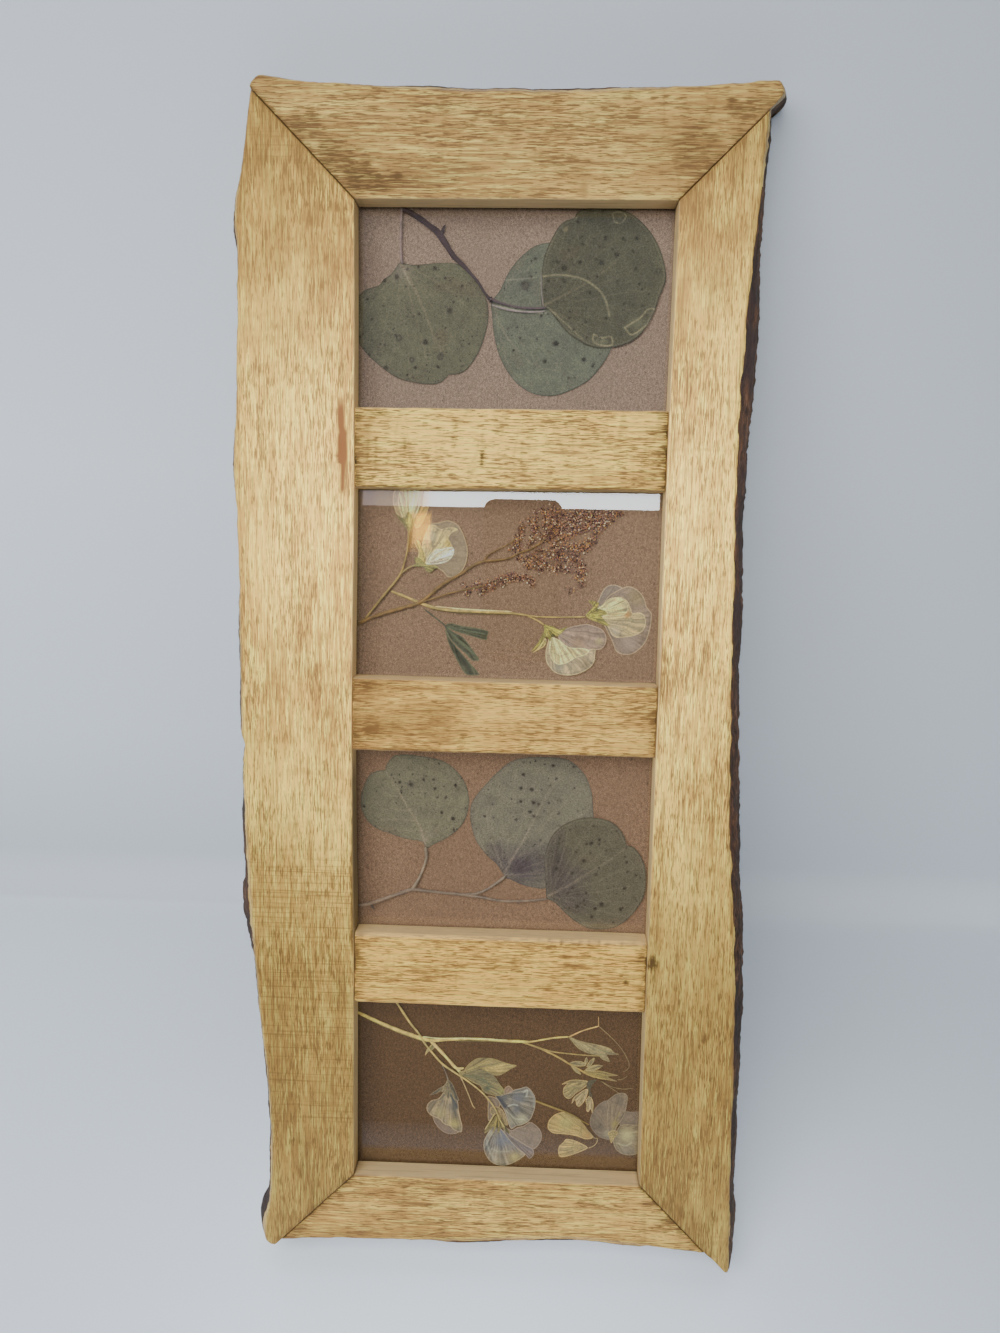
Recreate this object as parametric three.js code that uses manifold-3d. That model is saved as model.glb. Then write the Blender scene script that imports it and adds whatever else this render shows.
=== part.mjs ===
// Live-edge wooden frame with four glazed windows of pressed flowers and leaves.
// Millimetres, +Z up the long side, +X to the right as seen from the front, the front face looks along -Y.
// The back of the wood is the plane Y = 0, and the origin is the point on it behind the hanger.
import * as THREE from "three";
import { mergeVertices } from "three/addons/utils/BufferGeometryUtils.js";
import Module from "manifold-3d";

const wasm = await Module();
wasm.setup();

// ---------------------------------------------------------------- driving dimensions
const THICK = 21; // frame members, front face to back face
const LIP = 11.4; // depth of the front lip: the glass lies behind it
const REBATE_SIDE = 6.3; // how far the glass rebate runs under the stiles
const REBATE_END = 7.6; // and under the rails
const GLASS_T = 2;
const GLASS_W = 151.8;
const GLASS_H = 101.4;
const POCKET = 2; // room for the specimens between glass and backing
const BOARD_T = 3;
const BOARD_W = 151.4;
const BOARD_H = 101;
const GAP = 0.3; // between touching pieces
const SHEET_T = 0.4; // a pressed leaf or petal
const LAYERS = [14.8, 14.2, 13.6]; // depth of the front of each layer of specimens, backing side first
const HANGER_ABOVE = 30; // the hanger stands this far above the upper window
const POINT_T = 0.6; // flat steel retaining points
const POINT_DEPTH = 18.6;

// Heights are measured from the top edge of the upper window until the whole group is shifted.
// [top edge, bottom edge] of each window, from the top one down.
const WINDOWS = [
  [0.2, -88.1],
  [-123.4, -210.4],
  [-243.9, -332.8],
  [-367.5, -456.8],
];
// Cross rails: left end, right end, and the height of the front edge at
// top left, top right, bottom left, bottom right.
const CROSS_RAILS = [
  ["cross_rail_upper", -69.7, 69.4, -88.2, -87.9, -123.7, -123.0],
  ["cross_rail_middle", -70.6, 69.3, -209.9, -210.9, -243.9, -243.9],
  ["cross_rail_lower", -69.6, 69.1, -332.6, -333.0, -367.2, -367.7],
];

// Depths of the rings that shape a live edge, and how much of the outward swell each ring has.
const RING_DEPTHS = [0, 1.5, 5, 10, 16, THICK];
const SWELL = [0, 0.14, 0.42, 0.75, 1, 0.97];
const RIM_SWELL = [0, 0.52, 0.68, 0.85, 1, 0.97];

// ---------------------------------------------------------------- live-edge outlines
// Each vertex of the front face: x, z, and the outward swell in x and z at the widest ring.
// A fifth value of 1 marks a thick rim of bark close to the front face.
const TOP_RAIL = [
  [-69.79, 0.1, 0, 0], [70.09, 0.4, 0, 0],
  [107.0, 37.31, 4, 4], [109.2, 39.51, 4, 4], [111.2, 41.9, 4.4, 3.6], [112.6, 44.4, 4.5, 2],
  [112.1, 46.9, 4, 3.4], [110.6, 48.8, 2.6, 4.4], [105, 48.6, 0.4, 4.6], [97, 47.9, 0, 4.6],
  [90, 47.5, 0, 4.6], [82, 46.7, 0, 4.8], [75, 46.2, 0, 5], [67, 45.9, 0, 5.6], [60, 45.5, 0, 6.3],
  [50, 44.9, 0, 6.9], [40, 44.5, 0, 7.3], [30, 44.0, 0, 7.4], [20, 43.9, 0, 7.4], [10, 43.8, 0, 7.4],
  [0, 43.8, 0, 7.4], [-8, 43.8, 0, 7.4], [-15, 43.6, 0, 7.4], [-25, 44.1, 0, 7.3], [-33, 44.5, 0, 7.2],
  [-40, 44.9, 0, 7], [-50, 45.3, 0, 6.4], [-62, 46.1, 0, 5.2], [-75, 46.9, 0, 4.6], [-85, 47.5, 0, 4.4],
  [-95, 48.2, 0, 4.4], [-101, 49.0, 0, 4.4], [-107, 49.9, -0.3, 4.4], [-111.5, 50.2, -1.4, 4],
  [-113.6, 48.6, -2.2, 3.4], [-115.1, 46.0, -2.8, 2.8], [-114.6, 44.81, -2.6, 2.6],
];
const LEFT_STILE = [
  [-70, -0.21, 0, 0], [-114.6, 44.39, -2.6, 2.6],
  [-115.4, 40, -2.7, 0], [-116, 36, -2.8, 0], [-117.4, 25, -3.2, 0], [-118.9, 15, -4, 0], [-120.4, 5, -5, 0],
  [-121.3, -2, -5.5, 0], [-122, -11, -5.4, 0], [-121.6, -17, -4.4, 0], [-121.3, -22, -3.5, 0],
  [-121.6, -40, -3.2, 0], [-122, -60, -3.2, 0], [-122.6, -80, -3.3, 0], [-123.3, -98, -4.2, 0],
  [-124, -110, -4.8, 0], [-124, -121, -4.2, 0], [-123.3, -135, -3.2, 0], [-122.8, -150, -3.2, 0],
  [-122.4, -170, -3.6, 0], [-122.4, -185, -4.8, 0], [-122.2, -200, -5, 0], [-122, -214, -5, 0],
  [-121.9, -226, -5.4, 0], [-121.9, -237, -5, 0], [-121.2, -244, -3.9, 0], [-121.5, -254, -4.8, 0],
  [-121.3, -265, -5.4, 0], [-120.8, -280, -6.4, 0], [-120, -299, -6.4, 0], [-119.4, -311, -7, 0],
  [-119.1, -317, -8.6, 0], [-118.5, -328, -8.4, 0], [-117.8, -338, -7.5, 0], [-117.3, -345, -6.2, 0],
  [-116.9, -349, -5.1, 0], [-116, -365, -5.1, 0], [-114.8, -380, -5.2, 0], [-113, -395, -5.4, 0],
  [-111.6, -410, -5.3, 0], [-110.8, -425, -5, 0], [-110.3, -440, -4.9, 0], [-110.6, -455, -4.8, 0],
  [-111.2, -468, -4.1, 0], [-112.2, -477, -4.5, 0], [-113.2, -480.5, -5.4, 0], [-114.1, -484.5, -6.3, 0],
  [-114.4, -490, -6, -0.4], [-113.5, -494, -4.4, -1.4], [-111.6, -495.9, -2.8, -2.4], [-110, -496.1, -2, -2],
  [-108.4, -494.99, -1.9, -1.9],
  [-70, -456.59, 0, 0],
  [-70, -412, 0, 0], [-70, -321, 0, 0], [-70.5, -290, 0, 0], [-70.9, -244, 0, 0], [-70.9, -202, 0, 0],
  [-70.4, -163, 0, 0], [-70, -125, 0, 0],
];
const RIGHT_STILE = [
  [70.4, 0.29, 0, 0], [70.2, -40, 0, 0], [69.8, -83, 0, 0], [69.8, -120, 0, 0], [69.7, -160, 0, 0],
  [69.9, -200, 0, 0], [69.7, -245, 0, 0], [69.6, -320, 0, 0], [69.4, -345, 0, 0], [69.4, -369, 0, 0],
  [69.6, -407, 0, 0], [69.9, -456.49, 0, 0],
  [103.11, -490.9, 1.8, -1.9], [105, -492.6, 1.8, -1.9], [107.2, -494.5, 1.8, -1.9], [110, -497.2, 2, -2],
  [112, -499.5, 2.4, -2], [113.6, -501, 3, -2], [114.5, -501.1, 3.8, -1.2],
  [115, -499, 4.5, 0], [114.8, -490, 5.8, 0], [114.5, -480, 6.2, 0], [114, -470, 5.5, 0], [113.6, -452, 5.3, 0],
  [113.1, -436, 5.8, 0], [112.8, -422, 6, 0], [112.5, -405, 6.3, 0], [112.2, -390, 6.6, 0], [111.9, -376, 6.9, 0],
  [111.3, -362, 7.3, 0], [110.6, -350, 7.6, 0], [110, -340, 7.8, 0], [109.2, -327, 7.8, 0], [108, -314, 7.5, 0],
  [106.7, -300, 7.4, 0], [105.6, -287, 7.9, 0], [104.7, -274, 8.2, 0], [104, -262, 8.1, 0], [103.4, -248, 7.9, 0],
  [102.9, -232, 7.6, 0], [102.4, -215, 7.4, 0], [102, -200, 7.4, 0], [101.7, -185, 7.6, 0], [101.5, -170, 7.4, 0],
  [101.2, -157, 7.2, 0], [100.8, -145, 7, 0], [100.4, -134, 7, 0], [100.1, -122, 7.5, 0], [99.9, -111, 8.2, 0],
  [99.7, -100, 8.9, 0], [99.8, -88, 9.4, 0], [100.1, -73, 9.7, 0], [100.5, -60, 9.6, 0], [101, -50, 9, 0],
  [101.7, -40, 8.3, 0], [102.6, -30, 7, 0], [103.1, -20, 6, 0], [104, -10, 5.3, 0], [104.8, 2, 4.6, 0],
  [105.3, 10, 4.5, 0], [105.8, 20, 4.5, 0], [106.5, 30, 4.5, 0], [107.2, 37.09, 4, 4],
];
const BOTTOM_RAIL = [
  [-69.84, -456.85, 0, 0], [-106, -493.01, -1.6, -1.6],
  [-100, -492.4, 0, -2.4], [-92, -491.6, 0, -3], [-80, -491.1, 0, -3.2], [-69, -490.9, 0, -3.4], [-56, -490.7, 0, -3.6],
  [-44, -490.5, 0, -3.8], [-34, -490.4, 0, -4], [-25, -490, 0, -4.2, 1], [-15, -489.3, 0, -4.4, 1],
  [-6, -488.5, 0, -4.6, 1], [2, -487.8, 0, -4.7, 1], [12, -487, 0, -4.8, 1], [22, -486.3, 0, -4.8, 1],
  [32, -485.9, 0, -4.8, 1], [42, -485.7, 0, -4.8, 1], [50, -485.8, 0, -4.8, 1], [56, -486.4, 0, -4.7, 1],
  [62, -487, 0, -4.6, 1], [70, -487.9, 0, -4.4, 1], [80, -489, 0, -4], [90, -490, 0, -3.4], [98, -490.6, 0, -2.6],
  [102.8, -491, 1.8, -1.865],
  [69.79, -456.8, 0, 0],
];

// ---------------------------------------------------------------- pressed specimens
// Outlines are x, z; ribbons are x, z, width.
const LEAF_1A = [[-51, -22.2], [-50, -22.9], [-47, -23.5], [-43, -23.5], [-38, -23], [-33, -22.7], [-28, -22.7], [-25, -23.3], [-22, -25.3], [-19, -28], [-16, -32], [-13.5, -36], [-12, -40], [-11.5, -45], [-12, -50], [-13.5, -56], [-16, -62], [-20, -68], [-23, -70.5], [-26, -71.3], [-29, -71.5], [-31, -73.5], [-33, -75], [-36, -75.8], [-41, -75.7], [-46, -75], [-50, -74.2], [-54, -72.5], [-58, -70], [-62, -67], [-66, -63.5], [-69, -60], [-71.5, -56], [-73, -50], [-73, -44], [-71, -38.5], [-68, -35], [-64, -33.5], [-61, -32.5], [-59, -30], [-56, -28], [-54, -25.5], [-52.5, -23.4]];
const LEAF_1B = [[-10.4, -39.6], [-9, -37.5], [-7, -35], [-5, -31], [-3, -27], [0, -22.5], [4, -18.5], [8, -15.5], [12, -14], [16, -13.5], [22, -14], [28, -16], [34, -20], [40, -27], [44, -35], [46, -43], [46.5, -50], [45.5, -55], [44.5, -58.5], [43, -62], [40.5, -66], [37.5, -70], [34, -73.5], [29, -76.5], [24, -78.7], [20, -80], [16, -80.3], [11, -79.8], [6, -77.8], [1, -74], [-3, -69], [-6, -63.5], [-8, -57.5], [-9.3, -51], [-9.9, -45]];
const LEAF_1C = [[12.5, -41], [12.2, -37], [12, -31], [12.2, -26], [13, -20], [15, -14.5], [17, -10.5], [19.5, -6.5], [22, -4.5], [26, -3], [27.5, -0.5], [32, 1], [38, 1.8], [45, 1], [50, -0.5], [54, -3], [58, -6.5], [61, -10], [64, -15], [66, -20], [67.5, -26], [67.5, -30], [66, -34], [64.5, -38], [63.5, -42], [61.5, -46.5], [59, -50.5], [56, -54], [52, -56.5], [48, -58], [44.5, -58.7], [39, -59], [34, -58], [29, -55.5], [24, -52], [20, -47.5], [16.5, -43.5], [14.5, -42]];
const STEM_1 = [
  [[-51.8, 4, 2.2], [-50, 0, 2.3], [-47, -1.5, 2.5], [-42, -4.5, 2.5], [-38, -7.3, 2.4], [-35, -9.5, 2.8], [-33, -12, 2.9], [-31, -15, 2.8], [-29, -18, 2.6], [-27, -20.5, 2.4], [-24, -23, 2.3], [-20, -27, 1.6], [-16, -31.5, 1.3], [-13, -36, 1.3], [-10.6, -38.3, 3], [-9, -38.9, 2.2], [-7, -39.6, 1.2], [-2, -41, 1], [5, -42, 0.9], [12, -42, 0.8]],
  [[-51, 2, 1.1], [-51.2, -5, 0.9], [-51.3, -12, 0.9], [-51.2, -18, 0.9], [-51.1, -21.5, 1.2]],
  [[-33.4, -10.4, 1.5], [-32.2, -7.6, 1]],
];

const PLUME_STEM = [
  [[-74, -188, 2.2], [-68.5, -185, 2.2], [-60, -181.5, 2], [-50, -178.3, 1.9], [-42, -175.8, 1.9], [-38, -173, 1.9], [-33, -168.5, 1.8], [-28, -165, 1.7], [-22, -161.5, 1.6], [-17, -158, 1.5], [-12, -155.8, 1.4], [-5, -155, 1.2], [0, -154, 1.1], [5, -151.5, 1], [10, -149.5, 0.9], [14, -147, 0.8], [17, -144, 0.7]],
  [[-40, -175, 1.1], [-35, -173.5, 0.9], [-28, -171, 0.9], [-22, -169.5, 0.8], [-16, -168, 0.8], [-11, -167, 0.7]],
  [[-11.5, -155.6, 1], [-10.3, -153.6, 0.9], [-6, -150.5, 0.8], [-1, -148, 0.8], [3, -145, 0.7]],
];
const PLUME_HEAD = [[-1.5, -149.5], [1, -146], [2.5, -142], [4.5, -139], [5, -136.5], [9, -133.5], [12, -130.5], [15, -128], [19, -127], [22, -128.5], [25, -130.6], [34, -130], [41, -130.2], [47, -130.6], [52, -130.6], [55, -131.6], [50, -135.5], [46.5, -138.5], [43.5, -141.5], [41.8, -146.5], [38.5, -151], [34.5, -154], [36, -157], [38, -160], [36.8, -165], [36.5, -168.8], [33.5, -168.8], [30.5, -165], [29.5, -161.5], [24, -161.8], [19, -162.5], [14, -161.9], [10.5, -161], [6.6, -158.6], [7, -156], [3.6, -155.6], [1, -152.8]];
const PLUME_SPRAY = [[-23.4, -166.3], [-20.6, -164.9], [-17.4, -166.6], [-14.4, -163.2], [-10.6, -163.5], [-7.2, -164.4], [-5, -162], [0, -160.8], [4.4, -159.8], [8.4, -161.6], [12, -162.6], [14.3, -166.6], [10, -167.8], [7.6, -164.6], [2, -164.9], [-1.8, -167.4], [-5, -167], [-8.6, -169.8], [-11, -173.6], [-14.4, -172.8], [-16.6, -170.3], [-18.6, -173.8], [-20.2, -172], [-20.2, -168.7]];
const PEA_STEM_2A = [
  [[-66, -182, 1.3], [-60, -174.5, 1.4], [-52, -164.5, 1.4], [-50, -161, 1.2], [-48, -154, 1.1], [-47, -148, 1.1], [-46.7, -142.4, 1.2]],
  [[-51, -162.6, 1.1], [-47, -159.5, 1.1], [-44.5, -158.3, 1.2]],
];
const BLOOM_2A = [[-46.8, -142], [-49, -139.5], [-52, -136], [-54, -131], [-54.5, -127], [-53, -122.5], [-48, -119.5], [-43, -118.5], [-39, -121], [-37, -125], [-37.5, -130], [-39, -135], [-41, -139], [-44, -141.5]];
const BLOOM_2B = [[-44, -157], [-43, -152], [-41, -147], [-38, -143], [-36, -140], [-33, -138.3], [-29, -137.5], [-25, -138.5], [-22.5, -141.5], [-20, -146], [-19.3, -151], [-20, -156], [-22.5, -160.5], [-27, -163.3], [-31, -162.5], [-33.5, -160.3], [-36, -161.5], [-39, -160.2], [-42, -158.6]];
const PEA_STEM_2B = [
  [[-55, -170.5, 1.3], [-48, -173, 1.5], [-42, -175.5, 1.7], [-36, -177.5, 2], [-30, -178.7, 2], [-20, -179, 1.8], [-10, -179.3, 1.6], [0, -179.5, 1.4], [8, -180.3, 1], [14, -181, 0.8], [25, -181, 0.7], [36, -180.8, 0.7]],
  [[11, -181, 0.8], [14, -182.7, 0.8], [15.8, -183.8, 0.8]],
];
const BLOOM_2C = [[36.5, -180], [38, -177], [37.6, -173], [40.4, -173], [43, -168.5], [46, -166], [49, -165.5], [53, -166.3], [57, -167], [60, -168.5], [62.5, -171.5], [64.5, -175.5], [67, -178], [66.5, -183], [66, -188], [64, -192], [61, -196], [57, -198], [53, -198], [50, -195.5], [48, -191], [45, -187], [43, -184.5], [41, -183], [38, -181.5]];
const BLOOM_2D = [[17, -184.5], [21, -186], [25, -187.5], [29, -186], [33, -184.5], [37, -184], [41, -185], [44, -187], [46, -191], [45.5, -194], [42, -196], [41.5, -200], [39, -204.5], [35, -207], [29, -208], [23, -206], [20, -202.5], [18.3, -198], [18, -193], [17, -191.5], [15, -194.3], [12.5, -197.5], [11.5, -197.3], [14, -193], [16, -189]];
const PEA_LEAF_2 = {
  ribbons: [[[-39.3, -178.6, 0.7], [-33, -183.4, 0.8], [-29.4, -186.3, 1], [-28.5, -190.6, 0.9]]],
  plates: [
    [[-30, -186.3], [-27, -185], [-22, -186], [-15, -187], [-9, -188.5], [-9.5, -190.5], [-10, -192.5], [-15, -191.5], [-21, -189.8], [-26, -188.2]],
    [[-29.6, -186.4], [-26, -188.8], [-21, -191.5], [-18, -195], [-15, -199], [-13, -202], [-16, -202.5], [-20, -199], [-24, -195.5], [-27.5, -191.5]],
    [[-29.8, -187], [-27.5, -191.7], [-25, -195], [-22, -198.5], [-18, -203], [-14, -207.5], [-13, -209.2], [-19, -209.2], [-22, -205.5], [-25, -200], [-27.8, -194.5]],
  ],
};

const LEAF_3A = [[-37.5, -294.6], [-39, -291.5], [-42, -290.8], [-46, -290.3], [-51, -289], [-56, -287.3], [-60, -286], [-64, -283.5], [-67, -280], [-69, -275], [-69, -269], [-67, -262.5], [-64.5, -258.5], [-61, -256.8], [-57.5, -256.2], [-57, -254], [-55, -251], [-52.5, -249], [-47, -248.5], [-41, -249], [-34, -250], [-29, -251.5], [-24.5, -254.5], [-20.5, -259], [-18, -264], [-17, -269], [-17.2, -274], [-18.5, -279], [-21, -283.5], [-25, -287.3], [-29, -290], [-33, -292], [-35.5, -293.6]];
const LEAF_3B = [[0.8, -307.3], [-1.5, -303.5], [-4, -300.5], [-8, -297], [-12, -292], [-14.5, -287], [-16, -280], [-16.2, -274], [-15, -270], [-12, -265.5], [-9, -262], [-5, -257.5], [-1, -253.5], [3, -250.5], [8, -248.8], [13, -248.2], [20, -248], [26, -248.2], [31, -249.5], [35, -252.5], [38.5, -256.5], [40.5, -261], [42, -266], [42.5, -271], [43, -277], [42.5, -284], [40, -292], [36, -299], [31, -305], [26, -309.5], [22, -312.2], [19, -313], [13, -312.3], [8, -310.8], [4, -309], [2, -308.4]];
const LEAF_3C = [[21.5, -317.5], [21, -313], [20.5, -307], [20, -301], [20.5, -294], [23, -287], [27, -282], [32, -279], [37, -277.3], [42, -276.8], [47, -277.3], [52, -279], [56, -282.5], [58, -286], [59.5, -290], [62, -290.5], [65, -293.5], [67.5, -298], [69, -304], [69, -311], [68, -316], [66, -320], [63, -324.5], [59, -328.5], [54, -331.5], [48, -332.5], [42, -332], [36, -329], [31, -325], [27.5, -321.5], [25, -319.3]];
const STEM_3 = [
  [[-74.5, -324.2, 1.8], [-70, -324, 1.8], [-65, -323, 1.8], [-57, -320, 1.8], [-50, -317.3, 1.7], [-44, -315.2, 1.8], [-38, -315.5, 1.5], [-28, -316.3, 1.4], [-18, -317, 1.5], [-10, -318, 1.4], [0, -319.5, 1.3], [8, -319.3, 1.2], [15, -318.8, 1.2], [20.8, -318, 1.4]],
  [[-43.8, -315, 1.8], [-42.4, -312.5, 1.5], [-40.5, -309, 1.3], [-38.5, -304, 1.3], [-37.2, -299, 1.3], [-37.4, -295.2, 1.7]],
  [[-18, -317, 1.4], [-12, -316, 1.3], [-7, -313.5, 1.3], [-3, -310.5, 1.3], [0.2, -308.2, 1.4]],
  [[-64.4, -323, 1], [-62.4, -325.4, 0.8]],
];

const PEA_STEM_4A = [
  [[-75, -377.4, 1.8], [-70, -379.5, 1.8], [-60, -384, 2], [-50, -388, 2.2], [-40, -391.3, 2.3], [-34, -392.6, 2.3], [-28, -392, 2], [-18, -391.3, 1.7], [-8, -391, 1.6], [2, -391.5, 1.5], [10, -391.5, 1.6], [15, -391.5, 1.2], [20, -390.5, 1], [27, -389, 0.9], [33.4, -388.2, 1]],
  [[-34, -392.8, 2], [-29, -398.5, 2.4], [-25, -403, 2.4], [-21, -407.3, 2.2], [-18.6, -409.2, 2]],
  [[11, -391.8, 1.2], [18, -394, 1.2], [24, -396.5, 1.2], [30, -399.5, 1.2], [35, -402.5, 1], [39, -404.6, 1]],
  [[19, -394.2, 0.8], [26, -396.2, 0.7], [34, -397, 0.7], [42, -397.5, 0.7], [49.5, -397.6, 0.7]],
  [[-32.6, -393.8, 1.4], [-35, -396.5, 1.5], [-36.4, -400, 0.8]],
];
const PEA_STEM_4B = [
  [[-52.5, -371, 1.3], [-48, -378, 1.3], [-44, -384, 1.3], [-40, -389, 1.2], [-37, -394, 1.1], [-33, -399, 1.1], [-28, -404.5, 1.1], [-22, -408.7, 1.1], [-19, -410.6, 1.1], [-14, -414, 1.1], [-8, -419, 1], [-4, -423.5, 0.9], [-1, -428, 0.9], [1, -433, 0.9], [5, -438.5, 0.8]],
  [[-28.4, -404.6, 0.7], [-26.4, -409, 0.7], [-25.1, -412.6, 0.9]],
  [[-19.2, -410.6, 0.7], [-17.5, -414, 0.7], [-15, -420, 0.7], [-12, -427.5, 0.7]],
];
const PEA_LEAF_4A = [[-17, -407.2], [-15.4, -405], [-13, -402.8], [-11, -401.5], [-7, -401], [-3, -401.3], [1, -402.5], [5, -403.8], [8.5, -404.8], [4, -407.5], [0, -409.8], [-4, -410], [-9, -409.6], [-13.6, -409]];
const PEA_LEAF_4B = [[-17.4, -410], [-14, -407.8], [-9.5, -406.4], [-5, -408], [-2, -410.4], [1, -414], [3, -418], [0.6, -419.8], [-3, -420.6], [-6.4, -418.4], [-10, -415.8], [-14, -413]];
const BUD_4A = [[-25.2, -413.2], [-22.5, -415.5], [-21, -419.5], [-20, -424], [-19.3, -430], [-18.5, -435], [-17.5, -438], [-18.5, -441], [-22, -442.3], [-26, -442], [-29, -439.5], [-31.5, -436], [-33, -432.5], [-35.5, -430.5], [-35.8, -427], [-33, -424], [-31.4, -421.6], [-34.2, -421.8], [-31.6, -418.9], [-28.5, -417], [-26.5, -415.2]];
const BLOOM_4A = [[3, -416.7], [5, -415.5], [7, -417], [10, -416.5], [14, -415.5], [17, -418], [18.5, -421.5], [18.3, -426], [17, -430], [15, -434.5], [11, -437], [7, -438.5], [4, -436.5], [0, -434.6], [-4.6, -436], [-4.4, -430], [-5.7, -426], [-6, -421.6], [-3, -419.4], [0, -419]];
const BLOOM_4B = [[-1, -431], [-4, -435], [-6.5, -439], [-7, -445], [-6.5, -450], [-4, -455], [0, -457.5], [4, -458], [8, -456], [12, -453.5], [15, -452.5], [17, -453], [18, -449.5], [20, -446.5], [22, -443], [21.7, -439], [19, -435.5], [16, -434], [12, -436], [8, -439], [4, -436.5], [2, -433]];
const PEA_LEAF_4C = [[34.4, -388.8], [40, -390.5], [46, -391.7], [52, -392.8], [55, -394], [57, -396], [59, -396.7], [55.4, -397.2], [53.4, -397.7], [54.7, -400.2], [52, -400.5], [50, -398.2], [45, -397], [41, -395.5], [38, -393.5], [36, -391]];
const TENDRIL_4 = [
  [[34.6, -387.9, 0.8], [41, -384.5, 0.7], [48.6, -381.9, 0.8], [55, -387.5, 0.6], [60, -393, 0.6], [63.3, -398.5, 0.6], [64.3, -402, 0.6], [63, -404.4, 0.6], [61.2, -405.4, 0.6]],
  [[48.6, -382, 0.7], [48.6, -377.4, 0.6]],
];
const BUDS_4B = {
  ribbons: [],
  plates: [
    [[34.6, -402.2], [38, -401], [41, -401.3], [43.4, -402.6], [42.6, -399.6], [43.8, -399.3], [44.6, -401.6], [46, -399.2], [47.2, -399.6], [46.8, -402], [51.3, -402.8], [48, -405.4], [50, -406], [59, -407.6], [54.2, -409], [58.2, -410.5], [50, -409.6], [44, -408], [41.2, -406.4], [40.6, -408], [38, -406], [36, -404]],
  ],
};
const BUDS_4C = {
  ribbons: [],
  plates: [
    [[31.9, -412.9], [36, -411], [41, -411], [44.4, -411.4], [46, -414.5], [45.2, -419], [47.2, -423], [46.4, -428.4], [44.2, -426.4], [43.4, -421.4], [40, -424.8], [36.4, -423.2], [38, -419.6], [35, -421.2], [33, -419.7], [32.3, -416.5]],
  ],
};
const PETAL_4A = [[47.4, -440.6], [45.2, -437.5], [42, -433.4], [38.5, -430.2], [34, -428.7], [30, -429], [27, -431], [25.3, -434], [25.5, -437.5], [28, -439.5], [33, -440], [39, -440.7], [45, -442], [47.3, -441.6]];
const PETAL_4B = [[45.5, -447], [42, -444.7], [38, -443.2], [34, -443.7], [31, -446.5], [30.8, -450], [32, -452.3], [35, -452], [39, -450], [43, -448.5]];
const BLOOM_4C = {
  ribbons: [],
  plates: [
    [[46, -433], [47, -428], [50, -423], [54, -421.5], [55.5, -418.5], [59, -417], [63, -417], [64, -419], [63.3, -424], [62.6, -429], [66, -427], [69.5, -426.8], [73, -429], [74.6, -437], [73, -445], [69.5, -449], [64, -449.5], [60, -447], [58, -442], [57, -439.6], [55, -441], [51.5, -440.5], [49, -439], [47, -436]],
  ],
};
const STEM_4C = [
  [[18.9, -422.4, 1], [26, -425, 1], [32, -427, 1], [38, -429.5, 1], [42, -432, 1], [45, -435, 0.9], [48.4, -440.4, 0.9], [48, -443.6, 0.7], [46.4, -445.8, 0.7]],
];

// ---------------------------------------------------------------- helpers
const toY = (depth) => depth - THICK;

// A closed three.js geometry as a solid, and back.
function solid(geometry) {
  const g = geometry.clone();
  g.deleteAttribute("normal");
  g.deleteAttribute("uv");
  const merged = mergeVertices(g, 1e-4);
  return new wasm.Manifold(
    new wasm.Mesh({
      numProp: 3,
      vertProperties: new Float32Array(merged.attributes.position.array),
      triVerts: new Uint32Array(merged.index.array),
    }),
  );
}
function geometryOf(s) {
  const m = s.getMesh();
  const v = new Float32Array(m.numVert * 3);
  for (let i = 0; i < m.numVert; i++)
    v.set(m.vertProperties.subarray(i * m.numProp, i * m.numProp + 3), i * 3);
  const g = new THREE.BufferGeometry();
  g.setAttribute("position", new THREE.BufferAttribute(v, 3));
  g.setIndex(new THREE.BufferAttribute(new Uint32Array(m.triVerts), 1));
  g.computeVertexNormals();
  return g;
}

// A straight-sided prism of an x, z outline between two depths from the front face.
function prism(points, d0, d1) {
  const shape = new THREE.Shape(points.map((p) => new THREE.Vector2(p[0], p[1])));
  const g = new THREE.ExtrudeGeometry(shape, { depth: d1 - d0, bevelEnabled: false, steps: 1 });
  g.rotateX(Math.PI / 2);
  g.translate(0, toY(d1), 0);
  return g;
}
const box = (x0, x1, z0, z1, d0, d1) => prism([[x0, z0], [x1, z0], [x1, z1], [x0, z1]], d0, d1);

// A frame member: its outline swells outward ring by ring towards the back.
function liveEdge(outline) {
  const steps = RING_DEPTHS.length - 1;
  const shape = new THREE.Shape(outline.map((p) => new THREE.Vector2(p[0], p[1])));
  const g = new THREE.ExtrudeGeometry(shape, { depth: steps, bevelEnabled: false, steps });
  const key = (x, z) => x.toFixed(2) + "," + z.toFixed(2);
  const rows = new Map(outline.map((p) => [key(p[0], p[1]), p]));
  const pos = g.attributes.position;
  for (let i = 0; i < pos.count; i++) {
    const row = rows.get(key(pos.getX(i), pos.getY(i)));
    const ring = Math.round(pos.getZ(i));
    const k = (row[4] ? RIM_SWELL : SWELL)[ring];
    // turned so that the outline lies in X and Z, and the rings run back along Y
    pos.setXYZ(i, row[0] + row[2] * k, toY(RING_DEPTHS[ring]), row[1] + row[3] * k);
  }
  // X, Y, Z became X, depth, Z, which mirrors the solid: turn each triangle round
  for (let i = 0; i < pos.count; i += 3) {
    const a = [pos.getX(i + 1), pos.getY(i + 1), pos.getZ(i + 1)];
    pos.setXYZ(i + 1, pos.getX(i + 2), pos.getY(i + 2), pos.getZ(i + 2));
    pos.setXYZ(i + 2, a[0], a[1], a[2]);
  }
  return g;
}

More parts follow.
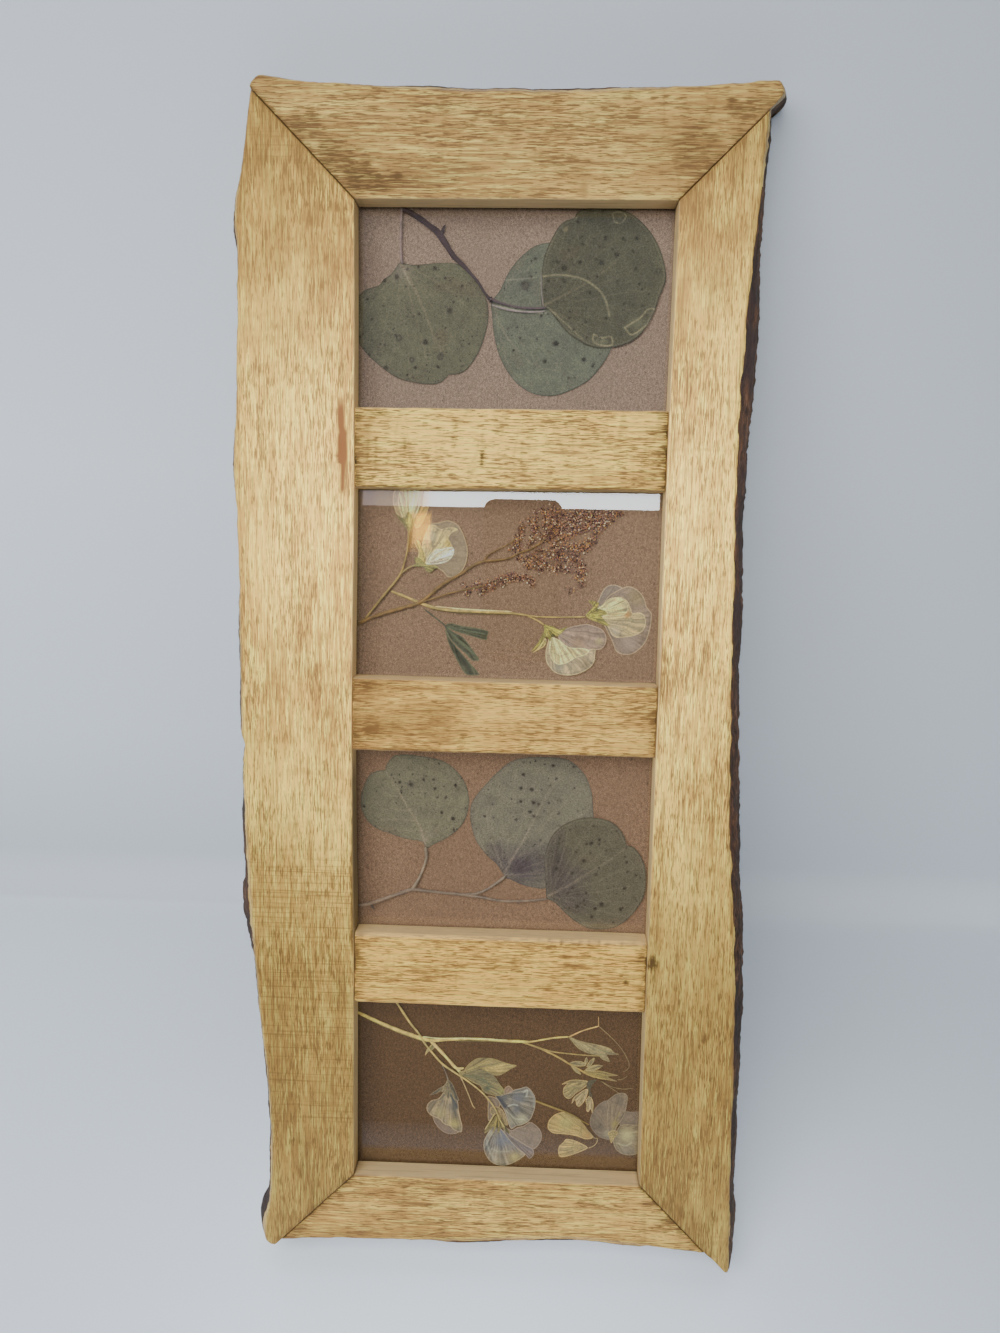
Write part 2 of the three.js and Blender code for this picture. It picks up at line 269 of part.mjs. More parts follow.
// The outline of a stem drawn as a line with a width at each point.
function ribbonOutline(line) {
  const left = [],
    right = [];
  line.forEach(([x, z, w], i) => {
    const a = line[Math.max(i - 1, 0)],
      b = line[Math.min(i + 1, line.length - 1)];
    const dx = b[0] - a[0],
      dz = b[1] - a[1],
      l = Math.hypot(dx, dz);
    const nx = (-dz / l) * (w / 2),
      nz = (dx / l) * (w / 2);
    left.push([x + nx, z + nz]);
    right.unshift([x - nx, z - nz]);
  });
  return right.concat(left);
}

const material = (color, roughness, metalness = 0, extra = {}) =>
  new THREE.MeshStandardMaterial({ color, roughness, metalness, ...extra });
const COLORS = {
  wood: [0xc3a267, 0.62],
  glass: [0xdfe8e6, 0.05],
  board: [0x7e6350, 0.9],
  steel: [0xa9abac, 0.4],
  leaf: [0x6f7c66, 0.8],
  stem: [0x8d8272, 0.8],
  brown: [0x8a6238, 0.8],
  plume: [0x7d5148, 0.9],
  green: [0x9c9a63, 0.8],
  petal: [0xcfc59a, 0.7],
  blue: [0x9aa0a8, 0.7],
};

// Everything hangs from one group, shifted so that the hanger is the origin.
const frame = new THREE.Group();
frame.position.set(0, 0, -HANGER_ABOVE);

function put(name, geometry, color, metalness = 0, extra = {}) {
  const [c, r] = COLORS[color];
  const mesh = new THREE.Mesh(geometry, material(c, r, metalness, extra));
  mesh.name = name;
  frame.add(mesh);
  return mesh;
}

// ---------------------------------------------------------------- hanger and nails
const HANGER_NAIL_X = 18;
const NAIL_R = 0.6;
const NAIL_DEPTH = 9.2;
const alongY = (r, y0, y1, x, z) => {
  const g = new THREE.CylinderGeometry(r, r, y1 - y0, 16);
  g.translate(x, (y0 + y1) / 2, z);
  return g;
};

// ---------------------------------------------------------------- outer members
const rebate = solid(
  box(-70 - REBATE_SIDE, 70 + REBATE_SIDE, WINDOWS[3][1] - REBATE_END, WINDOWS[0][0] + REBATE_END, LIP, THICK + 2),
);
// The slots that the retaining points are driven into: x, edge height, +1 up or -1 down.
const points = [];
WINDOWS.forEach(([top, bottom], i) => {
  points.push([`retaining_point_${i + 1}a`, -25, top + REBATE_END, 1]);
  points.push([`retaining_point_${i + 1}b`, 25, bottom - REBATE_END, -1]);
});
const slot = ([, x, z, up]) =>
  solid(box(x - 5, x + 5, Math.min(z - 0.4 * up, z + 6.2 * up), Math.max(z - 0.4 * up, z + 6.2 * up), POINT_DEPTH - GAP, POINT_DEPTH + POINT_T + GAP));

function cut(start, ...tools) {
  return tools.reduce((s, t) => s.subtract(t), start);
}

const topRail = cut(
  solid(liveEdge(TOP_RAIL)),
  rebate,
  slot(points[0]),
  ...[-1, 1].map((s) => solid(alongY(NAIL_R + GAP, -NAIL_DEPTH - 0.6, 1, s * HANGER_NAIL_X, HANGER_ABOVE))),
);
put("top_rail", geometryOf(topRail), "wood");
put("bottom_rail", geometryOf(cut(solid(liveEdge(BOTTOM_RAIL)), rebate, slot(points[7]))), "wood");
put("left_stile", geometryOf(cut(solid(liveEdge(LEFT_STILE)), rebate)), "wood");
put("right_stile", geometryOf(cut(solid(liveEdge(RIGHT_STILE)), rebate)), "wood");

// ---------------------------------------------------------------- cross rails
// A front bar between the stiles, and behind the lip a narrower tongue that fills the stiles' rebates.
CROSS_RAILS.forEach(([name, xl, xr, tl, tr, bl, br], i) => {
  const top = WINDOWS[i][1] - REBATE_END,
    bottom = WINDOWS[i + 1][0] + REBATE_END;
  const side = 70 + REBATE_SIDE - GAP;
  let s = solid(prism([[xl, bl], [xr, br], [xr, tr], [xl, tl]], 0, LIP));
  s = s.add(solid(box(xl, xr, bottom, top, LIP - 1, THICK)));
  s = s.add(solid(box(-side, side, bottom, top, LIP + GAP, THICK)));
  s = cut(s, slot(points[2 * i + 1]), slot(points[2 * i + 2]));
  put(name, geometryOf(s), "wood");
});

// ---------------------------------------------------------------- glass, backing and points
WINDOWS.forEach(([top, bottom], i) => {
  const mid = (top + bottom) / 2;
  const glass = put(`glass_${i + 1}`, new THREE.BoxGeometry(GLASS_W, GLASS_T, GLASS_H), "glass", 0, { transparent: true, opacity: 0.25 });
  glass.position.set(0, toY(LIP + GAP / 2 + GLASS_T / 2), mid);
  const board = put(`backing_board_${i + 1}`, new THREE.BoxGeometry(BOARD_W, BOARD_T, BOARD_H), "board");
  board.position.set(0, toY(LIP + GLASS_T + POCKET + BOARD_T / 2), mid);
});
for (const [name, x, z, up] of points) {
  const kite = [[-4.5, -5], [4.5, -5], [4.5, 2.2], [0, 5.8], [-4.5, 2.2]].map(([a, b]) => [x + a, z + b * up]);
  put(name, prism(kite, POINT_DEPTH, POINT_DEPTH + POINT_T), "steel", 0.8);
}

// Sawtooth hanger: a strip whose middle stands off the wood, with a toothed lower edge.
{
  const profile = [
    [-22.5, 0.3], [-14, 0.3], [-12, 1.8], [12, 1.8], [14, 0.3], [22.5, 0.3],
    [22.5, 1.2], [13.6, 1.2], [11.6, 2.7], [-11.6, 2.7], [-13.6, 1.2], [-22.5, 1.2],
  ];
  const strip = new THREE.ExtrudeGeometry(new THREE.Shape(profile.map((p) => new THREE.Vector2(...p))), { depth: 9, bevelEnabled: false });
  strip.translate(0, 0, HANGER_ABOVE - 4.5);
  const teeth = [];
  for (let k = 0; k < 9; k++) {
    const x = -9.6 + k * 2.4;
    teeth.push([x - 1.2, HANGER_ABOVE - 4], [x, HANGER_ABOVE - 1.8]);
  }
  teeth.push([10.8, HANGER_ABOVE - 4], [10.8, HANGER_ABOVE - 6], [-10.8, HANGER_ABOVE - 6]);
  let s = solid(strip).subtract(solid(prism(teeth, THICK + 0.1, THICK + 4)));
  for (const side of [-1, 1]) s = s.subtract(solid(alongY(NAIL_R + GAP, 0, 2, side * HANGER_NAIL_X, HANGER_ABOVE)));
  put("sawtooth_hanger", geometryOf(s), "steel", 0.8);
}
for (const [name, side] of [["hanger_nail_left", -1], ["hanger_nail_right", 1]]) {
  const profile = [[0, -NAIL_DEPTH], [NAIL_R, -NAIL_DEPTH + 1.6], [NAIL_R, 1.5], [1.7, 1.5], [1.7, 2], [1.1, 2.4], [0, 2.5]];
  const nail = put(name, new THREE.LatheGeometry(profile.map((p) => new THREE.Vector2(...p)), 16), "steel", 0.8);
  nail.position.set(side * HANGER_NAIL_X, 0, HANGER_ABOVE);
}

// ---------------------------------------------------------------- specimens
function specimen(name, layer, color, { plates = [], ribbons = [] }) {
  const d0 = LAYERS[layer - 1],
    d1 = d0 + SHEET_T;
  const pieces = [
    ...plates.map((p) => solid(prism(p, d0, d1))),
    ...ribbons.map((r) => solid(prism(ribbonOutline(r), d0, d1))),
  ];
  put(name, geometryOf(pieces.reduce((a, b) => a.add(b))), color);
}
specimen("eucalyptus_leaf_1a", 1, "leaf", { plates: [LEAF_1A] });
specimen("eucalyptus_leaf_1b", 1, "leaf", { plates: [LEAF_1B] });
specimen("eucalyptus_leaf_1c", 2, "leaf", { plates: [LEAF_1C] });
specimen("eucalyptus_stem_1", 3, "stem", { ribbons: STEM_1 });

specimen("plume_head", 1, "plume", { plates: [PLUME_HEAD] });
specimen("plume_spray", 1, "plume", { plates: [PLUME_SPRAY] });
specimen("plume_stem", 3, "brown", { ribbons: PLUME_STEM });
specimen("pea_stem_2a", 3, "green", { ribbons: PEA_STEM_2A });
specimen("pea_bloom_2a", 1, "petal", { plates: [BLOOM_2A] });
specimen("pea_bloom_2b", 2, "petal", { plates: [BLOOM_2B] });
specimen("pea_stem_2b", 2, "green", { ribbons: PEA_STEM_2B });
specimen("pea_bloom_2c", 1, "petal", { plates: [BLOOM_2C] });
specimen("pea_bloom_2d", 2, "petal", { plates: [BLOOM_2D] });
specimen("pea_leaf_2", 1, "leaf", PEA_LEAF_2);

specimen("eucalyptus_leaf_3a", 1, "leaf", { plates: [LEAF_3A] });
specimen("eucalyptus_leaf_3b", 1, "leaf", { plates: [LEAF_3B] });
specimen("eucalyptus_leaf_3c", 2, "leaf", { plates: [LEAF_3C] });
specimen("eucalyptus_stem_3", 3, "stem", { ribbons: STEM_3 });

specimen("pea_stem_4a", 2, "green", { ribbons: PEA_STEM_4A });
specimen("pea_stem_4b", 3, "green", { ribbons: PEA_STEM_4B });
specimen("pea_leaf_4a", 1, "green", { plates: [PEA_LEAF_4A] });
specimen("pea_leaf_4b", 2, "green", { plates: [PEA_LEAF_4B] });
specimen("pea_bud_4a", 1, "blue", { plates: [BUD_4A] });
specimen("pea_bloom_4a", 1, "blue", { plates: [BLOOM_4A] });
specimen("pea_bloom_4b", 2, "blue", { plates: [BLOOM_4B] });
specimen("pea_leaf_4c", 1, "green", { plates: [PEA_LEAF_4C] });
specimen("pea_tendril_4", 3, "green", { ribbons: TENDRIL_4 });
specimen("pea_buds_4b", 1, "petal", BUDS_4B);
specimen("pea_buds_4c", 1, "petal", BUDS_4C);
specimen("pea_petal_4a", 1, "petal", { plates: [PETAL_4A] });
specimen("pea_petal_4b", 1, "petal", { plates: [PETAL_4B] });
specimen("pea_bloom_4c", 2, "petal", BLOOM_4C);
specimen("pea_stem_4c", 3, "brown", { ribbons: STEM_4C });

export default frame;
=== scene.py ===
"""Looks of the pressed flower frame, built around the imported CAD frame.

Lengths below are in millimetres: x to the right as seen from the front, d behind the front face,
z up from the top edge of the upper window. pt() turns them into the row frame in metres.
"""
import math

import bmesh
import bpy
import numpy as np
from mathutils import Matrix, Vector
from mathutils.geometry import delaunay_2d_cdt


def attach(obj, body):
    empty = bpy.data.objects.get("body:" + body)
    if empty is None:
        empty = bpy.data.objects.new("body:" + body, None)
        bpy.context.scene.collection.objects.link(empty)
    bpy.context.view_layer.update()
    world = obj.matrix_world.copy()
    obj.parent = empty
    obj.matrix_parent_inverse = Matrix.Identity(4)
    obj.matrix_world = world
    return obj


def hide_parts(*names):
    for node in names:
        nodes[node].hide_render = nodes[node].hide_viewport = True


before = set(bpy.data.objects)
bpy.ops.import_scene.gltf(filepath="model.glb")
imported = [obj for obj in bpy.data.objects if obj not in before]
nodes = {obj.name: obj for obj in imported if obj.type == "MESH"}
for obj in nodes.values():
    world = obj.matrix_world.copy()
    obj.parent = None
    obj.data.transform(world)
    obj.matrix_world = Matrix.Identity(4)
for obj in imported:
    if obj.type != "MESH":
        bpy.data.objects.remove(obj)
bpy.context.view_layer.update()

THICK = 21.0
LIP = 11.4
SHIFT = 30.0


def pt(x, d, z):
    return (x / 1000.0, (d - THICK) / 1000.0, (z - SHIFT) / 1000.0)


def pts(a):
    """(n, 3) array of x, d, z in mm to row-frame metres."""
    a = np.asarray(a, float)
    return np.stack([a[..., 0], a[..., 1] - THICK, a[..., 2] - SHIFT], -1) / 1000.0


# ---------------------------------------------------------------- noise
def _hash(ix, iy, iz, seed):
    n = (ix.astype(np.int64) * 374761393 + iy.astype(np.int64) * 668265263 + iz.astype(np.int64) * 1274126177 + seed * 974634777) & 0xFFFFFFFF
    n = ((n ^ (n >> 13)) * 1274126177) & 0xFFFFFFFF
    n = (n ^ (n >> 16)) & 0xFFFFFFFF
    return n / 4294967295.0 * 2 - 1


def noise(x, y=0.0, z=0.0, seed=1):
    """Smooth value noise in [-1, 1] on a unit lattice."""
    x, y, z = np.broadcast_arrays(np.asarray(x, float), np.asarray(y, float), np.asarray(z, float))
    ix, iy, iz = np.floor(x), np.floor(y), np.floor(z)
    fx, fy, fz = x - ix, y - iy, z - iz
    fx, fy, fz = (t * t * (3 - 2 * t) for t in (fx, fy, fz))
    out = 0
    for a in (0, 1):
        for b in (0, 1):
            for c in (0, 1):
                w = (fx if a else 1 - fx) * (fy if b else 1 - fy) * (fz if c else 1 - fz)
                out = out + w * _hash(ix + a, iy + b, iz + c, seed)
    return out


def fbm(x, y=0.0, z=0.0, seed=1, octaves=3):
    s, a, t = 0, 1.0, 0
    for k in range(octaves):
        s = s + a * noise(np.asarray(x) * 2**k, np.asarray(y) * 2**k, np.asarray(z) * 2**k, seed + 17 * k)
        t += a
        a *= 0.5
    return s / t


def smoothstep(a, b, x):
    t = np.clip((np.asarray(x, float) - a) / (b - a), 0, 1)
    return t * t * (3 - 2 * t)


def lin(r, g, b):
    """sRGB 0-255 to linear."""
    c = np.array([r, g, b], float) / 255.0
    return np.where(c <= 0.04045, c / 12.92, ((c + 0.055) / 1.055) ** 2.4)


# The display transform compresses bright and saturated colours. These are the coefficients of a cubic in the
# logarithms of the wanted colour, which give the scene colour that shows as it.
POWERS = [(0, 0, 0), (0, 0, 1), (0, 0, 2), (0, 0, 3), (0, 1, 0), (0, 1, 1), (0, 1, 2), (0, 2, 0), (0, 2, 1), (0, 3, 0),
          (1, 0, 0), (1, 0, 1), (1, 0, 2), (1, 1, 0), (1, 1, 1), (1, 2, 0), (2, 0, 0), (2, 0, 1), (2, 1, 0), (3, 0, 0)]
CURVE = np.array([
    [1.742, 1.628, 1.576], [0.224, -0.316, 3.236], [-0.013, -0.245, 0.654], [-0.021, -0.081, 0.065], [0.228, 3.174, -0.817],
    [-0.015, 0.81, 0.502], [0.05, 0.287, -0.165], [-0.252, 0.949, -0.104], [-0.071, -0.205, 0.356], [-0.161, 0.305, -0.06],
    [2.165, -0.458, -0.014], [0.291, -0.483, 1.393], [0.023, -0.089, 0.279], [0.869, -0.03, -1.22], [0.024, 0.031, -0.116],
    [0.567, -0.255, -0.316], [0.311, 0.079, -0.081], [0.026, -0.017, 0.064], [-0.51, 0.241, 0.159], [0.239, -0.068, -0.098]])
E_WOOD = 1.55


def light_at(z):
    """How much light falls on the flowers behind the glass at height z, in mm."""
    return np.interp(z, [-500, -440, -390, -330, -250, -150, -40, 50], [1.15, 1.2, 1.3, 1.38, 1.4, 1.45, 1.45, 1.4])


def veil_at(z):
    """The light that the glass itself sends back at height z, in mm."""
    return np.interp(z, [-100, -90], [0.012, 0.024])[..., None] * np.array([1.0, 1.1, 1.2])


def shown(c):
    """The scene colour that the display shows as the linear colour c (n, 3)."""
    c = np.clip(np.asarray(c, float), 0.004, 0.72)
    L = np.log(c + 0.02)
    s = 0
    for p, w in zip(POWERS, CURVE):
        s = s + (L[..., 0] ** p[0] * L[..., 1] ** p[1] * L[..., 2] ** p[2])[..., None] * w
    return np.exp(np.clip(s, -1, 1.6)) * (c + 0.004)


def wd(r, g, b):
    """Wood colour from the sRGB colour it should show."""
    return tuple(float(t) for t in np.clip(shown(lin(r, g, b)) / E_WOOD, 0.002, 0.9))


# ---------------------------------------------------------------- curves
def catmull(P, step, closed=False):
    """A smooth resampling of the polyline P (n, k); the spacing is measured on the first two columns."""
    P = np.asarray(P, float)
    n = len(P)
    out = []
    segs = n if closed else n - 1
    for i in range(segs):
        if closed:
            p0, p1, p2, p3 = P[(i - 1) % n], P[i], P[(i + 1) % n], P[(i + 2) % n]
        else:
            p0, p1, p2, p3 = P[max(i - 1, 0)], P[i], P[i + 1], P[min(i + 2, n - 1)]
        m = max(1, int(round(np.hypot(*(p2 - p1)[:2]) / step)))
        t = (np.arange(m) / m)[:, None]
        # centripetal-like tangents, limited so that sharp corners don't loop
        l1 = np.hypot(*(p2 - p1)[:2])
        l0 = max(np.hypot(*(p1 - p0)[:2]), 1e-6)
        l2 = max(np.hypot(*(p3 - p2)[:2]), 1e-6)
        t1 = (p2 - p0) * l1 / (l0 + l1)
        t2 = (p3 - p1) * l1 / (l1 + l2)
        out.append((2 * t**3 - 3 * t**2 + 1) * p1 + (t**3 - 2 * t**2 + t) * t1 + (-2 * t**3 + 3 * t**2) * p2 + (t**3 - t**2) * t2)
    if not closed:
        out.append(P[-1][None])
    return np.concatenate(out)


def inside(P, Q):
    """Which points P (n, 2) lie inside the closed polygon Q."""
    P, Q = np.asarray(P, float), np.asarray(Q, float)
    x, y = P[:, 0], P[:, 1]
    c = np.zeros(len(P), bool)
    for (x1, y1), (x2, y2) in zip(Q, np.roll(Q, -1, 0)):
        if y1 == y2:
            continue
        hit = ((y1 > y) != (y2 > y)) & (x < (x2 - x1) * (y - y1) / (y2 - y1) + x1)
        c ^= hit
    return c


def dist(P, L, closed=False):
    """Distance from points P (n, 2) to the polyline L, and how far along it the nearest point lies (0..1)."""
    P, L = np.asarray(P, float), np.asarray(L, float)
    A = L if closed else L[:-1]
    B = np.roll(L, -1, 0) if closed else L[1:]
    seg = np.hypot(*(B - A).T)
    start = np.concatenate([[0], np.cumsum(seg)])[:-1]
    total = max(seg.sum(), 1e-9)
    best = np.full(len(P), 1e9)
    at = np.zeros(len(P))
    for a, b, l, s0 in zip(A, B, seg, start):
        d = b - a
        t = np.clip(((P - a) @ d) / max(l * l, 1e-12), 0, 1)
        q = np.hypot(*(P - a - t[:, None] * d).T)
        near = q < best
        best = np.where(near, q, best)
        at = np.where(near, (s0 + t * l) / total, at)
    return best, at


# ---------------------------------------------------------------- meshes
def make(name, verts, faces, mat, cad, attrs=None, smooth=True, sharp=40, gain=(1, 1, 1)):
    me = bpy.data.meshes.new(name)
    me.from_pydata([tuple(v) for v in np.asarray(verts)], [], [tuple(int(i) for i in f) for f in faces])
    me.validate()
    for key, val in (attrs or {}).items():
        val = np.asarray(val, float)
        if val.ndim == 1:
            a = me.attributes.new(key, "FLOAT", "POINT")
            a.data.foreach_set("value", val.astype(np.float32))
        else:
            a = me.color_attributes.new(key, "FLOAT_COLOR", "POINT")
            rgba = np.ones((len(val), 4), np.float32)
            # The wanted colours become scene colours, have the glass's own reflection at their height (veil_at) taken
            # off, and are divided by the light that falls at their height (light_at). This is painted compensation for
            # the light's fall-off and the glass's reflection, so the colours change with height.
            z = np.asarray(verts, float)[:, 2] * 1000 + SHIFT
            rgba[:, :3] = np.clip((shown(val) - veil_at(z)) / light_at(z)[:, None] * np.asarray(gain), 0.004, 0.92)
            a.data.foreach_set("color", rgba.ravel())
    bm = bmesh.new()
    bm.from_mesh(me)
    bmesh.ops.recalc_face_normals(bm, faces=bm.faces)
    bm.to_mesh(me)
    bm.free()
    if smooth:
        me.polygons.foreach_set("use_smooth", np.ones(len(me.polygons), bool))
        me.set_sharp_from_angle(angle=math.radians(sharp))
    me.update()
    ob = bpy.data.objects.new(name, me)
    bpy.context.scene.collection.objects.link(ob)
    me.materials.append(mat)
    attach(ob, "root")
    if cad:
        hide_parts(*([cad] if isinstance(cad, str) else cad))
    return ob


class Builder:
    """Collects shells into one mesh."""

    def __init__(self):
        self.v, self.f, self.c, self.n = [], [], [], 0

    def add(self, v, f, c):
        v = np.asarray(v, float)
        self.v.append(v)
        self.c.append(np.broadcast_to(np.asarray(c, float), (len(v), 3)))
        self.f.extend([[int(i) + self.n for i in q] for q in f])
        self.n += len(v)

    def obj(self, name, mat, cad, smooth=True, sharp=50, gain=(1, 1, 1)):
        return make(name, pts(np.concatenate(self.v)), self.f, mat, cad, {"Col": np.concatenate(self.c)}, smooth, sharp, gain)


def fill_outline(O, h, seed):
    """Triangulates the closed border O with interior points about h apart. The border points come first."""
    rng = np.random.default_rng(seed)
    lo, hi = O.min(0), O.max(0)
    xs = np.arange(lo[0], hi[0], h)
    ys = np.arange(lo[1], hi[1], h * 0.866)
    X, Y = np.meshgrid(xs, ys)
    X[1::2] += h / 2
    G = np.stack([X.ravel(), Y.ravel()], 1) + rng.uniform(-0.12, 0.12, (X.size, 2)) * h
    G = G[inside(G, O)]
    if len(G):
        near = np.zeros(len(G), bool)
        for k in range(0, len(O), 40):
            near |= (((G[:, None] - O[None, k:k + 40]) ** 2).sum(2) < (0.6 * h) ** 2).any(1)
        G = G[~near]
    V = np.concatenate([O, G])
    res = delaunay_2d_cdt([Vector(p) for p in V.tolist()], [], [list(range(len(O)))], 1, 1e-5)
    vs = np.array([tuple(v) for v in res[0]])
    fs = [list(f) for f in res[2]]
    return vs, fs


def sheet_mesh(outline, h, seed=0, closed_step=None):
    """A fine triangulation for the front of a sheet and a coarse one for its back, on the same border."""
    O = catmull(outline, closed_step or h, closed=True)
    vs, fs = fill_outline(O, h, seed)
    vb, fb = fill_outline(O, max(h * 5, 2.0), seed + 1)
    return vs, fs, (len(O), vb, fb)


def sheet_solid(vs, fs, back, d_front, d_back):
    """A thin closed solid between two depths. d_front is given for each front vertex; the back follows the border."""
    m, vb, fb = back
    n = len(vs)
    d_front = np.broadcast_to(d_front, n)
    F = np.stack([vs[:, 0], d_front, vs[:, 1]], 1)
    # the back takes the front's depth at the nearest front vertex
    idx = np.zeros(len(vb), int)
    for k in range(0, len(vb), 200):
        idx[k:k + 200] = ((vb[k:k + 200, None] - vs[None]) ** 2).sum(2).argmin(1)
    thick = np.broadcast_to(d_back, n) - d_front
    B = np.stack([vb[:, 0], d_front[idx] + thick[idx], vb[:, 1]], 1)
    faces = [list(f) for f in fs] + [[i + n for i in reversed(f)] for f in fb]
    for i in range(m):
        j = (i + 1) % m
        faces.append([j, i, i + n, j + n])
    return np.concatenate([F, B]), faces, idx


def tube(line, d, flat=0.7, sides=8, step=0.8, color=(0.3, 0.25, 0.1), wob=0.0, seed=3):
    """A stem along x, z, width points at depth d. flat is its thickness over its width."""
    L = catmull(np.asarray(line, float), step)
    n = len(L)
    T = np.gradient(L[:, :2], axis=0)
    T /= np.maximum(np.hypot(*T.T), 1e-9)[:, None]
    N = np.stack([-T[:, 1], T[:, 0]], 1)
    a = np.arange(sides) / sides * 2 * math.pi
    w = L[:, 2] / 2 * (1 + wob * noise(np.arange(n) * 0.45, seed=seed))
    s = np.linspace(0, 1, n)
    cap = np.minimum(1, np.minimum(np.arange(n), np.arange(n)[::-1]) * 0.6 + 0.45)
    w = w * cap
    dd = np.broadcast_to(np.asarray(d, float), n) if np.ndim(d) else np.full(n, float(d))
    V = np.zeros((n, sides, 3))
    V[:, :, 0] = L[:, 0:1] + N[:, 0:1] * w[:, None] * np.cos(a)
    V[:, :, 2] = L[:, 1:2] + N[:, 1:2] * w[:, None] * np.cos(a)
    V[:, :, 1] = dd[:, None] - np.minimum(w * flat, 0.62)[:, None] * np.sin(a)
    F = []
    for i in range(n - 1):
        for j in range(sides):
            k = (j + 1) % sides
            F.append([i * sides + j, i * sides + k, (i + 1) * sides + k, (i + 1) * sides + j])
    F.append(list(range(sides))[::-1])
    F.append([(n - 1) * sides + j for j in range(sides)])
    C = np.zeros((n, sides, 3))
    upper = L[:, 1].mean() > -250
    base = np.asarray(color, float) * ((np.array([1.30, 1.10, 1.25]) if upper else np.array([1.12, 0.98, 1.04])) if color[1] > 0.82 * color[0] else 1.0)
    C[:] = base * (1 + 0.16 * noise(np.arange(n) * 0.35, seed=seed + 5))[:, None, None]
    # painted shading: lighter along the crest that faces the glass, darker at the sides and on the back towards the
    # board
    C *= (0.8 + 0.28 * np.maximum(np.sin(a), 0))[None, :, None]
    return V.reshape(-1, 3), F, C.reshape(-1, 3)


# ---------------------------------------------------------------- materials
def material(name):
    m = bpy.data.materials.new(name)
    m.use_nodes = True
    nt = m.node_tree
    nt.nodes.clear()
    out = nt.nodes.new("ShaderNodeOutputMaterial")
    b = nt.nodes.new("ShaderNodeBsdfPrincipled")
    nt.links.new(b.outputs[0], out.inputs[0])
    return m, nt, b, out


class Nodes:
    def __init__(self, nt):
        self.nt = nt

    def _in(self, node, i, v):
        if v is None:
            return
        if hasattr(v, "is_output") or isinstance(v, bpy.types.NodeSocket):
            self.nt.links.new(v, node.inputs[i])
        else:
            if isinstance(v, (tuple, list, np.ndarray)):
                v = [float(t) for t in v]
                cur = node.inputs[i].default_value
                if len(cur) == 4 and len(v) == 3:
                    v = v + [1.0]
            node.inputs[i].default_value = v

    def math(self, op, a, b=None, clamp=False):
        n = self.nt.nodes.new("ShaderNodeMath")
        n.operation = op
        n.use_clamp = clamp
        self._in(n, 0, a)
        self._in(n, 1, b)
        return n.outputs[0]

    def coords(self):
        return self.nt.nodes.new("ShaderNodeTexCoord").outputs["Object"]

    def scale(self, vec, s, loc=(0, 0, 0)):
        n = self.nt.nodes.new("ShaderNodeMapping")
        n.inputs["Scale"].default_value = s
        n.inputs["Location"].default_value = loc
        self.nt.links.new(vec, n.inputs[0])
        return n.outputs[0]

    def noise(self, vec, scale=1.0, detail=2.0, rough=0.5, distortion=0.0):
        n = self.nt.nodes.new("ShaderNodeTexNoise")
        n.inputs["Scale"].default_value = scale
        n.inputs["Detail"].default_value = detail
        n.inputs["Roughness"].default_value = rough
        n.inputs["Distortion"].default_value = distortion
        self.nt.links.new(vec, n.inputs["Vector"])
        return n.outputs["Fac"]

    def ramp(self, fac, stops, interp="LINEAR"):
        n = self.nt.nodes.new("ShaderNodeValToRGB")
        n.color_ramp.interpolation = interp
        e = n.color_ramp.elements
        while len(e) < len(stops):
            e.new(0.5)
        for k, (p, c) in enumerate(stops):
            e[k].position = p
            e[k].color = (*[float(t) for t in c], 1) if len(c) == 3 else c
        self.nt.links.new(fac, n.inputs[0])
        return n.outputs[0]

    def range(self, v, a, b, c=0.0, d=1.0):
        n = self.nt.nodes.new("ShaderNodeMapRange")
        n.interpolation_type = "SMOOTHSTEP"
        for i, t in enumerate((v, a, b, c, d)):
            self._in(n, i, t)
        return n.outputs[0]

    def mix(self, fac, a, b, mode="MIX"):
        n = self.nt.nodes.new("ShaderNodeMix")
        n.data_type = "RGBA"
        n.blend_type = mode
        self._in(n, 0, fac)
        self._in(n, 6, a)
        self._in(n, 7, b)
        return n.outputs[2]

    def attr(self, name, kind="Fac"):
        n = self.nt.nodes.new("ShaderNodeAttribute")
        n.attribute_name = name
        return n.outputs[kind]

    def bump(self, height, strength, distance):
        n = self.nt.nodes.new("ShaderNodeBump")
        n.inputs["Strength"].default_value = strength
        n.inputs["Distance"].default_value = distance
        self.nt.links.new(height, n.inputs["Height"])
        return n.outputs[0]


TINTS = {"wood_top": (0.97, 0.945, 1.15), "wood_bottom": (1.04, 0.95, 1.0), "wood_left": (0.975, 0.96, 0.94), "wood_right": (1.0, 1.0, 1.01),
         "wood_cross_1": (1.18, 1.10, 1.06), "wood_cross_2": (1.13, 1.0, 1.02), "wood_cross_3": (1.20, 1.05, 0.95)}
WOOD = dict(pale=wd(208, 186, 143), mid=wd(191, 162, 115), deep=wd(162, 127, 78))


